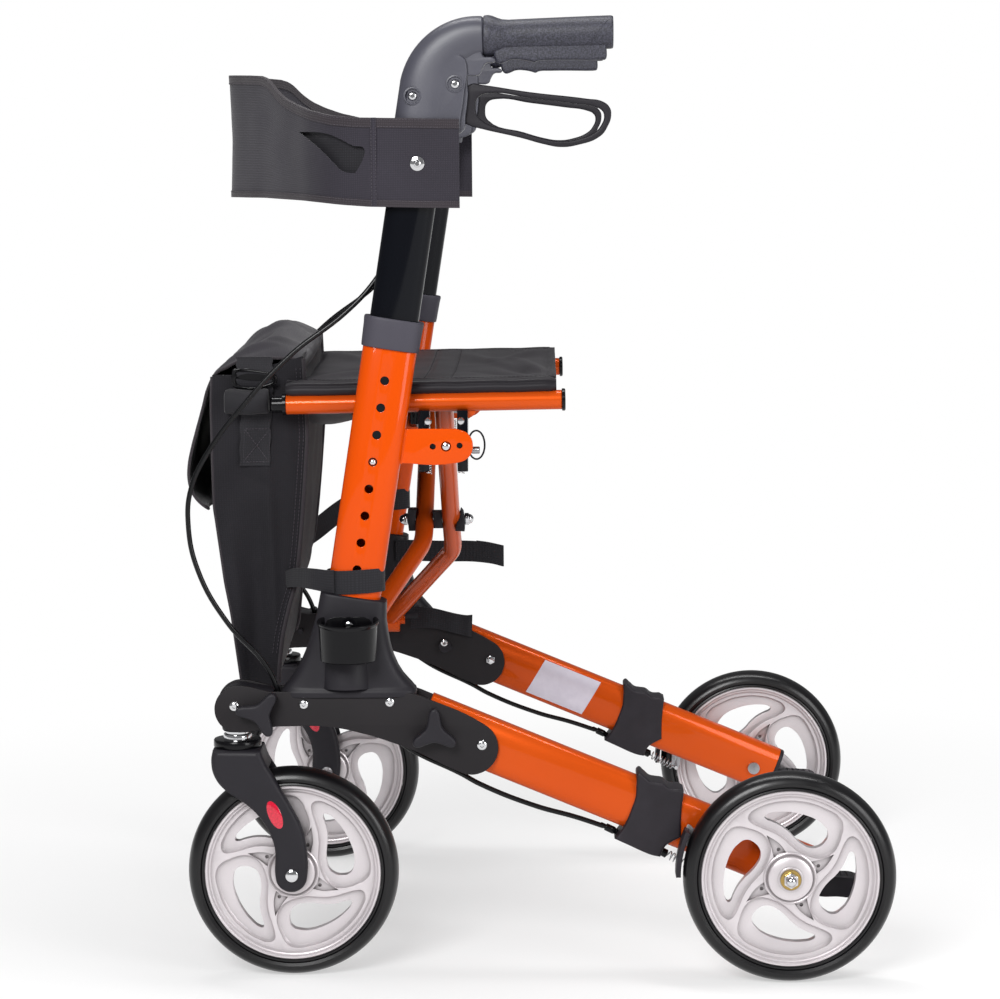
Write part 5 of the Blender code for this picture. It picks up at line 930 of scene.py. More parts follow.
# %% Screws
def screw_head(name, x, z, face, radius, height, socket=0.42):
    """A domed screw head on the face at y = face, with a hexagonal socket."""
    head = spun(name, [(0, height), (radius * 0.45, height * 0.98), (radius * 0.8, height * 0.72),
                       (radius * 0.96, height * 0.34), (radius, 0), (radius, -0.0008), (0, -0.0008)],
                (x, face, z), steps=32)
    hollow = pin("socket", radius * socket, (x, face - height * 1.2, z), (x, face - height * 0.25, z), 6)
    return carve(head, hollow)


for number, (x, z) in enumerate(ELBOW_SCREWS):
    ring = spun(f"elbow_ring_{number}", mm([(6.6, 0.4), (7.2, 1.2), (8.1, 1), (8.6, -0.4), (8.6, -3), (6.6, -3)]),
                (x, -0.2632 if number == 0 else -0.2622, z), steps=40, closed=True)
    both_sides(ring, ELBOW, "handle", angle=32)
    both_sides(screw_head(f"elbow_screw_{number}", x, z, -0.2606, 0.0046, 0.0026), CHROME, "handle", angle=32)
print("elbow screws at", ELBOW_SCREWS)

# %% [markdown]
# The grip is foamed rubber: a thick flange against the elbow, a waist for the thumb and a palm swell.
# Its rings rise a little towards the rear. A narrower shell under it carries the finger waves, and a
# thin curved mould seam runs over its end.

# %% Grip
GRIP_RINGS = mm([
    (-39.3, 882.8, 17.6), (-38.9, 882.8, 18.7), (-37.5, 882.8, 19.3), (-34.5, 882.9, 19.4), (-31, 883, 18.6),
    (-27, 883.1, 16.8), (-22, 883.2, 15.1), (-16, 883.4, 14.5), (-6, 883.8, 14.5), (15, 884.3, 14.8),
    (40, 884.9, 15.1), (65, 885.5, 15.3), (78, 885.8, 15.3), (79.6, 885.8, 15), (80.3, 885.8, 14.3),
    (80.5, 885.8, 13.2)])
grip = lofted("grip_body", [[(x, SIDE_Y + r * math.cos(math.tau * k / 48), z + r * math.sin(math.tau * k / 48))
                             for k in range(48)] for x, z, r in GRIP_RINGS])
fingers = outline_plate("finger_shell", [mm([
    (-30, 870, True), (-28.2, 861.2), (-24.6, 858), (-20, 858.8), (-14, 861.2), (-4, 861.2), (4, 859.6),
    (7.5, 858.6), (11, 860), (24, 860.6), (72.5, 860.6), (73.8, 861.6), (73.8, 876, True), (-30, 876, True)])],
    0.019, SIDE_Y, edge=0.0026, rounds=3)
carve(grip, fingers, way="UNION")
both_sides(grip, GRIP, "handle", ["grip"])
seam_points = [(0.06 + 0.0165 * t, SIDE_Y - 0.0153 * math.cos(1.45 * t - 0.55) - 0.0001,
                0.8856 + 0.0153 * math.sin(1.45 * t - 0.55)) for t in [n / 14 for n in range(15)]]
print("grip has", len(grip.data.polygons), "faces")

# %% [markdown]
# A seam, a cable or a stitched line is a thin round strand along a path. A curve with a bevel draws it
# and is then made a mesh. Its ends are closed, so that it stays a solid strand.

# %% Strands
def strand(name, points, radius, closed=False, detail=4, sides=2):
    """A round strand along a path of points."""
    piece = started(name, ops.curve.primitive_nurbs_path_add, location=(0, 0, 0))
    line = piece.data
    line.splines.clear()
    path = line.splines.new("BEZIER")
    path.bezier_points.add(len(points) - 1)
    path.use_cyclic_u = closed
    for knot, spot in zip(path.bezier_points, points):
        knot.co = spot
        knot.handle_left_type = knot.handle_right_type = "AUTO"
    line.dimensions, line.resolution_u = "3D", detail
    line.bevel_depth, line.bevel_resolution, line.use_fill_caps = radius, sides, not closed
    ops.object.convert(target="MESH")
    return tidy(bpy.context.object)


both_sides(strand("grip_seam", seam_points, 0.00035), GRIP, "handle", angle=60)
print("grip seam from", [round(v, 3) for v in seam_points[0]])

# %% [markdown]
# The brake lever is a flat moulded loop for the fingers. It is cut from its outline, with well-rounded
# edges, and its tongue reaches into the elbow's slot to the pivot.

# %% Brake lever
lever = outline_plate("lever_loop", [
    mm([
        (-50, 839.5), (-41, 838.5), (2.8, 831.5), (56.2, 825), (69.9, 822.6), (76.8, 817), (78.2, 809.5),
        (75.1, 799.8), (68.3, 790.7), (46.7, 782.5), (31.5, 780.8), (16.2, 783.5), (-5.2, 789.5),
        (-43.4, 798.5), (-52, 801), (-59, 806), (-60, 830)]),
    mm([
        (-44, 808.5), (-47, 818), (-44, 827.5), (-34, 830.8), (2.8, 826.2), (40, 821.2), (62, 817.8),
        (70, 813.8), (71.8, 808.5), (69.2, 801), (64, 795), (46.7, 788), (31.5, 786.4), (16.2, 788.8),
        (-5.2, 795)]),
], 0.016, SIDE_Y, edge=0.0017, rounds=3)
both_sides(lever, NYLON, "lever", ["brake_lever"])
print("lever has", len(lever.data.polygons), "faces")

# %% [markdown]
# The side plates are stamped steel: a round head over the caster, a straight top under the tower and a
# round tail that clasps the rear leg. Outer and inner plate are the same stamping. Between them, the
# caster's head block fills the round end and shows its top as a paler edge.

# %% Side plates and head block
HEAD, TAIL, STEM_X = (-0.2745, 0.258), (-0.056, 0.22), -0.2774
outline = arc_points(HEAD, 0.0225, 250, 95, 8) + mm([(-245, 274.5, True), (-112, 272.5), (-96, 266.8)])
outline += arc_points(TAIL, 0.0255, 62, -122, 8)
outline += mm([(-110.2, 218), (-132, 226.2), (-154.8, 233.5), (-189.2, 240.8), (-238, 241.5, True)])
plate = outline_plate("side_plate", [outline], 0.004, -0.2623, edge=0.0007)
inner = copied(plate, "inner_side_plate", Matrix.Translation((0, 0.0346, 0)))
both_sides(plate, POWDER, "frame", ["outer_plate"])
both_sides(inner, POWDER, "frame", ["inner_plate"])
block = outline_plate("head_block_body", [arc_points(HEAD, 0.0212, 90, 270, 9) + mm([
    (-244, 236.8, True), (-241.8, 274, True), (-260, 276.8)])], 0.03, SIDE_Y, edge=0.0008)
neck = spun("neck", mm([(0, 260), (14, 260), (14.7, 240), (14.2, 236.2), (13.2, 235), (0, 235)]),
            (STEM_X, SIDE_Y, 0), axis=(0, 0, 1), steps=40)
carve(block, neck, way="UNION")
both_sides(block, NYLON, "frame", ["head_block"])
for number, (x, z, radius) in enumerate(mm([
    (-278.2, 261.1, 5), (-212.9, 262.7, 4.8), (-132, 264.3, 4.8), (-45.7, 222.9, 5.2)])):
    both_sides(screw_head(f"plate_screw_{number}", x, z, -0.2643, radius, 0.0024), CHROME, "frame", angle=32)
nut = pin("plate_nut", 0.005, (-0.0457, -0.2257, 0.2229), (-0.0457, -0.2215, 0.2229), 6)
round_edges(nut, 0.0005, 2, 30)
both_sides(nut, CHROME, "frame", angle=32)
print("plate has", len(plate.data.polygons), "faces")

# %% [markdown]
# Two star knobs screw through the plates and let the frame be taken down. Each has three slim arms with
# hollow flanks between them, so its outline swings in to a narrow waist three times. The face is
# softly rounded, and a boss lifts it off the plate.

# %% Star knobs
KNOB_R = 0.0228
ARM = [(0.0208, -11), (KNOB_R, -4), (KNOB_R, 4), (0.0208, 11), (0.0128, 28), (0.0092, 60), (0.0128, 92)]


def knob(name, x, z, turn):
    """A star knob about a point of the side plate, with its first arm at an angle."""
    places = [(radius, math.radians(turn + 120 * arm + angle)) for arm in range(3) for radius, angle in ARM]
    outline = [(x + radius * math.cos(place), z + radius * math.sin(place)) for radius, place in places]
    star = outline_plate(name, [outline], 0.012, -0.2745, edge=0.0026, rounds=4, detail=5)
    boss = spun("boss", mm([(0, 6), (7.5, 6), (8.5, 0), (0, 0)]), (x, -0.2643, z), steps=32)
    tail = pin("tail", 0.0026, (x, -0.27, z), (x, -0.2185, z), 20)
    return carve(star, boss, tail, way="UNION")


both_sides(knob("front_star_knob", -0.253, 0.256, 173), NYLON, "front_knob", ["front_knob"])
both_sides(knob("rear_star_knob", -0.09, 0.237, 90), NYLON, "rear_knob", ["rear_knob"])
print("knob reaches", KNOB_R)

# %% [markdown]
# The caster fork is thick glass-filled nylon. Seen from the side it sweeps from a swollen crown down to
# the axle. A wide, round bevel on its outline gives the pillowed flanks, and a drum cut from the middle
# makes room for the wheel. A polished cap covers the bearing, with the chromed stem above it. A small
# red reflector sits in each flank: its clear face shines over a pattern of moulded prisms.

# %% Caster fork
FOOT = (-0.227, 0.098)
outline = mm([
    (-254, 219.5, True), (-250, 208), (-242.5, 195), (-236, 182.8), (-226.2, 165.7), (-216.4, 145.1),
    (-212, 122.8)])
outline += arc_points(FOOT, 0.015, 0, -180, 7)
outline += mm([
    (-242.5, 126.4), (-251.7, 148.7), (-266.5, 165.9), (-286.5, 179.7), (-297.8, 194), (-300.8, 209),
    (-299.2, 219.5, True)])
fork = outline_plate("fork_body", [outline], 0.051, SIDE_Y, edge=0.0052, rounds=5, detail=8)
room = spun("room", mm([(0, 17.2), (104.5, 17.2), (104.5, -17.2), (0, -17.2)]), (FRONT_X, SIDE_Y, WHEEL_R), steps=96)
carve(fork, room)
round_edges(fork, 0.0012, 2, 50)
both_sides(fork, NYLON, "caster", ["caster_fork"], 40)
cap = spun("caster_cap", mm([
    (0, 8), (20, 8), (21.9, 7.6), (22.6, 6.6), (22.7, 1.2), (22.2, 0.2), (21.4, -0.8), (0, -0.8)]),
    (STEM_X, SIDE_Y, 0.2195), axis=(0, 0, 1), steps=72)
both_sides(cap, GLOSS_PLASTIC, "caster")
stem = spun("caster_stem", mm([(0, 15), (10.8, 15), (10.8, 5.2), (13, 4.6), (13.4, 3.4), (13.4, 0), (0, 0)]),
            (STEM_X, SIDE_Y, 0.2274), axis=(0, 0, 1), steps=48)
both_sides(stem, CHROME, "caster")

REFLECTOR, tree, sockets = shader_of("red reflector plastic", "#c4062c", 0.18, Coat_Weight=0.8)
# the prisms behind the clear face are about 2 mm apart
prism = add(tree, "ShaderNodeTexVoronoi", {"Scale": 500.0}, Vector=object_place(tree))
add(tree, "ShaderNodeMix", {"data_type": "RGBA", 6: linear("#d60a34"), 7: linear("#a80424")},
    to=(2, sockets["Base Color"]), Factor=prism.outputs["Distance"])
pattern = spun("reflector", mm([(0, 1.3), (6, 1.2), (11.5, 0.9), (14, 0.3), (14.2, -0.6), (0, -0.6)]),
               (0, 0, 0), steps=48)
pattern.scale, pattern.rotation_euler = (0.43, 1.0, 1.0), (0, math.radians(-22), 0)
set_down(pattern)
inside = tidy(copied(pattern, "inner_reflector", Matrix.Translation((-0.2412, -0.2197, 0.1583)),
                     Matrix.Rotation(math.pi, 4, "Z"), Matrix.Scale(-1, 4, (1, 0, 0))))
lens = copied(pattern, "outer_reflector", Matrix.Translation((-0.2412, -0.2703, 0.1583)))
bpy.data.objects.remove(pattern, do_unlink=True)
both_sides(lens, REFLECTOR, "caster")
both_sides(inside, REFLECTOR, "caster")
print("fork has", len(fork.data.polygons), "faces")

# %% [markdown]
# The front axle is a bolt with a low head on the outside of the fork and a nut on the inside. The rear
# axle is a stub: its bright dome nut stands on a yellow washer at the hub. Both are turned; the nuts'
# six flats are short prisms with rounded corners.

# %% Axles
axle = spun("front_axle_bolt", mm([
    (0, 29.2), (4, 29), (5.8, 28), (6.4, 26.2), (6.4, 25.5), (4, 25.5), (4, -25.5), (6.2, -25.5), (6.2, -28.8),
    (0, -29.2)]), (FRONT_X, SIDE_Y, WHEEL_R), steps=36)
both_sides(axle, CHROME, "caster", ["front_axle"], 32)
stub = spun("rear_axle_stub", mm([
    (0, 18), (5.2, 18), (5.2, -18), (8.5, -18), (8.5, -19.8), (4, -19.8), (4, -50), (6.4, -50), (6.4, -53),
    (0, -54)]),
            (REAR_X, -REAR_Y, WHEEL_R), steps=36)
both_sides(stub, ZINC, "frame", ["rear_axle"], 32)
washer = spun("rear_axle_washer", mm([(5, 18.4), (9.4, 18.4), (9.8, 18), (9.8, 16.8), (5, 16.8)]),
              (REAR_X, -REAR_Y, WHEEL_R), steps=40, closed=True)
both_sides(washer, BRASS, "frame", angle=32)
nut = pin("rear_axle_nut", 0.0074, (REAR_X, -REAR_Y - 0.0184, WHEEL_R), (REAR_X, -REAR_Y - 0.0235, WHEEL_R), 6)
round_edges(nut, 0.0006, 2, 30)
dome = spun("dome", mm([(0, 29.2), (2.2, 28.8), (4.2, 27.4), (5.4, 25.2), (5.8, 22.8), (0, 22.8)]),
            (REAR_X, -REAR_Y, WHEEL_R), steps=36)
carve(nut, dome, way="UNION")
both_sides(nut, CHROME, "frame", angle=32)
print("rear nut reaches y", -REAR_Y - 0.0292)

# %% [markdown]
# Two cross braces carry the seat rails and fold the frame. Each is a round tube that runs from its foot
# near the tower, bends near the middle and climbs to the rail of the other side. The bend is a real
# tube bend, so the strand's path has close points there and long straight runs on either side.

# %% Braces and rails
PIVOT_Z, PIVOT_Y, RAIL_Z, RAIL_Y = 0.27, 0.208, 0.545, 0.215
CLIMB = (RAIL_Z - PIVOT_Z) / (RAIL_Y + PIVOT_Y)
MIDDLE_Z = PIVOT_Z + CLIMB * PIVOT_Y


def brace(name, way, x, foot_x, bend_y):
    """A bent tube whose foot is on the side of way and whose head meets the other side's rail."""
    foot = Vector((foot_x, way * PIVOT_Y, PIVOT_Z))
    bend = Vector((x, way * bend_y, MIDDLE_Z - CLIMB * bend_y))
    head = Vector((x, -way * (RAIL_Y - 0.002), RAIL_Z - 0.002))
    path = [foot, foot.lerp(bend, 0.3), foot.lerp(bend, 0.6), foot.lerp(bend, 0.82), foot.lerp(bend, 0.92),
            bend.lerp(foot, 0.02).lerp(head, 0.008), bend.lerp(head, 0.05), bend.lerp(head, 0.12),
            bend.lerp(head, 0.4), bend.lerp(head, 0.7), head]
    return strand(name, path, 0.0092, detail=6, sides=8)


RAIL_DIP = (Matrix.Translation((0.03, 0, RAIL_Z - 0.001)) @ Matrix.Rotation(math.radians(-0.7), 4, "Y")
            @ Matrix.Translation((-0.03, 0, -RAIL_Z)))


def dipped(piece):
    """Turns a piece about the rails' rear end, since the seat slopes down a little to the front."""
    piece.matrix_world = RAIL_DIP @ piece.matrix_world
    return set_down(piece)


def rail(name, way, carrier):
    """The seat rail of one side with its half-round lug, the plug in its rear end and its stub in front."""
    def turned(part, outline):
        return spun(name + part, mm(outline), (0, way * RAIL_Y, RAIL_Z), axis=(1, 0, 0), steps=40)

    tube = turned("", [(0, -229), (8.8, -229), (9.2, -228.6), (9.2, 30.9), (8.8, 31.3), (0, 31.3)])
    lug = outline_plate("lug", [arc_points((-0.059, 0.5385), 0.0095, 180, 360, 7) + [
        (-0.0495, 0.544, True), (-0.0685, 0.544, True)]], 0.004, way * RAIL_Y, edge=0.0006)
    finish(dipped(carve(tube, lug, way="UNION")), METALLIC_ORANGE, carrier)
    for part, outline in (
            ("_plug", [(0, 35), (9.6, 34.8), (10.6, 34), (10.6, 31.8), (9.8, 31.3), (0, 31.3)]),
            ("_stub", [(0, -242.5), (7.2, -242.5), (7.7, -242), (7.7, -232.5), (10.1, -232.2), (10.1, -229.2),
                       (0, -229.2)])):
        finish(dipped(turned(part, outline)), GLOSS_PLASTIC, carrier)


BRACES = {"front_brace": (-1, -0.1075, -0.195, 0.03), "rear_brace": (1, -0.0805, -0.156, 0.06)}
for name, (way, x, foot_x, bend_y) in BRACES.items():
    finish(brace(name + "_tube", way, x, foot_x, bend_y), METALLIC_ORANGE, name, [name], 40)
    pivot = spun(name + "_foot", both_faces(mm([(0, 18), (4.5, 18), (4.5, 12.5), (12.5, 12.5), (13, 12)])),
                 (foot_x, way * PIVOT_Y, PIVOT_Z), axis=(1, 0, 0), steps=40)
    finish(pivot, METALLIC_ORANGE, name)
    rail(name + "_rail", -way, name)
print("braces climb", round(math.degrees(math.atan(CLIMB)), 1), "degrees")

# %% [markdown]
# The braces turn on one bolt where they cross. It shows as a black saddle washer in front, a spacer
# between the tubes and a wedge behind, with a chromed dome nut at either end. The blocks hug the round
# tubes, so they are outlines cut from thick plate, rounded at the edges.

# %% Centre bolt
def bolt_block(name, points, depth):
    """A black spacer of the centre bolt, as an outline in X and Z about the bolt's height."""
    return outline_plate(name, [[(x, MIDDLE_Z + z) for x, z in points]], depth, 0, edge=0.0006, smooth=False, rounds=1)


shank = spun("centre_bolt_shank", mm([(0, -121.5), (3.8, -121.5), (3.8, -66), (0, -66)]),
             (0, 0, MIDDLE_Z), axis=(1, 0, 0), steps=24)
finish(shank, ZINC, "front_brace", ["centre_bolt"])
for name, points, depth in (
        ("front_washer", mm([(-123.2, -10.8), (-115, -10.8), (-117, 0), (-115, 11), (-124, 11), (-124.6, 4)]), 0.022),
        ("middle_spacer", mm([(-99.2, -8.5), (-88.8, -8.5), (-90, 0), (-88.8, 8.5), (-99.2, 8.5), (-98, 0)]), 0.018),
        ("rear_wedge", mm([(-76.5, -11.2), (-66.8, -11.8), (-66.4, -2), (-68, 8), (-70.6, 11.2), (-72.2, 6)]), 0.02)):
    finish(bolt_block(name, points, depth), NYLON, "front_brace")
for name, start, way in (("front_bolt_nut", -0.124, -1), ("rear_bolt_nut", -0.0668, 1)):
    nut = pin(name, 0.0062, (start, 0, MIDDLE_Z), (start + way * 0.0042, 0, MIDDLE_Z), 6)
    round_edges(nut, 0.0005, 2, 30)
    dome = spun("dome", mm([(0, 9.2), (2, 8.8), (4, 7.4), (5, 5.2), (5, 3), (0, 3)]),
                (start, 0, MIDDLE_Z), axis=(way, 0, 0), steps=28)
    finish(carve(nut, dome, way="UNION"), CHROME, "front_brace")
print("the braces cross at", round(MIDDLE_Z, 4))

# %% [markdown]
# A spring pin behind each bracket holds the seat rail down in its saddle. Its black wire ring is what
# the user pulls. The wire is thin, and hangs a little askew, as a loose ring does.

# %% Catch pins
RING_X, RIGHT_SHIFT = -0.0495, -0.0202
for side, way, shift in (("left", -1, 0.0), ("right", 1, RIGHT_SHIFT)):
    y = way * 0.2195
    bar = spun(side + "_catch_bar", mm([
        (0, -100.6), (2.6, -100.6), (3, -100), (3, -54), (3.4, -53.6), (3.4, -47), (2.8, -46.3), (0, -46.3)]),
        (shift, y, 0.497), axis=(1, 0, 0), steps=24)
    finish(bar, ZINC, side + "_catch_pin", [side + "_catch_pin"])
    loop = [(RING_X + shift + 0.0078 * math.sin(math.tau * n / 16), y + way * 0.003 * math.cos(math.tau * n / 16),
             0.502 + 0.0138 * math.cos(math.tau * n / 16)) for n in range(16)]
    ring = strand(side + "_catch_ring", loop, 0.0009, closed=True, sides=3)
    finish(ring, GLOSS_BLACK, side + "_catch_pin", angle=60, slot="steel")
    for number, x in enumerate((-0.0945, -0.0635)):
        coil = [(x + shift + 0.0028 * math.cos(math.tau * n / 10),
                 y + way * 0.01 + 0.0028 * math.sin(math.tau * n / 10), 0.476 + 0.0002 * n) for n in range(51)]
        finish(strand(f"{side}_catch_spring_{number}", coil, 0.00045, sides=2), CHROME, side + "_frame", angle=60)
        stop = spun(f"{side}_saddle_screw_{number}", mm([(0, 4.2), (2.8, 3.8), (3.6, 2.2), (3.6, -1), (0, -1)]),
                    (x + shift, way * 0.234 - 0.003, 0.5262), axis=(0, -1, 0), steps=24)
        finish(stop, CHROME, side + "_frame")
print("catch rings at", RING_X, "and", round(RING_X + RIGHT_SHIFT, 4))

# %% [markdown]
# A soft black sleeve covers the brake's works on each rear leg. It is moulded rubber with a wavy upper
# edge, and it creases where it is drawn tight. Its outline is cut from a block as wide as the sleeve,
# with well-rounded edges, and the leg's tube is carved out of it. The creases are a slow bump.

# %% Brake covers
# matt rubber, whose creases catch a soft and broken sheen
SLEEVE = surface("soft black cover rubber", "black_nylon", ("#1a171b", "#2b272d"), 0.5, (40.0, 4.0), (0.36, 0.6),
                 bump=(0.5, 0.0015), Specular_IOR_Level=0.25)
cover = outline_plate("brake_sleeve", [mm([
    (101.5, 195), (107, 191.5), (112, 187.2), (118, 185.8), (124, 184.8), (131, 180), (139.5, 179.5, True),
    (144, 177, True), (141.5, 155), (141, 133, True), (133, 129), (126.2, 124), (121.5, 114.2, True),
    (114, 115.8), (108, 118), (93, 125), (78.5, 131.8, True), (85, 140), (89.2, 147), (94.5, 160), (98.5, 172),
    (99.5, 185)])], 0.0362, SIDE_Y, edge=0.0026, rounds=4)
carve(cover, lofted("space", [leg_ring(x, 0.0508, 0.0302) for x in (0.06, 0.17)]))
both_sides(cover, SLEEVE, "frame", ["brake_cover"], 40)
print("cover has", len(cover.data.polygons), "faces")

# %% [markdown]
# Under the sleeve sit the works that show: a barrel adjuster where the cable ends, the steel brake arm
# beside the leg with its shoe against the tyre, and a small return spring. The arm is cut from plate.
# The spring is one strand that winds seven times between its two straight ends.

# %% Brake works
adjuster = spun("cable_adjuster", mm([
    (0, 21), (2, 21), (2.6, 20), (2.6, 15), (3.8, 14.6), (4, 13.8), (4, 6), (3.4, 5.2), (3, 4.5), (3, -8), (0, -8)]),
    (0.085, SIDE_Y, 0.133), axis=(-math.cos(SLOPE + 0.06), 0, math.sin(SLOPE + 0.06)), steps=32)
both_sides(adjuster, GLOSS_PLASTIC, "frame")


def about_rear_axle(radius, degrees):
    """A point in X and Z at a distance and an angle from the rear axle."""
    return (REAR_X + radius * math.cos(math.radians(degrees)), WHEEL_R + radius * math.sin(math.radians(degrees)))


SHOE, ARM_Y = 168.0, -0.2621
shoe = [about_rear_axle(0.1021, SHOE - 12 + 4 * n) for n in range(7)]
shoe += [about_rear_axle(0.1066, SHOE + 12 - 4 * n) for n in range(7)]
arm_outline = arc_points((0.162, 0.1235), 0.007, 70, -60, 6) + arc_points((0.1575, 0.0985), 0.0048, -20, -160, 6)
arm_outline += [(0.1543, 0.124), about_rear_axle(0.1052, SHOE - 2), about_rear_axle(0.1052, SHOE - 14),
                about_rear_axle(0.1024, SHOE - 14)]
arm = outline_plate("arm_plate", [arm_outline], 0.0022, ARM_Y, edge=0.0004, smooth=False, rounds=1)
both_sides(arm, ZINC, "brake_arm", ["brake_arm"])
pad = outline_plate("brake_shoe", [shoe], 0.0255, -0.274, edge=0.0005, smooth=False, rounds=1)
both_sides(pad, SLEEVE, "brake_arm", slot="steel")
bar = pin("arm_bar", 0.002, (0.1575, ARM_Y, 0.0985), (0.1575, -0.24, 0.0985), 20)
hinge = spun("arm_hinge", mm([(0, 3.4), (3.6, 3), (4.2, 1.2), (4.2, 0.4), (2.8, 0.4), (2.8, -6), (0, -6)]),
             (0.162, ARM_Y, 0.1235), steps=28)
both_sides(carve(bar, hinge, way="UNION"), CHROME, "brake_arm")

first, last = Vector((0.129, SIDE_Y, 0.113)), Vector((0.1546, SIDE_Y, 0.0999))
along = (last - first).normalized()
over = along.cross(Vector((0, 1, 0)))
CURLS, SPRING_R = 7, 0.004
wound = [first]
for n in range(CURLS * 10 + 1):
    angle = math.tau * n / 10
    spoke = Vector((0, 1, 0)) * math.cos(angle) + over * math.sin(angle)
    wound.append(first + along * (0.0014 + ((last - first).length - 0.0028) * n / (CURLS * 10)) + spoke * SPRING_R)
spring = strand("return_spring", wound + [last], 0.0006, detail=2, sides=2)
both_sides(spring, ZINC, "frame", ["brake_spring"], 60)
seat = spun("spring_seat", mm([(0, 1), (4.6, 1), (4.6, -12), (3.6, -13), (0, -13)]), first, axis=along, steps=28)
both_sides(seat, GLOSS_PLASTIC, "frame")
print("spring winds", CURLS, "times over", round((last - first).length, 4), "m")

# %% [markdown]
# The brake cable leaves the elbow, swings forward in a wide free arc past the bag, dips behind the side
# plate and runs back under the leg to the adjuster. Its sheath is smooth black plastic that takes a
# long thin highlight. The path is the CAD cable's own, drawn as one smooth curve.

# %% Brake cables
CABLE_PATH = mm([
    (-108, 229.6, 789.1), (-112, 229.6, 760), (-118.5, 229.6, 720), (-127, 229.8, 685), (-143.2, 232, 657.4),
    (-169, 237, 630), (-222.7, 242, 589), (-268, 245, 541.5), (-298.6, 245, 502.2), (-317.2, 245, 464.7),
    (-320.5, 245, 431.6), (-312, 245, 387), (-285, 245, 337.3), (-249, 245, 296), (-239, 245, 274),
    (-234.5, 245, 257), (-218, 245, 248), (-190, 245, 247.2), (-160, 245, 241), (-132.2, 245, 227.4),
    (-108.1, 245, 212.2), (-67.2, 245, 192.4), (-48.4, 245, 181.8), (4.5, 245, 160.3), (42, 245, 149.6),
    (68.5, 245, 140.6)])
SHEATH = surface("black cable sheath", "black_nylon", ["#0b0b0d"], 0.28, (90.0, 3.0), (0.2, 0.38),
                 Coat_Weight=0.15, Specular_IOR_Level=0.2)
cable = strand("cable_sheath", [(x, -y, z) for x, y, z in CABLE_PATH], 0.0024, detail=8, sides=8)
for piece, way in zip(both_sides(cable, SHEATH, "frame", ["brake_cable"], 60), (-1, 1)):
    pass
print("cable runs through", len(CABLE_PATH), "points")

# %% [markdown]
# The cloth pieces are sheets of woven nylon, a millimetre or two thick. Each starts as a grid whose
# points are laid along the shape that the cloth hangs in, row by row, and is then given its thickness.
# Its UV map is laid out in metres before that, so the weave keeps its size and follows the cloth round
# every curve. The folds are moves of the points: a crease raises or sinks the cloth along a line.

# %% Sheets
def flowing(points, count):
    """Evenly numbered points on a smooth line through the given ones."""
    knots = [Vector(p) for p in points]
    knots = [2 * knots[0] - knots[1]] + knots + [2 * knots[-1] - knots[-2]]
    line = []
    for i in range(count):
        at = i / (count - 1) * (len(points) - 1)
        k = min(int(at), len(points) - 2)
        t, (a, b, c, d) = at - k, knots[k:k + 4]
        line.append(0.5 * (2 * b + (c - a) * t + (2 * a - 5 * b + 4 * c - d) * t * t
                           + (3 * b - a - 3 * c + d) * t ** 3))
    return line


def between(table, x):
    """A value read from a table of (x, value) with x rising."""
    for (a, low), (b, high) in zip(table, table[1:]):
        if x <= b:
            return low + (high - low) * max(0.0, (x - a) / (b - a))
    return table[-1][1]


def crease(x, y, folds):
    """The sum of soft ridges and valleys, each a line from (x, y) to (x, y) with a height and a width."""
    total = 0.0
    for x0, y0, x1, y1, height, width in folds:
        run = Vector((x1 - x0, y1 - y0))
        share = min(1.0, max(0.0, Vector((x - x0, y - y0)).dot(run) / run.length_squared))
        away = (Vector((x0, y0)) + run * share - Vector((x, y))).length
        total += height * math.exp(-(away / width) ** 2) * math.sin(math.pi * (0.1 + 0.8 * share))
    return total


def sheet(name, rows, thick):
    """A closed sheet through rows of points. Returns the piece and its (width, length, area)."""
    wide, many = len(rows[0]), len(rows)
    piece = started(name, ops.mesh.primitive_grid_add, x_subdivisions=wide - 1, y_subdivisions=many - 1, size=1)
    spots = [Vector(p) for row in rows for p in row]
    for point, spot in zip(piece.data.vertices, spots):
        point.co = spot
    lines = [[Vector(p) for p in row] for row in rows] + [[Vector(row[i]) for row in rows] for i in range(wide)]
    lengths = [sum((b - a).length for a, b in zip(line, line[1:])) for line in lines]
    across_m, along_m = sum(lengths[:many]) / many, sum(lengths[many:]) / wide
    chart = piece.data.uv_layers[0].data
    for face in piece.data.polygons:
        for corner in face.loop_indices:
            number = piece.data.loops[corner].vertex_index
            chart[corner].uv = (number % wide / (wide - 1) * across_m, number // wide / (many - 1) * along_m)
    area = sum(face.area for face in piece.data.polygons)
    modify(piece, "SOLIDIFY", thickness=thick, offset=0)
    return tidy(piece), (across_m, along_m, area)


def sewn(name, lines, pitch=0.0042, radius=0.00026):
    """Stitches along lines of points: short separate lengths of thread, all one mesh."""
    piece = started(name, ops.curve.primitive_nurbs_path_add, location=(0, 0, 0))
    piece.data.splines.clear()
    for line in lines:
        line = [Vector(p) for p in line]
        steps = max(2, round(sum((b - a).length for a, b in zip(line, line[1:])) / pitch))
        spots = flowing(line, steps * 3 + 1)
        for i in range(steps):
            a, b = spots[3 * i], spots[3 * i + 2]
            thread = piece.data.splines.new("POLY")
            thread.points.add(1)
            thread.points[0].co, thread.points[1].co = (*a, 1), (*b, 1)
    piece.data.dimensions, piece.data.bevel_depth, piece.data.bevel_resolution = "3D", radius, 0
    piece.data.use_fill_caps = True
    ops.object.convert(target="MESH")
    return tidy(bpy.context.object, 0.000001)


print("a smooth line of", len(flowing([(0, 0, 0), (1, 0, 0), (2, 1, 0)], 9)), "points")
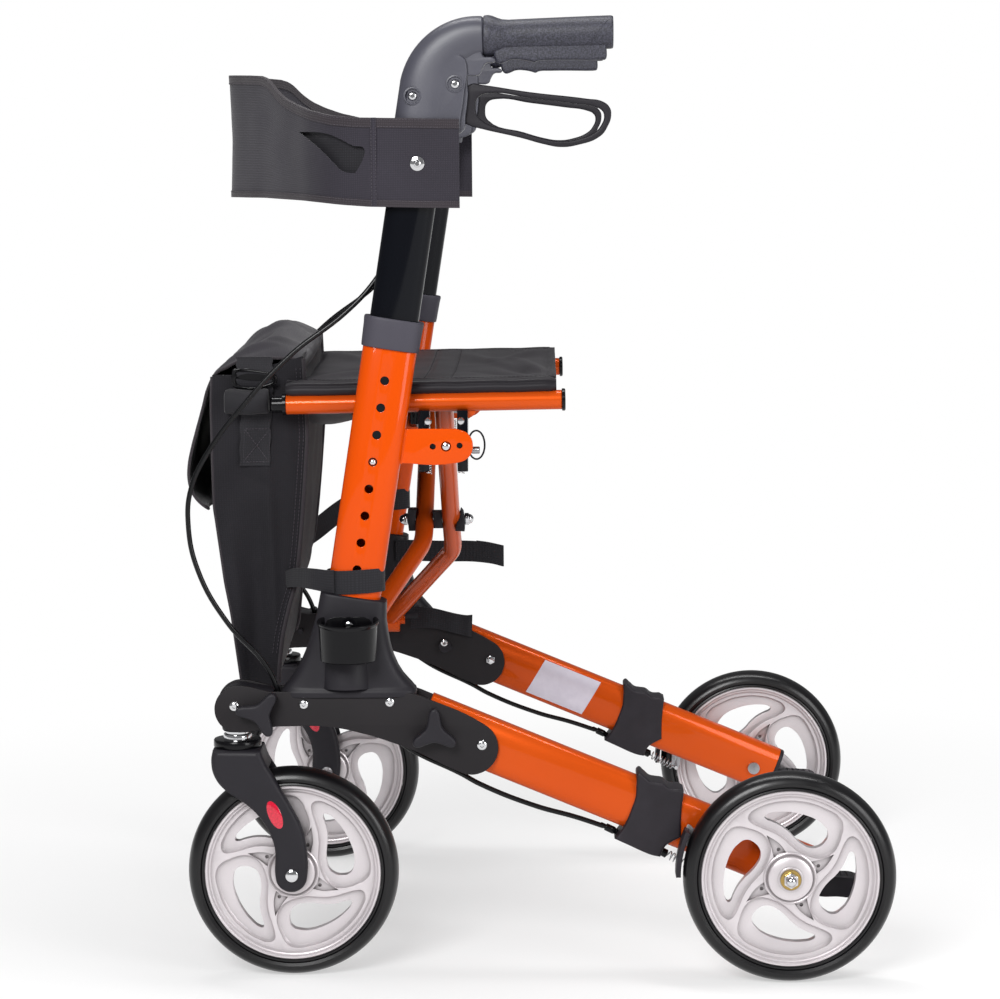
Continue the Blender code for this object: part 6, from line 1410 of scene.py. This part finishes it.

# %% [markdown]
# The seat is one sheet, stretched between the two rails and sewn round each into a flat sleeve. It
# sinks a little between them, two seams cross it, and soft diagonal folds run to its rear corners,
# where the sewn edge pulls. The sleeves stay with their rails as the frame folds.

# %% Seat
SEAT_FRONT, SEAT_REAR, SEAT_EDGE = -0.229, 0.0265, 0.205
SEAT_FOLDS = [
    (0.022, -0.185, -0.01, 0.06, 0.005, 0.009), (0.01, -0.15, -0.035, 0.02, -0.004, 0.01),
    (0.018, 0.18, -0.03, 0.05, 0.005, 0.011), (-0.068, 0.15, -0.01, -0.06, 0.0034, 0.012),
    (-0.05, -0.08, 0.0, -0.18, -0.0026, 0.009), (-0.21, -0.19, -0.15, -0.06, 0.0044, 0.012),
    (-0.215, -0.1, -0.14, 0.05, -0.0036, 0.012), (-0.215, 0.185, -0.16, 0.06, 0.004, 0.012),
    (-0.0975, -0.3, -0.0975, 0.3, -0.0011, 0.0014), (-0.0745, -0.3, -0.0745, 0.3, -0.0011, 0.0014),
    (-0.3, -0.199, 0.1, -0.199, -0.0012, 0.0016), (-0.3, 0.199, 0.1, 0.199, -0.0012, 0.0016),
]


def seat_at(x, y):
    """A point of the seat's middle surface."""
    share = y / SEAT_EDGE
    sag = -0.0042 * (1 - share * share) * (0.75 + 0.25 * math.cos((x + 0.1) * 12))
    end = min(x - SEAT_FRONT, SEAT_REAR - x)
    curl = 0.001 * math.exp(-(end / 0.004) ** 2) - 0.0016 * math.exp(-((end - 0.009) / 0.003) ** 2)
    drift = 0.0008 * noise.noise(Vector((x * 30, y * 22, 0.3)))
    flat = 1 - abs(share) ** 14
    folds = crease(x, y, SEAT_FOLDS) if flat > 0.02 else 0
    return RAIL_DIP @ Vector((x, y, 0.5655 + (sag + drift + curl) * flat + folds))


def steps_of(low, high, count):
    """Evenly spaced values from low to high."""
    return [low + (high - low) * i / (count - 1) for i in range(count)]


rows = [[seat_at(x, y) for x in steps_of(SEAT_FRONT, SEAT_REAR, 130)] for y in steps_of(-SEAT_EDGE, SEAT_EDGE, 150)]
seat, size = sheet("seat_sheet", rows, 0.002)
finish(seat, SEAT_CLOTH, None, ["seat_fabric"], 60)
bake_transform(seat)
stitch_lines = [[seat_at(x, y) + Vector((0, 0, 0.0011)) for x in steps_of(SEAT_FRONT + 0.004, SEAT_REAR - 0.004, 60)]
                for y in (-0.1972, 0.1972)]
stitch_lines += [[seat_at(x, y) + Vector((0, 0, 0.0011)) for y in steps_of(-0.196, 0.196, 60)]
                 for x in (-0.0992, -0.0728)]
seat_thread = sewn("seat_thread", stitch_lines)
finish(seat_thread, WEBBING, None, angle=0)
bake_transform(seat_thread)
# across a sleeve: a flat sewn top, a groove under the seam, a fat bead over the rail and a tucked foot
HEM_SECTION = mm([
    (8.9, 7.2), (4, 7.4), (-2, 7.2), (-6.4, 6.6), (-7.8, 5.6), (-7.6, 4.4), (-7, 3.4), (-7.4, 2.4),
    (-8.6, 1.2), (-9.1, -0.4), (-8.9, -2), (-8.2, -3.4), (-7.4, -4.4), (-6.6, -5.2), (-5, -6), (-1, -6.2),
    (5, -6), (8.9, -5.6)])
rings = []
for i in range(44):
    x = SEAT_FRONT + (SEAT_REAR - SEAT_FRONT) * i / 43
    wave = 0.0006 * noise.noise(Vector((x * 40, 0, 0)))
    end = 0.75 if i in (0, 43) else 1.0
    rings.append([(x, -0.21375 + a * end, 0.559 + wave + b * end) for a, b in HEM_SECTION])
hem = dipped(lofted("seat_hem", rings))
other = mirrored(hem, "seat_hem_right")
hem.name = "seat_hem_left"
for piece, body in ((hem, "rear_brace"), (other, "front_brace")):
    finish(piece, SEAT_CLOTH, body, angle=50)
print("seat", [round(v, 3) for v in size])

# %% [markdown]
# The backrest is a band of doubled cloth bolted to both handles. It runs straight along each side and
# bows forward between them, where it is higher. All its layers follow one line, so one function lays a
# layer between two heights at a distance outside or inside that line: the band, the folded tape that
# binds its edges, and the webbing inside it that carries the load and shows through the side openings.

# %% Backrest band
BAND_Y, BAND_END = 0.2643, -0.062
TOP_EDGE = mm([
    (-297, 853), (-271, 851.5), (-257, 850.4), (-250, 848), (-245.5, 844.2), (-238.1, 835.7), (-229.5, 828.2),
    (-217.7, 822.1), (-202.6, 816.2), (-181.6, 811.2), (-157.8, 809), (-62, 807)])
FOOT_EDGE = mm([
    (-297, 733.2), (-252.8, 734), (-225.5, 733.4), (-206.3, 732.9), (-188.5, 731.5), (-171.7, 729.8),
    (-145.6, 728), (-103.5, 726.9), (-62, 726.2)])
BOW = mm([
    (-264.3, -142), (-264.3, -148), (-250, -180), (-225, -201), (-190, -219), (-145, -240), (-110, -256),
    (-75, -273), (-30, -292.5), (0, -296.5)])
BOW = flowing([(x, y, 0) for y, x in BOW], 50)
BOW += [Vector((p.x, -p.y, 0)) for p in reversed(BOW[:-1])]
BAND_PATH = [(x, -1.0, 0.0) for x in steps_of(BAND_END, BOW[0].x + 0.004, 16)]
for before, spot, after in zip(BOW, BOW[1:], BOW[2:]):
    BAND_PATH.append((spot.x, spot.y / BAND_Y, math.atan2((after - before).y, -(after - before).x)))
BAND_PATH += [(x, 1.0, math.pi) for x, _, _ in reversed(BAND_PATH[:16])]


def band_at(x, side, turn, out, z):
    """A point of the band, at a distance out from its middle line."""
    bend = 0.0009 * noise.noise(Vector((x * 22, side * 6, z * 26))) * min(1, (z - 0.726) * 90)
    hollow = 0.003 * math.sin(min(turn, math.pi - turn) / 0.6) * (0.5 - abs((z - 0.79) / 0.12))
    out += bend - hollow * (0.02 < turn < 3.12)
    out = min(out, 0.0016) if turn in (0.0, math.pi) else out
    return Vector((x - out * math.sin(turn), side * BAND_Y - out * math.cos(turn), z))


def band_layer(name, low, high, out, thick, tall, part=BAND_PATH):
    """One layer of the band. low and high give its heights from x, the foot edge and the top edge."""
    rows = []
    for x, side, turn in part:
        foot, top = between(FOOT_EDGE, x), between(TOP_EDGE, x)
        rows.append([band_at(x, side, turn, out, low(foot, top) + (high(foot, top) - low(foot, top)) * i / tall)
                     for i in range(tall + 1)])
    return sheet(name, rows, thick)


OPENING = mm([
    (-214, 796.6, True), (-199, 796.4), (-185, 794.8), (-171.7, 789.5), (-160.3, 783.8), (-149.6, 780.8),
    (-150.5, 772.2), (-157.8, 758.8, True), (-164.3, 758.8), (-171.7, 761.3), (-179.8, 769.1), (-195.5, 783.4)])
band, band_size = band_layer("band_cloth", lambda f, t: f + 0.001, lambda f, t: t - 0.001, 0, 0.002, 22)
for side in (-1, 1):
    carve(band, outline_plate("cutter", [OPENING], 0.11, side * (BAND_Y - 0.04), edge=0.0001, rounds=0))
top_tape, _ = band_layer("band_top_tape", lambda f, t: t - 0.0085, lambda f, t: t + 0.0004, 0, 0.0034, 4)
foot_tape, _ = band_layer("band_foot_tape", lambda f, t: f - 0.0004, lambda f, t: f + 0.006, 0, 0.0032, 3)
webbing, _ = band_layer("band_webbing", lambda f, t: 0.756, lambda f, t: 0.801, -0.0052, 0.0018, 6, BAND_PATH[8:-8])
threads = [[band_at(x, side, turn, 0.0018, between(edge, x) + drop) for x, side, turn in BAND_PATH[1:-1]]
           for edge, drop in ((TOP_EDGE, -0.001), (TOP_EDGE, -0.0076), (FOOT_EDGE, 0.0052))]
layers = [band, top_tape, foot_tape, webbing, sewn("band_thread", threads, 0.0036)]
for piece, material in zip(layers, (BAND_CLOTH, BINDING, BINDING, WEBBING, THREAD)):
    finish(piece, material, "left_handle", ["backrest_band"] if piece is band else (), 50)
    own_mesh(piece)
print("band", [round(v, 3) for v in band_size])

# %% [markdown]
# Behind each handle the band's end is sewn down twice, which leaves a narrow raised strip, and one
# socket screw with a wide washer holds it to the elbow.

# %% Band seams and screws
rows = [[(x, -BAND_Y - 0.0016 - 0.0005 * (0 < i < 3), z) for i, x in enumerate((-0.1436, -0.1424, -0.1396, -0.1384))]
        for z in steps_of(0.7275, 0.8092, 24)]
both_sides(sheet("band_seam", rows, 0.001)[0], BAND_CLOTH, "handle", angle=50)
rows = [[(x, -BAND_Y - 0.0026, z) for z in steps_of(0.7285, 0.808, 12)] for x in (-0.143, -0.139)]
both_sides(sewn("band_seam_thread", rows, 0.0032), THREAD, "handle", angle=0)
washer = spun("band_washer", mm([(3.4, 0), (6.6, 0), (7, 0.4), (6.6, 1.2), (5, 1.8), (3.4, 2)]),
              (-0.1007, -BAND_Y - 0.001, 0.7668), steps=48, closed=True)
both_sides(washer, CHROME, "handle", angle=30)
screw = screw_head("band_screw", -0.1007, 0.7668, -BAND_Y - 0.002, 0.0038, 0.0022, 0.6)
both_sides(screw, CHROME, "handle", angle=30)

# %% [markdown]
# The bag hangs between the rail ends in front of the seat. It is sewn from a long piece that makes its
# back, floor and front, two side panels, and a flap. Soft nylon doesn't keep a box's shape: the front
# sags forward, the floor hangs down, each side panel folds inwards along its middle, and the flap
# humps over the top and swells away from the front. So every row of points is its own smooth line,
# blended between the shape at the bag's ends and the one at its middle.

# %% Bag body
BAG_Y, BAG_SKEW = 0.192, 0.01  # the bag hangs slightly askew, with its right end further forward
WRINKLE_SEED = 1795681927  # without a seed, vector noise draws other wrinkles in each run
noise.seed_set(WRINKLE_SEED)
BAG_REAR = mm([
    (255, -250), (270, -244), (300, -241.1), (319, -238.4), (345.5, -232), (367, -225.2), (403, -220.9),
    (439, -217.5), (475, -214.6), (510.5, -212.1), (546, -213.5), (585, -215)])
BAG_FRONT = mm([
    (255, -274.5), (273, -277.4), (305, -281.5), (338.6, -285.8), (370, -291.5), (401.1, -295.4),
    (442, -300.7), (487.3, -301.5), (535, -301.8), (566, -300.8)])


def flattened(piece):
    """Gives a piece of the bag its own mesh."""
    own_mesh(piece)
    return piece


def across_bag(piece, material, stands_for=()):
    """Finishes a piece that spans the bag: skews it with the bag and carries it on the left frame."""
    for point in piece.data.vertices:
        point.co.x -= BAG_SKEW * (point.co.y + BAG_Y) / (2 * BAG_Y)
    flattened(finish(piece, material, "left_frame", stands_for, 60))


def wrinkled(point, amount, seed, scale=(16, 16, 16)):
    """A point moved by slow noise, which stands for the small unevenness of hanging cloth."""
    spot = Vector((point[0] * scale[0], point[1] * scale[1], point[2] * scale[2] + seed))
    return Vector(point) + amount * noise.noise_vector(spot)


rear_line = mm([
    (-215, 585), (-213.5, 546), (-212.1, 510.5), (-214.6, 475), (-217.5, 439), (-220.9, 403), (-225.2, 367),
    (-232, 345.5), (-238.4, 319), (-241.1, 300), (-245, 272)])
floor_line = mm([(-250, 259), (-260, 255), (-272, 259)])
front_line = mm([
    (-277.4, 273.3), (-281.5, 305), (-285.8, 338.6), (-291.5, 370), (-295.4, 401.1), (-300.7, 441.9),
    (-301.5, 487.3), (-301.8, 535), (-300.8, 566)])
round_line = flowing([(x, 0, z) for x, z in rear_line + floor_line + front_line], 120)
rows = []
for share in steps_of(-1, 1, 70):
    slack, row = 1 - share ** 2, []
    for spot in round_line:
        front = min(1, max(0, (-0.255 - spot.x) / 0.02)) * math.sin(math.pi * min(1, max(0, (spot.z - 0.255) / 0.32)))
        rear = min(1, max(0, (spot.x + 0.245) / 0.02)) * math.sin(math.pi * min(1, max(0, (spot.z - 0.27) / 0.3)))
        low = max(0, 1 - (spot.z - 0.255) / 0.05)
        x = spot.x - 0.01 * front * slack + 0.004 * rear * slack
        row.append(wrinkled((x, share * BAG_Y, spot.z - 0.005 * low * slack), 0.003 * slack ** 0.5, 1.7))
    rows.append(row)
wrap, wrap_size = sheet("bag_wrap", rows, 0.0014)
across_bag(wrap, BAG_CLOTH, ["bag"])

SIDE_FOLDS = [
    (-0.262, 0.43, -0.262, 0.255, -0.0085, 0.015), (-0.25, 0.5, -0.245, 0.3, 0.0042, 0.006),
    (-0.275, 0.475, -0.232, 0.452, -0.0018, 0.006), (-0.29, 0.44, -0.27, 0.3, 0.002, 0.007),
    (-0.236, 0.56, -0.221, 0.44, 0.0016, 0.006), (-0.285, 0.4, -0.25, 0.35, -0.0014, 0.007),
]


def side_at(x, z, share):
    """A point of the left side panel; share runs from its front edge to its rear one."""
    edge = min(1.0, 5 * min(share, 1 - share))
    return wrinkled((x, -BAG_Y - 0.0012 - edge * crease(x, z, SIDE_FOLDS), z), 0.0012 * edge, 4.1, (26, 26, 14))


rows = []
for z in steps_of(0.256, 0.585, 110):
    front, rear = between(BAG_FRONT, z), between(BAG_REAR, z)
    rows.append([side_at(front + (rear - front) * s, min(z, 0.5672 + 0.0178 * max(0, (s - 0.2) / 0.8)), s)
                 for s in steps_of(0, 1, 44)])
side_panel, side_size = sheet("bag_side", rows, 0.0014)


def down_side(edge, inset, out, low, high, count):
    """A line up the left side panel, at an inset from one of its edges."""
    return [(between(edge, z) + inset, -BAG_Y - out, z) for z in steps_of(low, high, count)]


seams = [strand("bag_rear_seam", down_side(BAG_REAR, 0.0012, 0.001, 0.262, 0.583, 30), 0.0021),
         strand("bag_front_seam", down_side(BAG_FRONT, -0.0004, 0.0006, 0.262, 0.566, 30), 0.0016)]
threads = sewn("bag_side_thread", [down_side(BAG_REAR, inset, out, 0.3, 0.575, 40)
                                   for inset, out in ((-0.0062, 0.0026), (-0.0024, 0.0024))], 0.0036)


def on_ends(piece, material, angle=50, skew=BAG_SKEW):
    """Finishes a piece of the bag's left end and its mirror image on the right end."""
    other = mirrored(piece, piece.name + "_right")
    other.location.x = -skew
    piece.name += "_left"
    for side in (piece, other):
        flattened(finish(side, material, "left_frame", angle=angle, slot="black_cloth"))
    return piece, other


pair = on_ends(side_panel, BAG_CLOTH)
trims = [on_ends(piece, BINDING) for piece in seams] + [on_ends(threads, THREAD, 0)]
print("bag wrap", [round(v, 3) for v in wrap_size], "side", [round(v, 3) for v in side_size])

# %% [markdown]
# The flap is one free sheet. It is sewn along the bag's rear edge, humps over what is inside, and falls
# down the front to a rounded edge. At its ends it lies flat on the side panels' top, and between them
# it rises, so its rows change from a flat line to a high one in the first few centimetres. Diagonal
# folds run from the buckles up to the hump.

# %% Bag flap
FLAP_MIDDLE = mm([
    (-212.5, 573), (-210, 585), (-218, 595), (-237, 605.5), (-254, 600), (-272, 589), (-288, 577), (-304, 561),
    (-317, 534), (-327, 506), (-332.5, 478), (-330, 458), (-322.5, 444), (-313, 437)])
FLAP_END = mm([
    (-215, 573), (-214.2, 579), (-223, 582.2), (-240, 583), (-256, 583.2), (-272, 581.5), (-287, 574.5),
    (-301, 565), (-309.5, 540), (-317.5, 512), (-324.5, 485), (-325, 464), (-319, 449), (-309, 440)])
FLAP_FOLDS = [
    (0.24, 0.1, 0.52, 0.03, 0.0075, 0.02), (0.08, 0.26, 0.34, 0.08, 0.006, 0.022),
    (0.3, 0.3, 0.46, 0.1, -0.006, 0.022), (0.1, 0.5, 0.4, 0.34, 0.0065, 0.03),
    (0.6, 0.05, 0.85, 0.3, -0.0026, 0.03), (0.55, 0.55, 0.95, 0.45, 0.0026, 0.035),
    (0.08, 0.78, 0.38, 0.62, 0.0065, 0.028), (0.26, 0.98, 0.46, 0.8, 0.006, 0.022),
    (0.6, 0.95, 0.85, 0.72, -0.0026, 0.03),
]
middle_line = flowing([(x, 0, z) for x, z in FLAP_MIDDLE], 110)
end_line = flowing([(x, 0, z) for x, z in FLAP_END], 110)
rows = []
for share in steps_of(-1, 1, 110):
    rise, row = 1 - abs(share) ** 5, []
    for number, (high, flat) in enumerate(zip(middle_line, end_line)):
        along = number / 109
        spot = flat.lerp(high, rise * (0.86 + 0.14 * math.cos(share * 5.0 + 0.8)))
        lift = crease(along, (share + 1) / 2, FLAP_FOLDS) * (1 - abs(share) ** 8)
        out = Vector((-0.75, 0, 0.66)) * lift * (1 if along > 0.06 else 0)
        droop = 0.004 * max(0, along - 0.8) * 5 * (1 - abs(share) ** 3)
        spot = Vector((spot.x, share * (BAG_Y - 0.003 - 0.004 * along), spot.z - droop)) + out
        row.append(wrinkled(spot, 0.0034 * (1 - abs(share) ** 8) * min(1, along * 8), 2.3, (20, 13, 20)))
    rows.append(row)
flap, flap_size = sheet("bag_flap", rows, 0.0016)
across_bag(flap, FLAP_CLOTH)
edge = strand("flap_binding", [row[0] for row in rows[::8]], 0.0011)
hem_line = rows[0][8::6] + [row[-1] for row in rows[::5]] + rows[-1][109:8:-6]
binding = strand("flap_edge", hem_line, 0.0015)
for piece in (edge, binding):
    across_bag(piece, BINDING)
print("flap", [round(v, 3) for v in flap_size])

# %% [markdown]
# On each side panel a webbing comes down from the flap through a plastic ladder buckle and round the
# rail's end, and ends in a patch sewn down with a cross. A broad tab of the same webbing is the sleeve
# that the rail's end sits in.

# %% Buckle, sleeve and patch
rows = []
for z in steps_of(0.545, 0.585, 34):
    arch = 0.0055 * math.sin(math.pi * (0.585 - z) / 0.04) ** 2 * (z > 0.545)
    rows.append([(x + 0.0006 * math.sin(z * 900), -BAG_Y - 0.003 - arch, z) for x in steps_of(-0.277, -0.243, 16)])
webbing = sheet("bag_webbing", rows, 0.0022)
buckle = outline_plate("bag_buckle", [
    mm([(-280.6, 558), (-278, 556.2), (-242, 558), (-238.8, 560.6), (-238.5, 566), (-240, 568.6), (-244, 570),
        (-278, 574.4), (-280.2, 573.6), (-281.2, 570)]),
    mm([(-277, 560), (-243, 561.6), (-242.2, 564), (-277, 565)]),
    mm([(-277, 568), (-243, 566.8), (-244, 568.2), (-276.5, 571.6)]),
], 0.0036, -BAG_Y - 0.0092, edge=0.001)
sleeve = lofted("rail_sleeve", [
    [(x, -0.2045 + a * grow, 0.543 + b * grow + 0.0008 * math.sin(x * 700))
     for a, b in oval(0.023, 0.0235, 28, 0.8)]
    for x, grow in ((-0.288, 0.8), (-0.2872, 0.95), (-0.284, 1.0), (-0.278, 1.03), (-0.27, 1.0), (-0.262, 0.98),
                    (-0.256, 1.0), (-0.25, 1.02), (-0.2472, 0.98), (-0.2464, 0.88))])
rows = [[(x - 0.0015 * (0.5202 - z) / 0.039 + 0.0006 * math.sin(z * 300),
          -BAG_Y - 0.0036 + 0.0006 * math.sin(x * 260), z)
         for x in steps_of(-0.2744, -0.2455, 14)] for z in steps_of(0.4811, 0.533, 30)]
patch = sheet("bag_patch", rows, 0.0022)
corners = mm([(-272.2, 485), (-247.8, 485), (-246, 516.5), (-270.4, 516.5)])
ends = zip(corners + corners[:2], corners[1:] + corners[:1] + corners[2:])
lines = [[(x, -BAG_Y - 0.005, z) for x, z in pair] for pair in ends]
cross = sewn("patch_thread", lines, 0.003, 0.00032)
ended = [on_ends(webbing[0], WEBBING), on_ends(buckle, GLOSS_PLASTIC, 30), on_ends(sleeve, WEBBING, 50, 0),
         on_ends(patch[0], WEBBING), on_ends(cross, THREAD, 0)]
print("buckle and patch on both ends")

# %% [markdown]
# A strap from the bag's side runs round each upright above its foot, and holds the bag back against the
# frame. The right one sits about a strap's width higher, and its tail slopes up to it from the bag.

# %% Straps to the uprights
STRAP_LOW, STRAP_HIGH = 0.3668, 0.389
ring = [Vector(p) for p in post_ring(0.378, 0.0536, 0.033, 0, 0.85, 60)]
rows = [[(p.x, p.y, z + 0.0014 * math.sin((p.x + 0.16) * 40)) for z in steps_of(STRAP_LOW, STRAP_HIGH, 8)]
        for p in ring + ring[:1]]
loop, loop_size = sheet("upright_strap", rows, 0.0016)
tail_line = flowing(mm([
    (-183, -260.8, 378.2), (-190, -256, 378), (-203, -248, 379), (-216, -227, 377.5), (-227, -206, 374.5),
    (-233, -195, 371.5)]), 30)
rows = [[(spot.x, spot.y - (z - 0.5) * 0.006 * i / 29, spot.z + (z - 0.5) * (0.0222 - 0.005 * i / 29))
         for z in steps_of(0, 1, 8)] for i, spot in enumerate(tail_line)]
tail, tail_size = sheet("strap_tail", rows, 0.0016)
right_line = flowing(mm([
    (-179, 262.4, 399), (-188, 260, 396.5), (-210.5, 243, 384.5), (-231, 215, 370.5), (-240, 196.2, 365.5)]), 30)
rows = [[spot + Vector((-0.35, 0, 0.94)) * (z - 0.5) * 0.0218 for z in steps_of(0, 1, 8)] for spot in right_line]
right_tail, right_size = sheet("strap_tail_right", rows, 0.0016)
RIGHT_RISE = 0.0205
right_loop = mirrored(loop, "upright_strap_right")
right_loop.location = (RIGHT_RISE * math.tan(LEAN), 0, RIGHT_RISE)
loop.name, tail.name = "upright_strap_left", "strap_tail_left"
for piece, size, way, side in (
        (loop, loop_size, "folded", "left"), (tail, tail_size, "stretched", "left"),
        (right_loop, loop_size, "folded", "right"), (right_tail, right_size, "stretched", "right")):
    finish(piece, WEBBING, side + "_frame", angle=50)
print("straps", [round(v, 3) for v in loop_size + tail_size])

# %% [markdown]
# Small things finish the frame: the big rivet in each bracket, the screw on a black boss inside each
# cup ring, the bolt on its boss on the inner side plates, and the silver label on the right leg, left
# blank. The label is a thin sheet that bends with the tube.

# %% Rivets, screws and label
rivet = spun("bracket_rivet", mm([(0, 3), (1.8, 2.9), (3.3, 2.2), (4.2, 0.8), (4.4, -0.6), (4.4, -3), (0, -3)]),
             (-0.0774, SIDE_Y - 0.001, 0.5034), steps=40)
both_sides(rivet, CHROME, "frame", angle=30)
boss = spun("cup_boss", mm([(4.4, 4.4), (7.8, 4.4), (8.6, 3.6), (8.6, -3), (4.4, -3)]),
            (-0.1694, -0.264, 0.337), steps=40, closed=True)
both_sides(boss, GLOSS_PLASTIC, "frame", angle=30)
both_sides(screw_head("cup_screw", -0.1694, 0.3378, -0.266, 0.0042, 0.0026), CHROME, "frame", angle=30)
bolt = spun("inner_bolt", mm([(0, 2), (2.2, 2.6), (3.6, 2.2), (4.2, 0.8), (4.2, -1), (0, -1)]),
            (-0.0959, -0.2215, 0.2425), axis=(0, 1, 0), steps=40)
cap = spun("inner_boss", mm([(0, 1.2), (6.2, 1.2), (6.8, 0.6), (6.8, -1), (0, -1)]),
           (-0.0954, -0.2205, 0.2385), axis=(0, 1, 0), steps=40)
both_sides(bolt, CHROME, "frame", angle=30)
both_sides(cap, NYLON, "frame", angle=30)

# metallised film: a pale, soft shine. Its roughness drifts where it isn't quite flat, and its colour drifts with it
# between two tones, a painted reflection
LABEL = surface("silver polyester label", None, ("#d8d2dc", "#c4bdca"), 0.32, (2.0, 3.0), (0.24, 0.4),
                scale=(60, 60, 60), Metallic=0.35)
# its top edge lies on the tube's rounding, so its rows follow the tube's oval
square, along = Vector((math.sin(SLOPE), 0, math.cos(SLOPE))), Vector((math.cos(SLOPE), 0, -math.sin(SLOPE)))
rows = []
for across_leg in steps_of(0.0195, -0.0185, 24):
    bend = 0.015 * (1 - (1 - min(1, abs(across_leg) / 0.0253) ** (2 / 0.72)) ** (0.72 / 2))
    start = Vector((0.003 + across_leg * 0.18, 0.2297 + bend, leg_z(0.003))) + square * across_leg
    rows.append([start + along * run for run in steps_of(0, 0.066, 30)])
label = sheet("blank_label", rows, 0.0003)[0]
finish(label, LABEL, "right_frame", angle=40)
print("label", [round(v, 4) for v in rows[0][0]], [round(v, 4) for v in rows[-1][-1]])

# %% [markdown]
# Two loose webbing straps lie along the right side: a short one on the side plate, and the folding
# strap, which doubles back on itself above the leg. The cloth that the bag hangs from shows as a
# shallow trough below the front of the seat. All are sheets laid along a smooth line.

# %% Loose straps and the cloth under the seat
edge_line = flowing(mm([
    (-133, 226.2, 270), (-113, 222.8, 270), (-93, 221.2, 266), (-76, 221.5, 261.8), (-66.2, 222.2, 260.6)]), 40)
rows = []
for i, spot in enumerate(edge_line):
    width, sway = 0.025 - 0.0035 * abs(math.sin(i / 39 * 3)), 0.0006 * math.sin(i * 0.5)
    rows.append([spot + Vector((0.001 * z, sway, (z - 0.5) * width)) for z in steps_of(0, 1, 9)])
strap, strap_size = sheet("side_strap", rows, 0.0018)
finish(strap, WEBBING, "right_frame", angle=50)
loop_line = flowing(mm([
    (-148, 223.6, 343.6), (-133.5, 223.7, 344.1), (-99.8, 225, 342.8), (-67.1, 227.5, 342.3),
    (-45.4, 230, 339.7), (-33, 233, 336.2), (-31.4, 235, 335.7), (-33, 237, 336.2), (-47, 234.5, 339.8),
    (-60, 231.8, 342)]), 60)
rows = [[spot + Vector((0, 0, (z - 0.5) * 0.0228)) for z in steps_of(0, 1, 8)] for spot in loop_line]
folding, folding_size = sheet("folding_strap", rows, 0.0016)
finish(folding, WEBBING, "right_frame", angle=50)
rows = []
for share in steps_of(-1, 1, 60):
    drop = 0.03 * (1 - abs(share) ** 2.4)
    rows.append([wrinkled((x, share * 0.2, 0.541 - drop - 0.0035 * math.sin((x + 0.222) * 70)),
                          0.0016 * (1 - share ** 8), 7.7, (22, 14, 22)) for x in steps_of(-0.216, -0.172, 24)])
under, under_size = sheet("seat_underside", rows, 0.0016)
finish(under, SEAT_CLOTH, None, angle=60)
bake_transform(under)
print("strap", [round(v, 3) for v in strap_size], "underside", [round(v, 3) for v in under_size])

# %% Finish
low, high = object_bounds()
print("shown box", [round(v, 4) for v in low], [round(v, 4) for v in high])
